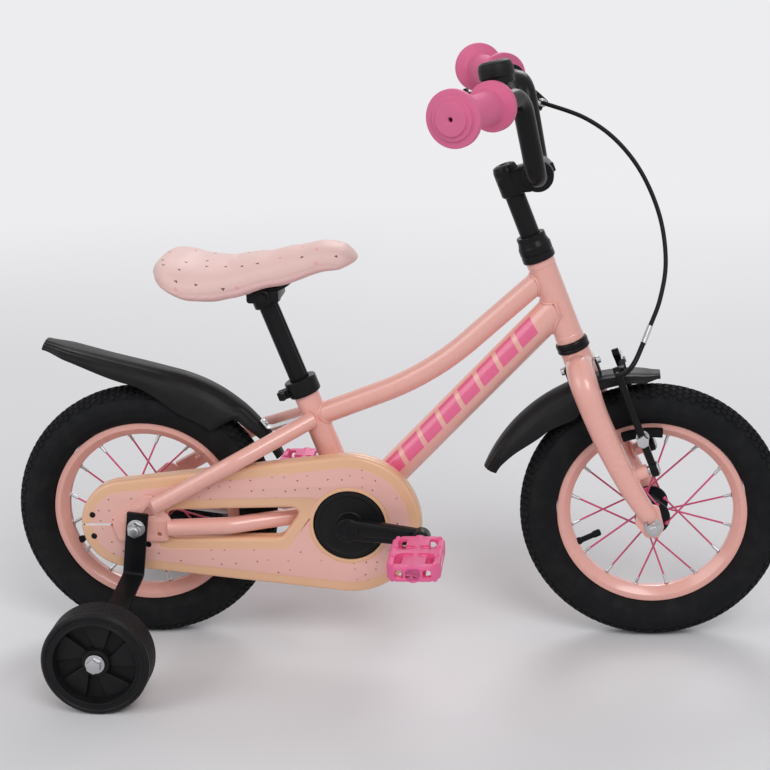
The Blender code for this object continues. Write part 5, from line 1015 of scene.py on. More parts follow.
def frame_tubes():
    head_low, head_high = steer(HEAD_BASE), steer(HEAD_TOP)
    bore = 0.0143
    rings = [(bore, 0), (HEAD_RADIUS, 0), (HEAD_RADIUS, 0.007), (HEAD_RADIUS - 0.0004, 0.0078),
             (HEAD_RADIUS - 0.0004, 0.0902), (HEAD_RADIUS, 0.091), (HEAD_RADIUS, 0.098), (bore, 0.098)]
    head = ring_shape(rings, facing(head_low, UP), 0.0006, 64)
    dressed(head, "head_tube_shell", "frame_paint", "frame", "head_tube")

    joint = steer(DOWN_JOINT)
    along = (joint - BOTTOM_BRACKET).normalized()
    down = carve(cylinder(BOTTOM_BRACKET, joint, DOWN_RADIUS, sides=64),
                 cylinder(head_low - UP * 0.05, head_high, HEAD_RADIUS - SUNK, sides=64), shell_cutter())
    down = welded(down, seam(joint, -along, DOWN_RADIUS, head_low, UP, HEAD_RADIUS),
                  seam(BOTTOM_BRACKET, along, DOWN_RADIUS, BOTTOM_BRACKET, SIDE, SHELL_RADIUS))
    dressed(down, "down_tube_shell", "decal_paint", "frame", "down_tube", slot="frame_paint")

    low, high = seat(TOP_ON_SEAT), steer(TOP_JOINT)
    corner = low + Vector((cos(radians(20.5)), 0, sin(radians(20.5)))) * 0.1414
    path = filleted([low, corner, high], 0.33, 24)
    top = carve(pipe(path, TOP_RADIUS, 48), cylinder(head_low, head_high, HEAD_RADIUS - SUNK, sides=64),
                seat_cutter())
    top = welded(top, seam(high, (path[-2] - high).normalized(), TOP_RADIUS, head_low, UP, HEAD_RADIUS),
                 seam(low, (path[1] - low).normalized(), TOP_RADIUS, seat(0), UP, SEAT_RADIUS))
    dressed(top, "top_tube_shell", "frame_paint", "frame", "top_tube")

    start, end = 0.0185, SEAT_LENGTH
    wall = [(SEAT_BORE, start), (SEAT_RADIUS, start), (SEAT_RADIUS, end), (SEAT_BORE, end)]
    tube = ring_shape(wall, facing(seat(0), UP), 0.0004, 64)
    tube = carve(tube, shell_cutter(), cylinder(BOTTOM_BRACKET, joint, 0.0174, sides=64))
    tube = welded(tube, seam(seat(0), UP, SEAT_RADIUS, BOTTOM_BRACKET, SIDE, SHELL_RADIUS))
    return dressed(tube, "seat_tube_shell", "frame_paint", "frame", "seat_tube")


def bottom_shell():
    half = SHELL_HALF
    bore = 0.0086
    profile = [(bore, half), (0.0125, half), (0.015, half - 0.0008), (SHELL_RADIUS - 0.0012, half - 0.0008),
               (SHELL_RADIUS, half - 0.002), (SHELL_RADIUS, -half + 0.002),
               (SHELL_RADIUS - 0.0012, -half + 0.0008), (0.015, -half + 0.0008), (0.0125, -half),
               (bore, -half)]
    shell = ring_shape(profile, on_axle(BOTTOM_BRACKET), 0.0005, 64)
    return dressed(shell, "bottom_shell", "frame_paint", "frame", "bb_shell")


def dropout(side):
    """The plate behind the nut, with its window under the seat stay."""
    edge = eased(mm((-29, 4), (-22, -18), (34, -18), (39.5, 6), (18, 37), (10, 37)), 0.006, 6, closed=True)
    window = eased(mm((4.5, 12), (21.5, 12), (13.5, 25.5)), 0.003, 6, closed=True)
    outlines = [edge, window, circle((0.0245, -0.0095), 0.0025, 24), circle((0, 0), BOLT_HOLE, 32)]
    place = side_on(REAR_AXLE + SIDE * side * DROPOUT_MIDDLE)
    plate = slab(outlines, DROPOUT_THICKNESS, place, sizes().edge_radius)
    label = side_name(side)
    return dressed(plate, f"dropout_plate_{label}", "frame_paint", "frame", f"dropout_{label}")


def chain_stay_path(side):
    corners = [ahead(0.035, 0.148, side * DROPOUT_MIDDLE), ahead(0.105, 0.148, side * 0.046),
               ahead(0.178, 0.149, side * 0.0175), BOTTOM_BRACKET + Vector((-0.004, side * 0.0145, 0))]
    return filleted(corners, 0.06, 16)


def stays(side):
    label = side_name(side)
    path = chain_stay_path(side)
    shell = shell_cutter()
    slot = cuboid((0.2, DROPOUT_THICKNESS + 2 * FIT, 0.2),
                  shifted(REAR_AXLE.x + 0.0398 - 0.1, side * DROPOUT_MIDDLE, 0.15))
    low = carve(pipe(path, STAY_RADIUS, 40), shell, slot)
    back = (path[-2] - path[-1]).normalized()
    line = seam(path[-1], back, STAY_RADIUS, BOTTOM_BRACKET, SIDE, SHELL_RADIUS)
    dressed(welded(soften(low, 0.0006, 2, 50), line), f"chain_stay_{label}", "frame_paint", "frame",
            f"chainstay_{label}")

    join_at = seat(TOP_ON_SEAT + 0.002) + Vector((0.001, side * 0.0165, 0))
    corners = [ahead(0.024, 0.1775, side * 0.0607), ahead(0.113, 0.2265, side * 0.0607), join_at]
    path = filleted(corners, 0.045, 16)
    slot = cuboid((0.2, 0.02, 0.12), shifted(REAR_AXLE.x + 0.045 - 0.1, side * (0.055 + FIT - 0.01), 0.19))
    tube = seat_cutter()
    high = soften(carve(pipe(path, STAY_RADIUS, 40), tube, slot), 0.0022, 4, 60)
    return dressed(high, f"seat_stay_{label}", "frame_paint", "frame", f"seatstay_{label}")


def seat_collar():
    """The band round the seat tube's top, with its ears and bolt behind."""
    top = SEAT_LENGTH
    profile = [(SEAT_BORE, top + 0.005), (0.0175, top + 0.005), (0.0185, top + 0.004),
               (0.0185, top - 0.012), (0.0175, top - 0.014), (0.0146, top - 0.014), (0.0146, top + FIT),
               (SEAT_BORE, top + FIT)]
    band = ring_shape(profile, facing(seat(0), UP), 0.0006, 64)
    middle = top - 0.007
    ear = cuboid((0.014, 0.014, 0.01), axes(seat(middle, -0.0233), AHEAD, SIDE))
    split = cuboid((0.02, 0.0016, 0.03), axes(seat(middle, -0.0262), AHEAD, SIDE))
    ear = soften(carve(ear, split), 0.0014, 3)
    at = seat(middle, -0.0235)
    bolt = turned(at - SIDE * 0.012, at + SIDE, mm((4.5, 0), (4.5, 5), (2.5, 5.2), (2.5, 22.5)), 0.0004, 32)
    nut = hex_nut(at + SIDE * 0.0065, at + SIDE * 0.011, 0.0045)
    dressed(merged(band, ear), "seat_collar", "black_paint", "frame", "seat_clamp")
    return dressed(merged(bolt, nut), "seat_collar_bolt", "black_paint", "frame")


def headset():
    lower = mm((13, 232.8), (14, 232.8), (14, 220.5), (17.8, 220.5), (18.5, 219), (18.5, 215),
               (17.8, 214.2), (17.8, 213.4), (18.5, 212.6), (18.5, 210.3), (17.8, 209.5), (13, 209.5))
    cup = ring_shape(lower, facing(steer(0), UP), 0.0003, 64)
    dressed(cup, "lower_cup", "black_paint", "frame", "headset_lower")
    upper = mm((11.4, 348.8), (15.7, 348.8), (16.3, 348), (16.3, 342), (17.8, 337.2), (18.5, 336),
               (18.5, 328.5), (17.7, 327.9), (17.7, 327.1), (18.5, 326.5), (18.5, 320.4), (17.8, 319.1),
               (14, 319.1), (14, 307), (13, 307), (13, 344.1), (11.4, 344.1))
    cap = ring_shape(upper, facing(steer(0), UP), 0.0003, 64)
    return dressed(cap, "upper_cup", "black_paint", "frame", "headset_upper")


# Drive

def case_outlines(inset):
    """The chaincase's edge and its window, moved into the wall by inset, about the rear axle."""
    edge = belt((-0.014, 0), 0.052 - inset, (0.24, 0), 0.081 - inset, 40)
    corners = mm((32, -16), (162, -16), (190, 21), (32, 17))
    return edge, eased(offset(corners, inset), 0.012, 6, closed=True)


def about_rear_axle(level):
    """A frame that lies flat at a distance out to the right of the rear axle."""
    return side_on(REAR_AXLE - SIDE * level)


def right_bar(centre, radius):
    return cylinder(centre - SIDE * 0.08, centre, radius, sides=96)


def chaincase():
    """Two trays that meet at the middle: a bordered cover with a printed face, and a plain back."""
    shell = slab(case_outlines(0), 0.02, about_rear_axle(CASE_MIDDLE), 0.0042)
    hollow = slab(case_outlines(CASE_WALL), 0.0168, about_rear_axle(CASE_MIDDLE), 0.0028)
    shell = carve(shell, hollow)
    back = copied(shell)
    inner_half = cuboid((0.6, 0.04, 0.4), shifted(-0.15, 0.02 - 0.04015, 0.15))
    outer_half = cuboid((0.6, 0.04, 0.4), shifted(-0.15, -0.02 - 0.03985, 0.15))
    slot = cuboid((0.08, 0.06, 0.003), Matrix.Translation(ahead(-0.04, 0.15, -0.05)))
    cover = carve(shell, inner_half, right_bar(BOTTOM_BRACKET, DISC_RADIUS + 0.0015), slot,
                  right_bar(REAR_AXLE, 0.0065))
    rim_ring = ring_shape(mm((41, 48.6), (44.8, 48.6), (44.8, 50.6), (41, 50.8)), side_on(BOTTOM_BRACKET),
                          0.0006, 96)
    dressed(merged(soften(cover, 0.0005, 2, 50), rim_ring), "case_cover", "border_plastic", "frame",
            "chaincase_cover", slot="chaincase_plastic")

    hub_slot = cuboid((0.084, 0.03, 0.034), Matrix.Translation(ahead(-0.034, 0.15, -0.03)))
    back = carve(back, outer_half, right_bar(BOTTOM_BRACKET, SHELL_RADIUS + FIT),
                 right_bar(REAR_AXLE, 0.0345), hub_slot)
    dressed(soften(back, 0.0005, 2, 50), "case_back", "border_plastic", "frame", "chaincase_back",
            slot="chaincase_plastic")

    border, height = sizes().border_width, sizes().face_height
    edge, window = case_outlines(border)
    outlines = [edge, window, circle((0.24, 0), 0.0456, 72)]
    face = slab(outlines, 0.0008 + height, about_rear_axle(CASE_OUTER - 0.0004 + height / 2), 0.0002)
    slot = cuboid((0.08, 0.06, 0.0034), Matrix.Translation(ahead(-0.04, 0.15, -0.05)))
    dressed(carve(face, slot, right_bar(REAR_AXLE, 0.0068)), "case_face", "printed_plastic", "frame",
            slot="chaincase_plastic")

    screws = []
    for x, z in ((-0.0518, 0.162), (-0.0517, 0.1364), (0.0101, 0.1265)):
        at = ahead(x, z, -CASE_OUTER + 0.0006)
        screws.append(turned(at, at - SIDE, mm((3.4, 0), (3.4, 1.3), (2.6, 1.8), (1.5, 1.8), (1.3, 1.4)),
                             0.0002, 24))
    return dressed(merged(*screws), "case_screws", "black_paint", "frame")


def tooth_outline(teeth, tip, root):
    """A cog's outline, each tooth with a narrow rounded tip and a wide round valley."""
    outline = []
    for i in range(teeth):
        for share, reach in ((0.0, 0.0), (0.12, 0.05), (0.24, 0.35), (0.36, 0.85), (0.46, 1.0),
                             (0.54, 1.0), (0.64, 0.85), (0.76, 0.35), (0.88, 0.05)):
            outline.append(polar(root + (tip - root) * reach, 2 * pi * (i + share) / teeth))
    return outline


def cog(teeth, axle, bore, steps):
    """A flat toothed ring on the chain's line."""
    tip = CHAIN_PITCH / 2 / sin(pi / teeth) - 0.0041
    return slab([tooth_outline(teeth, tip, tip - 0.004), circle((0, 0), bore, steps)], 0.003,
                side_on(axle - SIDE * CHAIN_LINE), 0.0004)


def chainring():
    """The toothed ring and the flat black disc that fills the hole in the cover."""
    ring = cog(28, BOTTOM_BRACKET, 0.0083, 48)
    profile = [(0.0083, 0.05), (0.015, 0.05), (0.016, 0.0492), (0.0335, 0.0492), (0.0345, 0.05),
               (DISC_RADIUS, 0.05), (DISC_RADIUS, 0.046), (0.015, 0.035), (0.0083, 0.035)]
    disc = ring_shape(profile, side_on(BOTTOM_BRACKET), 0.0005, 96)
    return dressed(merged(ring, disc), "chainring_and_disc", "black_plastic", "cranks", "chainring",
                   slot="black_paint")


def crank(side, heading):
    """A slim grooved arm from its boss to the pedal's eye."""
    label = side_name(side)
    eye = BOTTOM_BRACKET + Vector((heading * CRANK_LENGTH, 0, 0))
    way = SIDE * side
    start = BOTTOM_BRACKET + way * 0.0595
    rise = 0.084 - 0.0595
    lean, length = atan2(rise, CRANK_LENGTH), hypot(CRANK_LENGTH, rise)
    place = axes(start, Vector((heading * cos(lean), side * sin(lean), 0)), Vector((0, 0, 1)))
    arm = slab([belt((0, 0), 0.0125, (length, 0), 0.0092, 24)], 0.011, place, 0.0026)
    groove = slab([belt((0.02, 0), 0.0062, (length - 0.016, 0), 0.0042, 16)], 0.004,
                  place @ shifted(0, 0, 0.006), 0.0012)
    arm = carve(arm, groove)
    boss = turned(BOTTOM_BRACKET + way * 0.053, BOTTOM_BRACKET + way,
                  mm((12.5, 0), (14, 1), (14, 12), (13, 13), (9, 13), (8.6, 12.2)), 0.0008)
    knob = turned(eye + way * 0.078, eye + way, chamfered(0.0105, 0.016, 0.001), 0.0008)
    arm = merged(arm, boss, knob)
    dressed(arm, f"crank_arm_{label}", "black_paint", "cranks", f"crank_{label}")
    axle = turned(eye + way * 0.092, eye + way, mm((8, 0), (8, 6.2), (6, 6.4), (6, 80)), 0.0004, 40)
    return dressed(axle, f"pedal_axle_{label}", "silver_steel", "cranks")


def pedal(side, heading):
    """A moulded cage round its barrel, with studs at the corners and a reflector in each bar."""
    label = side_name(side)
    body = f"{label}_pedal"
    long, wide = 0.0285, 0.0425
    centre = BOTTOM_BRACKET + Vector((heading * CRANK_LENGTH, side * (PEDAL_INNER + wide), 0))
    place = Matrix.Translation(centre)
    edge = eased([(0.01 - long, -wide), (long - 0.01, -wide), (long, 0.01 - wide), (long, wide - 0.01),
                  (long - 0.01, wide), (0.01 - long, wide), (-long, wide - 0.01), (-long, 0.01 - wide)],
                 0.005, 4, closed=True)
    cage = slab([edge], 0.017, place, 0.002)
    tools = []
    for way in (-1, 1):
        for half in (-1, 1):
            hole = [(way * 0.0122, half * 0.0345), (way * 0.0215, half * 0.032),
                    (way * 0.0215, half * 0.0085), (way * 0.0122, half * 0.003)]
            tools.append(slab([eased(hole, 0.004, 5, closed=True)], 0.05, place))
            end = [(way * 0.0095, -0.0052), (way * 0.02, -0.004), (way * 0.0185, 0.0048),
                   (way * 0.011, 0.0052)]
            tools.append(slab([eased(end, 0.003, 5, closed=True)], 0.02,
                              side_on(centre + SIDE * half * wide)))
        for half in (-1, 1):
            notch = [(half * 0.005, -0.005), (half * 0.0165, -0.005), (half * 0.012, 0.005),
                     (half * 0.0075, 0.005)]
            tools.append(slab([eased(notch, 0.002, 3, closed=True)], 0.014,
                              axes(centre + Vector((way * 0.0085, 0, 0.0105)), SIDE, Vector((0, 0, 1)))))
        recess = cuboid((0.005, 0.05, 0.0098), Matrix.Translation(centre + Vector((way * long, 0, 0))))
        tools.append(recess)
    cage = soften(carve(cage, *tools), 0.0006, 2, 40)
    barrel = turned(centre - SIDE * wide, centre + SIDE,
                    mm((8.8, 0), (9.8, 1.2), (8.8, 12), (8.2, 42.5), (8.8, 73), (9.8, 83.8), (8.8, 85)),
                    0.001, 40)
    studs = []
    for x in (-0.0225, 0.0225):
        for y in (-0.0345, 0.0345, -0.012, 0.012):
            for level in (-1, 1):
                at = centre + Vector((x, y, level * 0.0075))
                tip = at + Vector((0, 0, level))
                studs.append(turned(at, tip, mm((3, 0), (3, 1.4), (2, 2.9)), 0.0003, 12))
    bore = cylinder(centre - SIDE * side * 0.06, centre + SIDE * side * 0.0325, 0.0062, sides=40)
    frame_piece = merged(cage, carve(barrel, bore), *studs)
    dressed(frame_piece, f"pedal_cage_{label}", "pedal_plastic", body, f"pedal_{label}")
    lenses = []
    for way in (-1, 1):
        lens = cuboid((0.0022, 0.0486, 0.0086), Matrix.Translation(centre + Vector((way * 0.0268, 0, 0))))
        lenses.append(soften(lens, 0.0006, 2))
    return dressed(merged(*lenses), f"pedal_lenses_{label}", "clear_reflector", body, slot="pedal_plastic")


def driver():
    """The rear cog on its driver, turning on the axle beside the hub."""
    ring = cog(14, REAR_AXLE, 0.0093, 40)
    profile = mm((5.6, 42), (13, 42), (14, 41.2), (14, 32.5), (5.6, 32.5))
    barrel = ring_shape(profile, side_on(REAR_AXLE), 0.0005, 48)
    return dressed(merged(ring, barrel), "rear_cog", "dark_steel", "driver", "rear_sprocket",
                   slot="chain_steel")


def coaster_arm():
    arm = softened("coaster_arm", 0.0005)
    dressed(arm, "coaster_strut", "silver_steel", "frame", "coaster_arm")
    path = chain_stay_path(1)
    strap = REAR_AXLE.x + 0.08
    at = next(a.lerp(b, (strap - a.x) / (b.x - a.x)) for a, b in zip(path, path[1:]) if b.x >= strap)
    low = at - Vector((0, 0, STAY_RADIUS + 0.0042))
    bolt = turned(low - SIDE * 0.0085, low + SIDE, mm((4, 0), (4, 3.5), (2.2, 3.7), (2.2, 14)), 0.0003, 24)
    return dressed(bolt, "coaster_strap_bolt", "silver_steel", "frame")


# Steering

def fork():
    """Two tapered blades meeting over the wheel, the collar and the steerer."""
    half = mm((10.5, 15.8, 48, 7.5), (13, 15.5, 48, 10.3), (36, 10, 47.5, 11.5), (60, 6, 46.5, 12.7),
              (100, 2, 45.5, 14), (139.7, 0, 45.5, 14.3), (163.7, 0, 44.7, 15), (178.7, 0, 39, 15.5),
              (188.7, 0, 26.5, 15.5), (191.7, 0, 12, 15.5))
    right = [Vector((*steer(up, forward, -out), radius)) for up, forward, out, radius in half]
    left = [Vector((*steer(up, forward, out), radius)) for up, forward, out, radius in reversed(half)]
    route = smooth_route(right + left, 6)
    blades = pipe([Vector(point[:3]) for point in route], [point[3] for point in route], 44)
    collar = turned(steer(0.188), steer(1), mm((15, 0), (16.5, 3), (16.5, 20), (15.5, 21.2)), 0.0008)
    steerer = rod(steer(0.207), steer(1), 0.0127, 0.1368, 0.0006)
    pieces = [blades, collar, steerer]
    for side in (-1, 1):
        corners = mm((-21, 4), (-8, -14), (6, -14), (12, -2), (6, 24), (-14, 26))
        slot = eased(mm((-8, 13), (1.5, 12.5), (-4, 21.5)), 0.0022, 5, closed=True)
        outlines = [eased(corners, 0.007, 6, closed=True), circle((0, 0), BOLT_HOLE, 32), slot]
        place = axes(FRONT_AXLE + SIDE * side * 0.048, Vector((1, 0, 0)), Vector((0, 0, 1)))
        pieces.append(slab(outlines, 0.004, place, sizes().edge_radius))
        root = steer(BOSS_UP, 0.006, side * BOSS_OUT)
        boss = mm((11.2, 10), (11.2, 12.5), (8, 14.2), (8, 25.5), (7, 26.5))
        pieces.append(turned(root, root + AHEAD, boss, 0.001))
    dressed(merged(*pieces), "fork_blades", "frame_paint", "steering", "fork")
    bolts = []
    bolt = mm((5, 0), (5, 11.2), (7.5, 11.4), (7.5, 12.6), (5.2, 13), (4.6, 13.6), (2, 13))
    for side in (-1, 1):
        root = steer(BOSS_UP, 0.006, side * BOSS_OUT)
        bolts.append(turned(root + AHEAD * 0.026, root + AHEAD, bolt, 0.0003))
    return dressed(merged(*bolts), "brake_boss_bolts", "silver_steel", "steering")


def stem():
    """The quill, its rounded barrel and the clamp round the bar."""
    quill = rod(steer(0.2888), steer(1), 0.0111, 0.1125, 0.0006)
    barrel = turned(steer(0.396), steer(1),
                    mm((12.5, 0), (14, 2), (14, 29), (12.5, 34.5), (8.5, 36), (4, 36), (3.6, 33)), 0.0016)
    clamp = turned(BAR_CENTRE - SIDE * 0.02, BAR_CENTRE, chamfered(0.0175, 0.04, 0.0015), 0.001)
    clamp = carve(clamp, bar_through(BAR_CENTRE, SIDE, 0.03, BAR_RADIUS + FIT))
    arm = slab([belt((0, 0.004), 0.0125, (0.02, 0), 0.015)], 0.026, axes(steer(0.4093), AHEAD, UP), 0.0045)
    dressed(merged(quill, barrel, clamp, arm), "stem_body", "black_paint", "steering", "stem")
    at = BAR_CENTRE + AHEAD * 0.016 - UP * 0.006
    bolt = turned(at + UP * 0.0125, at - UP, mm((3, 0), (3.6, 0.8), (3.6, 10)), 0.0004, 24)
    return dressed(bolt, "stem_bolt", "black_paint", "steering")


def handlebar():
    half_centre = 0.0215 + 0.024 * tan(radians(38))
    tips = [on_bar(side, 0.124) + grip_direction(side) * 0.0942 for side in (-1, 1)]
    corners = [tips[0], bar_bend(-1), BAR_CENTRE - SIDE * half_centre, BAR_CENTRE + SIDE * half_centre,
               bar_bend(1), tips[1]]
    bar = pipe(filleted(corners, 0.024, 16), BAR_RADIUS, 44)
    return dressed(bar, "handlebar_tube", "black_paint", "steering", "handlebar")


def grip(side):
    """A soft grip between two wide flanges, with stepped rings on its end and fine ribs on its waist."""
    profile = mm((2.5, 100), (16.6, 100), (16.6, 97.4), (21.6, 97.2), (21.6, 94.6), (29, 94.2), (29, 88.8),
                 (26.2, 87.2), (20.5, 85.6), (17.8, 82.5), (16.8, 77), (16.5, 72))
    for i in range(12):
        low = 0.07 - i * 0.0036
        profile += [(0.0165, low), (0.0161, low - 0.0009), (0.0161, low - 0.0018), (0.0165, low - 0.0027)]
    profile += [(0.0165, 0.02), (0.017, 0.013), (0.0186, 0.0092), (0.026, 0.0074), (0.026, 0),
                (BAR_RADIUS + FIT, 0), (BAR_RADIUS + FIT, 0.0945), (0.0025, 0.0945)]
    shape = ring_shape(profile, facing(on_bar(side, 0.124), grip_direction(side)), 0.0009, 72)
    label = side_name(side)
    return dressed(shape, f"grip_sleeve_{label}", "grip_rubber", "steering", f"grip_{label}")


def lever_place():
    """The brake lever's frame: X along the bar, Y forward and down from it."""
    direction = grip_direction(1)
    down = Vector((cos(radians(41)), 0, -sin(radians(41))))
    down = (down - direction * down.dot(direction)).normalized()
    return axes(on_bar(1, 0.105), direction, down)


def on_lever(x, y, z=0.0):
    return lever_place() @ Vector((x, y, z))


def bar_band(at, direction, start, radius, length):
    """A band round the bar."""
    band = turned(at - direction * start, at, chamfered(radius, length, 0.001), 0.0006)
    return carve(band, bar_through(at, direction, 0.02, BAR_RADIUS + FIT))


def lever_bracket():
    """The clamp on the bar with its two plates and its threaded adjuster."""
    place = lever_place()
    clamp = bar_band(on_bar(1, 0.105), grip_direction(1), 0.0055, 0.0156, 0.011)
    outline = eased(mm((-5.5, 6), (5.5, 6), (8, 32), (8, 46), (5, 49), (-15, 49), (-18, 46), (-18, 32)),
                    0.003, 4, closed=True)
    pieces = [clamp]
    for level in (-0.0055, 0.0055):
        pieces.append(slab([outline], 0.003, place @ shifted(0, 0, level), 0.0006))
    web = cuboid((0.009, 0.022, 0.012), place @ shifted(-0.001, 0.019, 0))
    cap = cuboid((0.003, 0.014, 0.012), place @ shifted(-0.0172, 0.04, 0))
    pieces += [soften(web, 0.0015, 3), soften(cap, 0.0008, 2)]
    dressed(merged(*pieces), "lever_mount", "black_paint", "steering", "brake_lever_bracket")
    ribs = mm((4.5, 0), (4.5, 4))
    for i in range(5):
        ribs += [(0.0045, 0.0048 + i * 0.0016), (0.004, 0.0056 + i * 0.0016)]
    barrel = turned(on_lever(-0.0165, 0.04), on_lever(-0.03, 0.04),
                    [*ribs, (0.0045, 0.013), (0.0038, 0.0135)], 0.0002, 32)
    barrel = carve(barrel, cylinder(on_lever(-0.025, 0.04), on_lever(-0.035, 0.04), 0.0028, sides=24))
    pin = turned(on_lever(0, 0.042, -0.0085), on_lever(0, 0.042, 0.0085),
                 mm((3.8, 0), (3.8, 1.4), (2.5, 1.5), (2.5, 15.5), (3.8, 15.6), (3.8, 17)), 0.0003, 24)
    return dressed(merged(barrel, pin), "lever_adjuster", "silver_steel", "steering")


def brake_lever():
    """The blade, flowing from its eye to the ball at its tip."""
    place = lever_place()
    route = mm((-1, 42), (14, 43), (30, 38), (48.4, 36), (70.4, 39), (88, 45))
    smooth = [tuple(point) for point in smooth_route([Vector(point) for point in route], 6)]
    blade = slab([strip(smooth, 0.009)], 0.0065, place, 0.0018)
    eye = rod(on_lever(0, 0.042, -0.0033), on_lever(0, 0.042, 0.0033), 0.006, 0.0066, steps=32)
    tip = turned(on_lever(0.088, 0.045, -0.0045), on_lever(0.088, 0.045, 0.0045),
                 mm((4.5, 0), (6.2, 2), (6.2, 7), (4.5, 9)), 0.0012, 32)
    bore = cylinder(on_lever(0, 0.042, -0.02), on_lever(0, 0.042, 0.02), 0.0028, sides=32)
    return dressed(merged(carve(combined(blade, "UNION", eye), bore), tip), "lever_blade", "black_paint",
                   "lever", "brake_lever")


def brake_arm(side):
    """A cantilever arm with its eye on the boss, its pad at the rim and the cable's end on top."""
    label = side_name(side)
    body = f"{label}_arm"
    top = BOSS_UP + ARM_LENGTH
    place = axes(steer(0, BOSS_AHEAD), SIDE, UP)
    route = mm((42, 61), (41, 91), (38, 133), (38, 162), (36, 178))
    smooth = smooth_route([Vector((side * x, y)) for x, y in route], 6)
    bar = slab([strip([tuple(point) for point in smooth], 0.0093)], 0.008, place, 0.0016)
    foot = steer(BOSS_UP, BOSS_AHEAD - 0.004, side * BOSS_OUT)
    head = steer(top, BOSS_AHEAD - 0.004, side * ARM_TOP_OUT)
    eye = turned(foot, foot + AHEAD, chamfered(0.009, 0.008, 0.0008), 0.0006)
    knob = turned(head, head + AHEAD, mm((5.5, 0), (6, 0.6), (6, 7.4), (5.5, 8)), 0.0004)
    bore = cylinder(foot - AHEAD * 0.02, foot + AHEAD * 0.03, 0.0056, sides=48)
    pieces = [carve(combined(bar, "UNION", eye), bore), knob]
    if side < 0:
        anchor = cuboid((0.009, 0.009, 0.006), axes(steer(top, 0.0446, -ARM_TOP_OUT), SIDE, UP))
        pieces.append(soften(anchor, 0.001, 3))
    dressed(merged(*pieces), f"brake_bar_{label}", "black_paint", body, f"brake_arm_{label}")

    face = RIM_HALF + 0.0029
    middle = pi / 2 + TILT - asin((BOSS_AHEAD - FORK_RAKE) / PAD_RADIUS)
    arc = [polar(PAD_RADIUS, middle + PAD_LENGTH / PAD_RADIUS * (i / 24 - 0.5)) for i in range(25)]
    pad = slab([eased(strip(arc, 0.009), 0.0016, 3, closed=True)], 0.01,
               side_on(FRONT_AXLE + SIDE * side * (face + 0.005)), 0.0009)
    dressed(pad, f"brake_pad_block_{label}", "black_rubber", body, slot="tyre_rubber")

    at = steer(PAD_UP, BOSS_AHEAD, side * (face + 0.009))
    way = SIDE * side
    steel = [rod(at, at + way, 0.004, 0.0295 - 0.0139 + 0.0125, 0.0003, 24)]
    for near, far, radius in ((0.0325, 0.034, 0.0075), (0.0345, 0.0358, 0.0066)):
        steel.append(rod(steer(PAD_UP, BOSS_AHEAD, side * near), at + way, radius, far - near, 0.0003, 32))
    nut_at = steer(PAD_UP, BOSS_AHEAD, side * 0.0455)
    steel.append(hex_nut(nut_at, nut_at + way * 0.006, 0.007))
    if side < 0:
        start = steer(top, 0.0452, -0.039)
        steel.append(cylinder(start, steer(top, 0.0452, 0.045), 0.0009, sides=10))
        ribs = []
        for i in range(10):
            radius = 0.0042 - 0.0001 * i
            ribs += [(radius, i * 0.003), (radius, i * 0.003 + 0.0014),
                     (radius - 0.0008, i * 0.003 + 0.0022)]
        boot_at = steer(top, 0.0452, -0.032)
        boot = turned(boot_at, boot_at + SIDE, ribs, 0.0003, 24)
        dressed(boot, "cable_boot", "black_rubber", body, slot="black_plastic")
    else:
        bolt_at = steer(top - 0.01, BOSS_AHEAD, 0.037)
        steel.append(hex_nut(bolt_at + AHEAD * 0.0036, bolt_at + AHEAD * 0.008, 0.004))
    return dressed(merged(*steel), f"brake_fittings_{label}", "silver_steel", body)


def brake_cable():
    """The jacketed cable from the lever round to the bent end tube on the right arm."""
    top = BOSS_UP + ARM_LENGTH
    end = steer(top, BOSS_AHEAD, -(ARM_TOP_OUT + 0.0068))
    start = on_lever(-0.037, 0.04)
    corners = [on_lever(-0.0255, 0.04), on_lever(-0.031, 0.04), start]
    for down, across, bow in ((0.052, 0.064, 0.635), (0.137, 0.131, 1.107), (0.266, 0.215, 1.424),
                              (0.435, 0.333, 1.54), (0.603, 0.485, 1.423), (0.739, 0.653, 1.13),
                              (0.843, 0.838, 0.771)):
        fall = start.lerp(end, down)
        corners.append(Vector((fall.x + 0.06 * bow, start.y + (end.y - start.y) * across, fall.z)))
    jacket = pipe(smooth_route(corners, 10), 0.0025, 20)
    dressed(jacket, "cable_jacket_run", "cable_jacket", "steering", "brake_cable", slot="cable_housing")
    bend = [corners[-1] + (corners[-1] - corners[-2]) * -0.12]
    bend += [end + Vector(share) * 0.03 for share in ((0.868, 0.21, 0.949), (0.602, -0.173, 0.482),
                                                      (0.318, -0.323, 0.166), (0, -0.217, 0), (0, 0, 0))]
    tube = smooth_route(bend, 10)
    dressed(pipe(tube[:9], 0.0032, 20), "cable_ferrule", "silver_steel", "steering")
    return dressed(pipe(tube[6:], 0.0028, 20), "cable_bend", "black_paint", "steering")


def bell_place():
    direction = grip_direction(-1)
    up = Vector((-sin(radians(14)), 0, cos(radians(14))))
    up = (up - direction * up.dot(direction)).normalized()
    return on_bar(-1, 0.103), direction, up


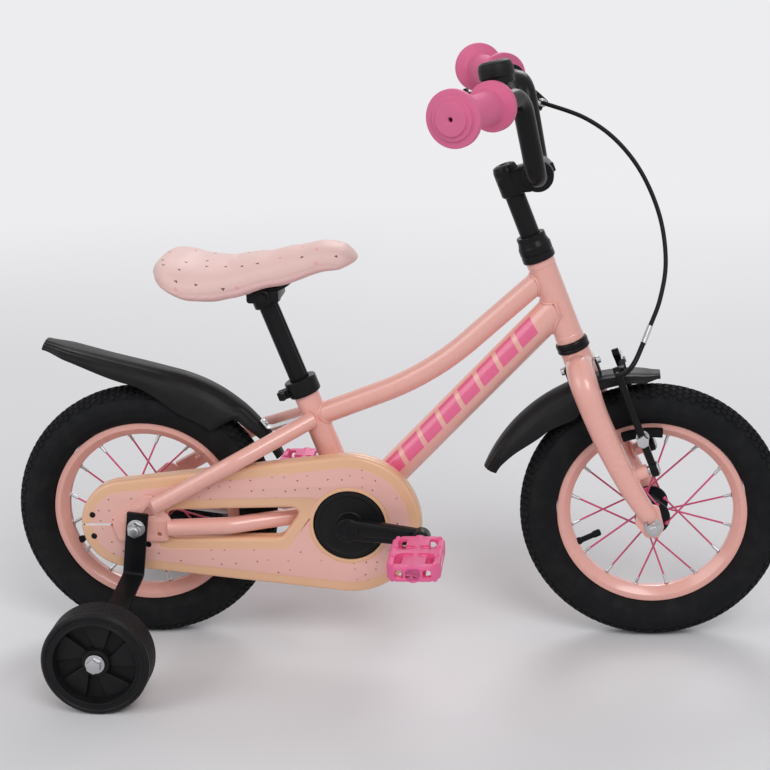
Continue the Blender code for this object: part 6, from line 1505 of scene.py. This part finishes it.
def bell():
    """A flat-topped dome on a band round the bar, with its thumb plate under it."""
    at, direction, up = bell_place()
    band = bar_band(at, direction, 0.006, 0.0141, 0.012)
    post = rod(at + up * 0.0128, at + up, 0.006, 0.008, 0.0003, 40)
    profile = mm((0, 44), (12, 43.8), (13.3, 43.2), (16.5, 41.5), (18.2, 37), (18.5, 33), (18.5, 27.2),
                 (17.8, 26.6), (17, 26.2), (17, 20), (16, 19.2), (0, 19.2))
    dome = lathe(eased(profile, 0.001), facing(at, up), 72)
    dressed(merged(band, post, dome), "bell_dome", "black_plastic", "steering", "bell")
    forward = direction.cross(up)
    forward = forward if forward.x > 0 else -forward
    back = (-forward + direction * 0.25).normalized()
    place = axes(at + up * 0.0165, back, up.cross(back))
    outlines = [belt((0, 0), 0.01, (0.0315, 0), 0.0065), circle((0, 0), 0.0065, 40)]
    plate = slab(outlines, 0.0036, place, 0.0007)
    tab = soften(cuboid((0.0035, 0.0115, 0.0085), place @ shifted(0.035, 0, 0.002)), 0.001, 3)
    return dressed(merged(plate, tab), "bell_thumb_plate", "black_plastic", "bell_thumb", "bell_lever")


# Saddle

def saddle_half_width(t):
    """Half the saddle's width, from its back edge at t = 0 to the nose at t = 1."""
    back = min(t / 0.16, 1)
    rounding = (1 - (1 - back) ** 2.4) ** 0.5
    shoulder = 1 / (1 + (max(t - 0.1, 0) / 0.36) ** 2.6)
    width = SADDLE_NOSE + (SADDLE_HALF - SADDLE_NOSE) * shoulder
    front = max((t - 0.9) / 0.1, 0)
    return width * rounding * max(1 - front ** 2.2, 0) ** 0.5


def saddle_heights(t):
    """The crown, the crease and the floor of the saddle at t."""
    roof = seat(POST_TOP).z + SADDLE_ABOVE_POST
    crown = roof + SADDLE_DEPTH * between(t, SADDLE_CROWN)
    floor = roof + SADDLE_DEPTH * between(t, SADDLE_FLOOR)
    crease = floor + (crown - floor) * between(t, SADDLE_CREASE)
    back = (1 - max(1 - t / 0.08, 0) ** 2) ** 0.5
    under = (1 - max(1 - t / 0.26, 0) ** 2) ** 0.62
    tip = max(1 - max((t - 0.88) / 0.12, 0) ** 2.4, 0) ** 0.5
    return crease + (crown - crease) * back * tip, crease, crease - (crease - floor) * under


def saddle_shape(inset):
    """A sphere drawn out into the saddle's form, drawn in all round by inset."""
    deselect()
    bpy.ops.mesh.primitive_uv_sphere_add(segments=64, ring_count=64, radius=1)
    obj = bpy.context.object
    back = seat(POST_TOP).x - SADDLE_BEHIND
    for vert in obj.data.vertices:
        unit = vert.co.normalized()
        t = 0.5 - 0.5 * cos(acos(max(-1, min(1, unit.z))))
        ring = hypot(unit.x, unit.y) or 1
        across, up = unit.x / ring, unit.y / ring
        width = max(saddle_half_width(t) - inset, 0)
        crown, crease, floor = saddle_heights(t)
        crown, floor = crown - inset, floor + inset
        if up > -1e-6:
            height = crease + (crown - crease) * max(up, 0) ** 0.75
            y = width * across * (1 - 0.02 * abs(across) ** 2.2)
        else:
            height = crease - (crease - floor) * (-up) ** 0.45
            y = width * abs(across) ** 0.62 * (1 if across > 0 else -1)
        vert.co = Vector((back + inset + (SADDLE_LENGTH - 2 * inset) * t, y, height))
    return clean(obj, 0.00005)


def saddle_pocket():
    roof = seat(POST_TOP).z + SADDLE_ABOVE_POST
    middle = Vector((seat(POST_TOP).x + 0.002, 0, roof - 0.025))
    return cuboid((0.1286, 0.0544, 0.05), Matrix.Translation(middle))


def nearest_t(x):
    return min(max((x - seat(POST_TOP).x + SADDLE_BEHIND) / SADDLE_LENGTH, 0), 1)


def padded_out(obj, steps=20, cap=0.0035):
    """Air pressure rounds the cover out, no point further than cap and none of it below the crease."""
    puffed = copied(obj)
    group = puffed.vertex_groups.new(name="base")
    for vert in puffed.data.vertices:
        crease = saddle_heights(nearest_t(vert.co.x))[1]
        below = (crease + 0.004 - vert.co.z) / 0.01
        group.add([vert.index], min(max(below, 0.0), 1.0), "REPLACE")
    cloth = puffed.modifiers.new("Cover", "CLOTH")
    cloth.settings.use_pressure = True
    cloth.settings.uniform_pressure_force = 4
    cloth.settings.vertex_group_mass = group.name
    cloth.settings.effector_weights.gravity = 0
    scene = bpy.context.scene
    for step in range(1, steps + 1):
        scene.frame_set(step)
    swollen = puffed.evaluated_get(bpy.context.evaluated_depsgraph_get()).to_mesh()
    for vert, moved in zip(obj.data.vertices, swollen.vertices):
        shift = moved.co - vert.co
        if shift.length > cap:
            shift *= cap / shift.length
        vert.co = vert.co + shift
    puffed.to_mesh_clear()
    bpy.data.objects.remove(puffed, do_unlink=True)
    scene.frame_set(1)
    return obj


def saddle():
    """The padded cover: rounded by pressure, creased along its side and printed."""
    pad = carve(saddle_shape(0.0008), saddle_pocket())
    modified(pad, "REMESH", mode="VOXEL", voxel_size=0.0034)
    modified(pad, "SMOOTH", factor=0.5, iterations=2)
    padded_out(pad)
    modified(pad, "SUBSURF", levels=1, render_levels=1)
    depth = sizes().crease_depth
    mesh = pad.data
    mesh.attributes.new("print_place", "FLOAT_VECTOR", "POINT")
    mesh.attributes.new("lower_band", "FLOAT", "POINT")
    place, band = mesh.attributes["print_place"], mesh.attributes["lower_band"]
    normals = [Vector(vert.normal) for vert in mesh.vertices]
    for vert, normal in zip(mesh.vertices, normals):
        t = nearest_t(vert.co.x)
        crown, crease, floor = saddle_heights(t)
        line = crease - (crown - floor) * 0.1
        away = (vert.co.z - line) / 0.0016
        side = 1 - min(abs(normal.z), 1) ** 4
        vert.co = vert.co - normal * depth * side * exp(-away * away)
        over = (vert.co.z - crease) * (1 if vert.co.y < 0 else -1)
        place.data[vert.index].vector = (vert.co.x, vert.co.y + over, 0)
        band.data[vert.index].value = 1 / (1 + exp(min(max(away * 1.4, -30), 30)))
    dressed(pad, "saddle_cover", "saddle_cover", "seat", "saddle", angle=60)
    return pad


def saddle_clamp():
    """The clamp on the post, its cradle and the two rails, with the bolt through them."""
    top, centre = POST_TOP, seat(POST_TOP)
    collar = turned(seat(top - 0.012), seat(top + 1), mm((14.3, 0), (15.3, 1), (15.3, 16.5), (14, 18)),
                    0.0008)
    collar = carve(collar, cylinder(seat(top - 0.03), seat(top), POST_RADIUS + FIT, sides=48))
    rail_z = centre.z + SADDLE_ABOVE_POST - FIT - 0.0032
    cradle = cuboid((0.036, 0.05, rail_z - centre.z + 0.004),
                    shifted(centre.x + 0.002, 0, (rail_z + centre.z - 0.004) / 2))
    cradle = soften(cradle, 0.0035, 4)
    teeth = []
    for side in (-1, 1):
        teeth.append(turned(Vector((centre.x + 0.002, side * 0.0235, centre.z + 0.003)),
                            Vector((centre.x + 0.002, side, centre.z + 0.003)),
                            mm((10, 0), (10, 3), (8.5, 4)), 0.0006, 40))
    rails = []
    for side in (-1, 1):
        at = Vector((centre.x + 0.002, side * 0.02, rail_z))
        rise = [at + Vector((0.01 + 0.003 * i, 0, 0.0002 * i * i)) for i in range(9)]
        rails.append(pipe([at - Vector((0.064, 0, 0)), *rise], 0.0032, 20))
    dressed(merged(collar, cradle, *teeth), "saddle_bracket", "black_paint", "seat", "saddle_clamp")
    dressed(merged(*rails), "saddle_rails", "black_paint", "seat")
    bolts = []
    for side in (-1, 1):
        at = Vector((centre.x + 0.002, side * 0.0265, centre.z + 0.003))
        bolts.append(hex_nut(at, at + SIDE * side * 0.0045, 0.006))
    return dressed(merged(*bolts), "saddle_bolt", "black_paint", "seat")


def seat_post():
    """A fluted post: shallow grooves run its whole length."""
    outline = []
    for i in range(160):
        turn = 2 * pi * i / 160
        flute = exp(-((abs((turn * 8 / (2 * pi)) % 1 - 0.5)) / 0.17) ** 2)
        outline.append(polar(POST_RADIUS - 0.0009 * flute, turn))
    post = slab([outline], 0.183, facing(seat(0.1795), UP), 0.0004)
    return dressed(post, "seat_post_tube", "black_paint", "seat", "seat_post")


# Fenders

def guard(spine, half_widths, depths, ribs):
    """An arched section swept along a spine of (point, outward direction) pairs."""
    across = 32
    stations = len(spine)
    deselect()
    bpy.ops.mesh.primitive_grid_add(x_subdivisions=stations - 1, y_subdivisions=across, size=2)
    obj = bpy.context.object
    for vert in obj.data.vertices:
        i = round((vert.co.x + 1) / 2 * (stations - 1))
        v = vert.co.y
        point, outward = spine[i]
        y = half_widths[i] * sin(v * pi / 2)
        fall = depths[i] * (1 - abs(cos(v * pi / 2)) ** 0.8)
        lip = 0.0006 * exp(-((abs(v) - 0.96) / 0.03) ** 2)
        fall += sum(depth * exp(-((abs(v) - at) / width) ** 2) for at, width, depth in ribs) - lip
        vert.co = point - outward * fall + SIDE * y
    clean(obj)
    return modified(obj, "SOLIDIFY", thickness=GUARD_WALL, offset=-1)


def above_rear_wheel(angle, proud=0.0):
    """A point on the rear fender's crown, at an angle forward of the top of the wheel."""
    radius, start = REAR_GUARD_RADIUS + proud, REAR_GUARD_BEND
    if angle >= start:
        return REAR_AXLE + Vector((radius * sin(angle), 0, radius * cos(angle)))
    base = REAR_AXLE + Vector((radius * sin(start), 0, radius * cos(start)))
    return base + Vector((-cos(start), 0, sin(start))) * REAR_GUARD_RADIUS * (start - angle)


def rear_fender():
    spine, widths, depths = [], [], []
    tail, end = REAR_GUARD_BEND - REAR_GUARD_TAIL / REAR_GUARD_RADIUS, REAR_GUARD_END
    for i in range(66):
        run = i / 65
        angle = tail + (end - tail) * run
        flat = max(angle, REAR_GUARD_BEND)
        spine.append((above_rear_wheel(angle), Vector((sin(flat), 0, cos(flat)))))
        widths.append(0.027 * between(run, [(0, 0.6), (0.1, 0.98), (0.72, 1.0), (0.78, 0.7), (1.0, 0.52)]))
        depths.append(between(run, [(0, 0.009), (0.34, 0.022), (0.58, 0.042), (0.725, 0.041),
                                    (0.775, 0.015), (1.0, 0.006)]))
    obj = guard(spine, widths, depths, ((0.34, 0.035, 0.0014), (0.52, 0.035, 0.0014), (0.7, 0.035, 0.001)))
    dressed(obj, "rear_fender_blade", "black_plastic", "frame", "rear_fender")
    strap = softened("rear_fender_bracket", 0.0004)
    dressed(strap, "rear_fender_strap", "silver_steel", "frame", "rear_fender_bracket")
    angle = radians(67 - 13)
    outward = Vector((sin(angle), 0, cos(angle)))
    at = above_rear_wheel(angle, 0.0014) - Vector((cos(angle), 0, -sin(angle))) * 0.002
    screw = turned(at, at + outward, [(0.004, 0), (0.004, 0.001), (0.0026, 0.0022), (0.0012, 0.0016)],
                   0.0003, 24)
    return dressed(screw, "rear_fender_screw", "silver_steel", "frame")


def front_fender():
    spine, widths, depths = [], [], []
    tail, tip = radians(74), radians(-3)
    for i in range(60):
        run = i / 59
        angle = tail + (tip - tail) * run
        radius = 0.165 + 0.0253 * max(angle, 0)
        point = FRONT_AXLE + Vector((-radius * sin(angle), 0, radius * cos(angle)))
        spine.append((point, Vector((-sin(angle), 0, cos(angle)))))
        widths.append(0.026 * between(run, [(0, 0.7), (0.1, 0.95), (0.2, 1.0), (0.9, 0.92), (1.0, 0.6)]))
        depths.append(between(run, [(0, 0.015), (0.3, 0.031), (0.48, 0.036), (0.66, 0.013), (0.9, 0.009),
                                    (1.0, 0.004)]))
    obj = guard(spine, widths, depths, ((0.4, 0.035, 0.0012), (0.62, 0.035, 0.001)))
    tabs, heads = [obj], []
    for way in (-1, 1):
        at = steer(0.1887, way * 0.018)
        tabs.append(soften(cuboid((0.0022, 0.014, 0.026), axes(steer(0.1787, way * 0.018), AHEAD, SIDE)),
                           0.0008, 2))
        heads.append(turned(at, at + AHEAD * way, [(0.0048, 0), (0.0048, 0.0014), (0.0042, 0.0016),
                                                   (0.0042, 0.0048), (0.0034, 0.0053)], 0.0003, 24))
    dressed(merged(*tabs), "front_fender_blade", "black_plastic", "steering", "front_fender")
    return dressed(merged(*heads), "front_fender_bolts", "silver_steel", "steering")


# Stabilisers

def leaned(point):
    """A point turned about the rear axle with the stabilisers' bracket."""
    return REAR_AXLE + Matrix.Rotation(STABILISER_LEAN, 3, "Y") @ (point - REAR_AXLE)


def stabiliser_hub(out):
    return leaned(REAR_AXLE + Vector((0, out, -0.092794)))


def stabiliser_bracket(side):
    route = [(side * 0.0573, 0.017), (side * 0.0573, -0.058), (side * 0.172, -0.0768),
             (side * 0.172, -0.1058)]
    line = [tuple(point) for point in filleted([Vector(point) for point in route], 0.006, 6)]
    upright = axes(Vector((0, 0, 0)), SIDE, Vector((0, 0, 1)))
    place = Matrix.Translation(REAR_AXLE) @ Matrix.Rotation(STABILISER_LEAN, 4, "Y") @ upright
    arm = slab([strip(line, 0.004)], 0.024, place, 0.0007)
    holes = [cylinder(REAR_AXLE + SIDE * side * 0.04, REAR_AXLE + SIDE * side * 0.08, BOLT_HOLE),
             cylinder(stabiliser_hub(side * 0.152), stabiliser_hub(side * 0.192), BOLT_HOLE)]
    label = side_name(side)
    return dressed(carve(arm, *holes), f"stabiliser_arm_{label}", "black_paint", "frame",
                   f"stabiliser_bracket_{label}")


def stabiliser_bolt(side):
    label = side_name(side)
    way = (stabiliser_hub(side) - stabiliser_hub(0)).normalized()

    def piece(start, stop, radius):
        at = stabiliser_hub(side * start)
        return rod(at, at + way, radius, stop - start, steps=32)

    pieces = [cylinder(stabiliser_hub(side * 0.162), stabiliser_hub(side * 0.212), 0.0048),
              piece(0.1743, 0.1805, 0.0085), piece(0.2086, 0.2102, 0.0105)]
    for start, stop, radius in ((0.163, 0.1697, 0.0085), (0.21, 0.217, 0.008)):
        pieces.append(hex_nut(stabiliser_hub(side * start), stabiliser_hub(side * stop), radius))
    return dressed(merged(*pieces), f"stabiliser_axle_{label}", "silver_steel", "frame",
                   f"stabiliser_bolt_{label}")


def stabiliser_wheel(side):
    """A moulded wheel with ridged tread, a thin lip, and a fan of five broad blades in its face."""
    half, outer, web = STABILISER_HALF, STABILISER_RADIUS, 0.003
    tread = [(0.053, half), (0.0555, half - 0.0004), (outer, half - 0.003)]
    for middle in (0.0095, 0.0048, 0.0, -0.0048, -0.0095):
        tread += [(outer, middle + 0.0012), (outer - 0.0018, middle + 0.0004),
                  (outer - 0.0018, middle - 0.0004), (outer, middle - 0.0012)]
    tread += [(outer, -half + 0.003), (0.0555, -half + 0.0004), (0.053, -half)]
    face = [(0.052, half - 0.0012), (0.047, half - 0.0012), (0.0462, half), (0.0445, half), (0.0428, web),
            (0.0165, web), (0.015, half - 0.006), (0.0145, half - 0.0042), (AXLE_BORE, half - 0.0042)]
    profile = tread + [(radius, -level) for radius, level in face] + face[::-1]
    centre = stabiliser_hub(side * STABILISER_OUT)
    place = on_axle(centre) if side > 0 else side_on(centre)
    wheel = ring_shape(profile, place, 0.0006, 96)
    outline = [polar(0.014, turn) for turn in (-0.3, 0.0, 0.3)]
    outline += [polar(0.0446, turn) for turn in (0.62, 0.47, 0.32, 0.17, 0.02, -0.13)]
    blades = [slab([outline], 2 * half - 0.016, place @ spun(2 * pi * i / 5), 0.0012) for i in range(5)]
    label = side_name(side)
    return dressed(merged(wheel, *blades), f"stabiliser_disc_{label}", "black_plastic",
                   f"{label}_stabiliser", f"stabiliser_wheel_{label}")


# Stage

def make_floor():
    """A wide pale floor, slightly mottled, that keeps the bicycle's shadow."""
    deselect()
    bpy.ops.mesh.primitive_circle_add(vertices=96, radius=12, fill_type="NGON", location=(0, 0, 0))
    floor = placed(bpy.context.object)
    with editing(floor):
        bpy.ops.mesh.inset(thickness=2)
    colours = bpy.context.scene.bike_colours
    tree, shader = surface("studio_floor", colours.floor, 0.75, drift=0.02, grain=40, depth=0.0001,
                           spread=0.08, shine=0.0)
    length = vector_math(tree, "LENGTH", object_place(tree), output="Value")
    far = node(tree, "ShaderNodeMapRange", {"Value": length, "From Min": 0.7, "From Max": 3.0},
               interpolation_type="SMOOTHERSTEP").outputs[0]
    rays = node(tree, "ShaderNodeLightPath").outputs
    seen = calc(tree, "MAXIMUM", rays["Is Camera Ray"], rays["Is Glossy Ray"])
    glow = blended(tree, calc(tree, "MULTIPLY", far, seen), (0, 0, 0, 1), (*colours.floor, 1))
    tree.links.new(glow, shader.inputs["Emission Color"])
    shader.inputs["Emission Strength"].default_value = 1
    recoloured(tree, shader, far, (0.02, 0.02, 0.02))
    floor.name = "studio_floor"
    coated(floor, "studio_floor")
    return floor


def make_world():
    """Soft even light all round, in the floor's own pale colour beyond the floor's edge."""
    world = bpy.data.worlds.new("studio_air")
    bpy.context.scene.world = world
    world.use_nodes = True
    tree = world.node_tree
    background = tree.nodes["Background"]
    rays = node(tree, "ShaderNodeLightPath").outputs
    seen = calc(tree, "MAXIMUM", calc(tree, "MAXIMUM", rays["Is Camera Ray"], rays["Is Glossy Ray"]),
                rays["Is Transmission Ray"])
    background.inputs["Color"].default_value = (*bpy.context.scene.bike_colours.floor, 1)
    tree.links.new(calc(tree, "MULTIPLY_ADD", seen, 0.55, 0.45), background.inputs["Strength"])


def lamp(name, location, target, size, power):
    deselect()
    bpy.ops.object.light_add(type="AREA", location=location)
    light = bpy.context.object
    light.name = name
    light.data.shape = "DISK"
    light.data.size = size
    light.data.energy = power
    light.rotation_euler = (Vector(target) - Vector(location)).to_track_quat("-Z", "Y").to_euler()
    return light


def make_camera():
    """The photograph's own viewpoint: low from the right, turned a little to the front."""
    yaw, pitch, roll = 0.058, 0.246, -0.019
    view = Vector((-sin(yaw) * cos(pitch), cos(yaw) * cos(pitch), -sin(pitch)))
    right = Vector((cos(yaw), sin(yaw), 0))
    over = right.cross(view)
    tilted = right * cos(roll) + over * sin(roll)
    upright = over * cos(roll) - right * sin(roll)
    deselect()
    bpy.ops.object.camera_add()
    camera = bpy.context.object
    camera.name = "photograph_view"
    camera.matrix_world = (Matrix.Translation((0.20925, -1.7999, 0.8678))
                           @ Matrix((tilted, upright, -view)).transposed().to_4x4())
    camera.data.lens = 78.43
    camera.data.sensor_width = 36
    camera.data.shift_x = -0.12987
    camera.data.shift_y = -0.12987
    camera.data.clip_start = 0.05
    camera.data.clip_end = 40
    bpy.context.scene.camera = camera


class BIKE_OT_stage(bpy.types.Operator):
    """Set the floor, the light and the camera"""

    bl_idname = "bike.stage"
    bl_label = "Stage"

    def execute(self, context):
        make_floor()
        make_world()
        lamp("key_lamp", (1.2, -2.4, 2.6), (0, 0, 0.3), 1.8, 42)
        lamp("fill_lamp", (-2.2, -1.6, 1.8), (0, 0, 0.3), 2.0, 20)
        lamp("back_lamp", (0.2, 2.4, 2.2), (0, 0, 0.35), 1.6, 28)
        make_camera()
        context.scene.view_settings.view_transform = "Standard"
        return {"FINISHED"}


class BIKE_OT_wheels(bpy.types.Operator):
    """Build both wheels: tyres, rims, spokes, hubs and axles"""

    bl_idname = "bike.wheels"
    bl_label = "Wheels"

    def execute(self, context):
        for name, axle, barrel, flange, half, body in (
                ("rear", REAR_AXLE, 0.021, 0.025, 0.032, "rear_wheel"),
                ("front", FRONT_AXLE, 0.013, 0.02, 0.038, "front_wheel")):
            tyre(name, axle, body)
            rim(name, axle, body)
            spokes(name, axle, flange, body)
            hub(name, axle, barrel, flange, half, body)
        axle_set("rear", REAR_AXLE, 0.051, 0.0083, 0.046, "frame")
        axle_set("front", FRONT_AXLE, 0.046, 0.004, 0.039, "steering")
        return {"FINISHED"}


class BIKE_OT_frame(bpy.types.Operator):
    """Build the frame's tubes, stays, dropouts and cups"""

    bl_idname = "bike.frame_tubes"
    bl_label = "Frame"

    def execute(self, context):
        frame_tubes()
        bottom_shell()
        for side in (-1, 1):
            dropout(side)
            stays(side)
        seat_collar()
        headset()
        return {"FINISHED"}


class BIKE_OT_drive(bpy.types.Operator):
    """Build the chaincase, the cogs, the cranks and the pedals"""

    bl_idname = "bike.drive"
    bl_label = "Drive"

    def execute(self, context):
        chaincase()
        chainring()
        driver()
        coaster_arm()
        for side in (-1, 1):
            crank(side, -side)
            pedal(side, -side)
        return {"FINISHED"}


class BIKE_OT_steering(bpy.types.Operator):
    """Build the fork, stem, handlebar, grips and bell"""

    bl_idname = "bike.steering"
    bl_label = "Steering"

    def execute(self, context):
        fork()
        stem()
        handlebar()
        for side in (-1, 1):
            grip(side)
        bell()
        return {"FINISHED"}


class BIKE_OT_brake(bpy.types.Operator):
    """Build the front brake: lever, cable and both arms"""

    bl_idname = "bike.brake"
    bl_label = "Front brake"

    def execute(self, context):
        lever_bracket()
        brake_lever()
        for side in (-1, 1):
            brake_arm(side)
        brake_cable()
        return {"FINISHED"}


class BIKE_OT_saddle(bpy.types.Operator):
    """Build the padded saddle, its clamp and its post"""

    bl_idname = "bike.saddle"
    bl_label = "Saddle"

    def execute(self, context):
        saddle()
        saddle_clamp()
        seat_post()
        return {"FINISHED"}


class BIKE_OT_fenders(bpy.types.Operator):
    """Build both fenders and their fixings"""

    bl_idname = "bike.fenders"
    bl_label = "Fenders"

    def execute(self, context):
        rear_fender()
        front_fender()
        return {"FINISHED"}


class BIKE_OT_stabilisers(bpy.types.Operator):
    """Build both stabilisers with their brackets and bolts"""

    bl_idname = "bike.stabilisers"
    bl_label = "Stabilisers"

    def execute(self, context):
        for side in (-1, 1):
            stabiliser_bracket(side)
            stabiliser_bolt(side)
            stabiliser_wheel(side)
        return {"FINISHED"}


class BIKE_OT_kept_solids(bpy.types.Operator):
    """Give the solids that stay as they are their finish"""

    bl_idname = "bike.kept_solids"
    bl_label = "Kept solids"

    def execute(self, context):
        for name, look in (("chain", "dark_steel"), ("crank_spindle", "silver_steel")):
            coated(frame["nodes"][name], look)
        return {"FINISHED"}


STEPS = (BIKE_OT_finishes, BIKE_OT_frame, BIKE_OT_wheels, BIKE_OT_drive, BIKE_OT_steering, BIKE_OT_brake,
         BIKE_OT_saddle, BIKE_OT_fenders, BIKE_OT_stabilisers, BIKE_OT_kept_solids, BIKE_OT_stage)


class BIKE_PT_panel(bpy.types.Panel):
    """Lists the bicycle's steps with its colours and sizes."""

    bl_label = "Bicycle"
    bl_idname = "BIKE_PT_panel"
    bl_space_type = "VIEW_3D"
    bl_region_type = "UI"
    bl_category = "Bicycle"

    def draw(self, context):
        for step in STEPS:
            self.layout.operator(step.bl_idname)
        for settings in (context.scene.bike_colours, context.scene.bike_sizes):
            box = self.layout.box()
            for name in settings.bl_rna.properties.keys():
                if name not in ("rna_type", "name"):
                    box.prop(settings, name)


def register():
    for kind in (BikeColours, BikeSizes, *STEPS, BIKE_PT_panel):
        bpy.utils.register_class(kind)
    bpy.types.Scene.bike_colours = bpy.props.PointerProperty(type=BikeColours)
    bpy.types.Scene.bike_sizes = bpy.props.PointerProperty(type=BikeSizes)


def unregister():
    del bpy.types.Scene.bike_sizes
    del bpy.types.Scene.bike_colours
    for kind in reversed((BikeColours, BikeSizes, *STEPS, BIKE_PT_panel)):
        bpy.utils.unregister_class(kind)


def main():
    register()
    for step in STEPS:
        group, name = step.bl_idname.split(".")
        getattr(getattr(bpy.ops, group), name)()


if __name__ == "__main__":
    main()
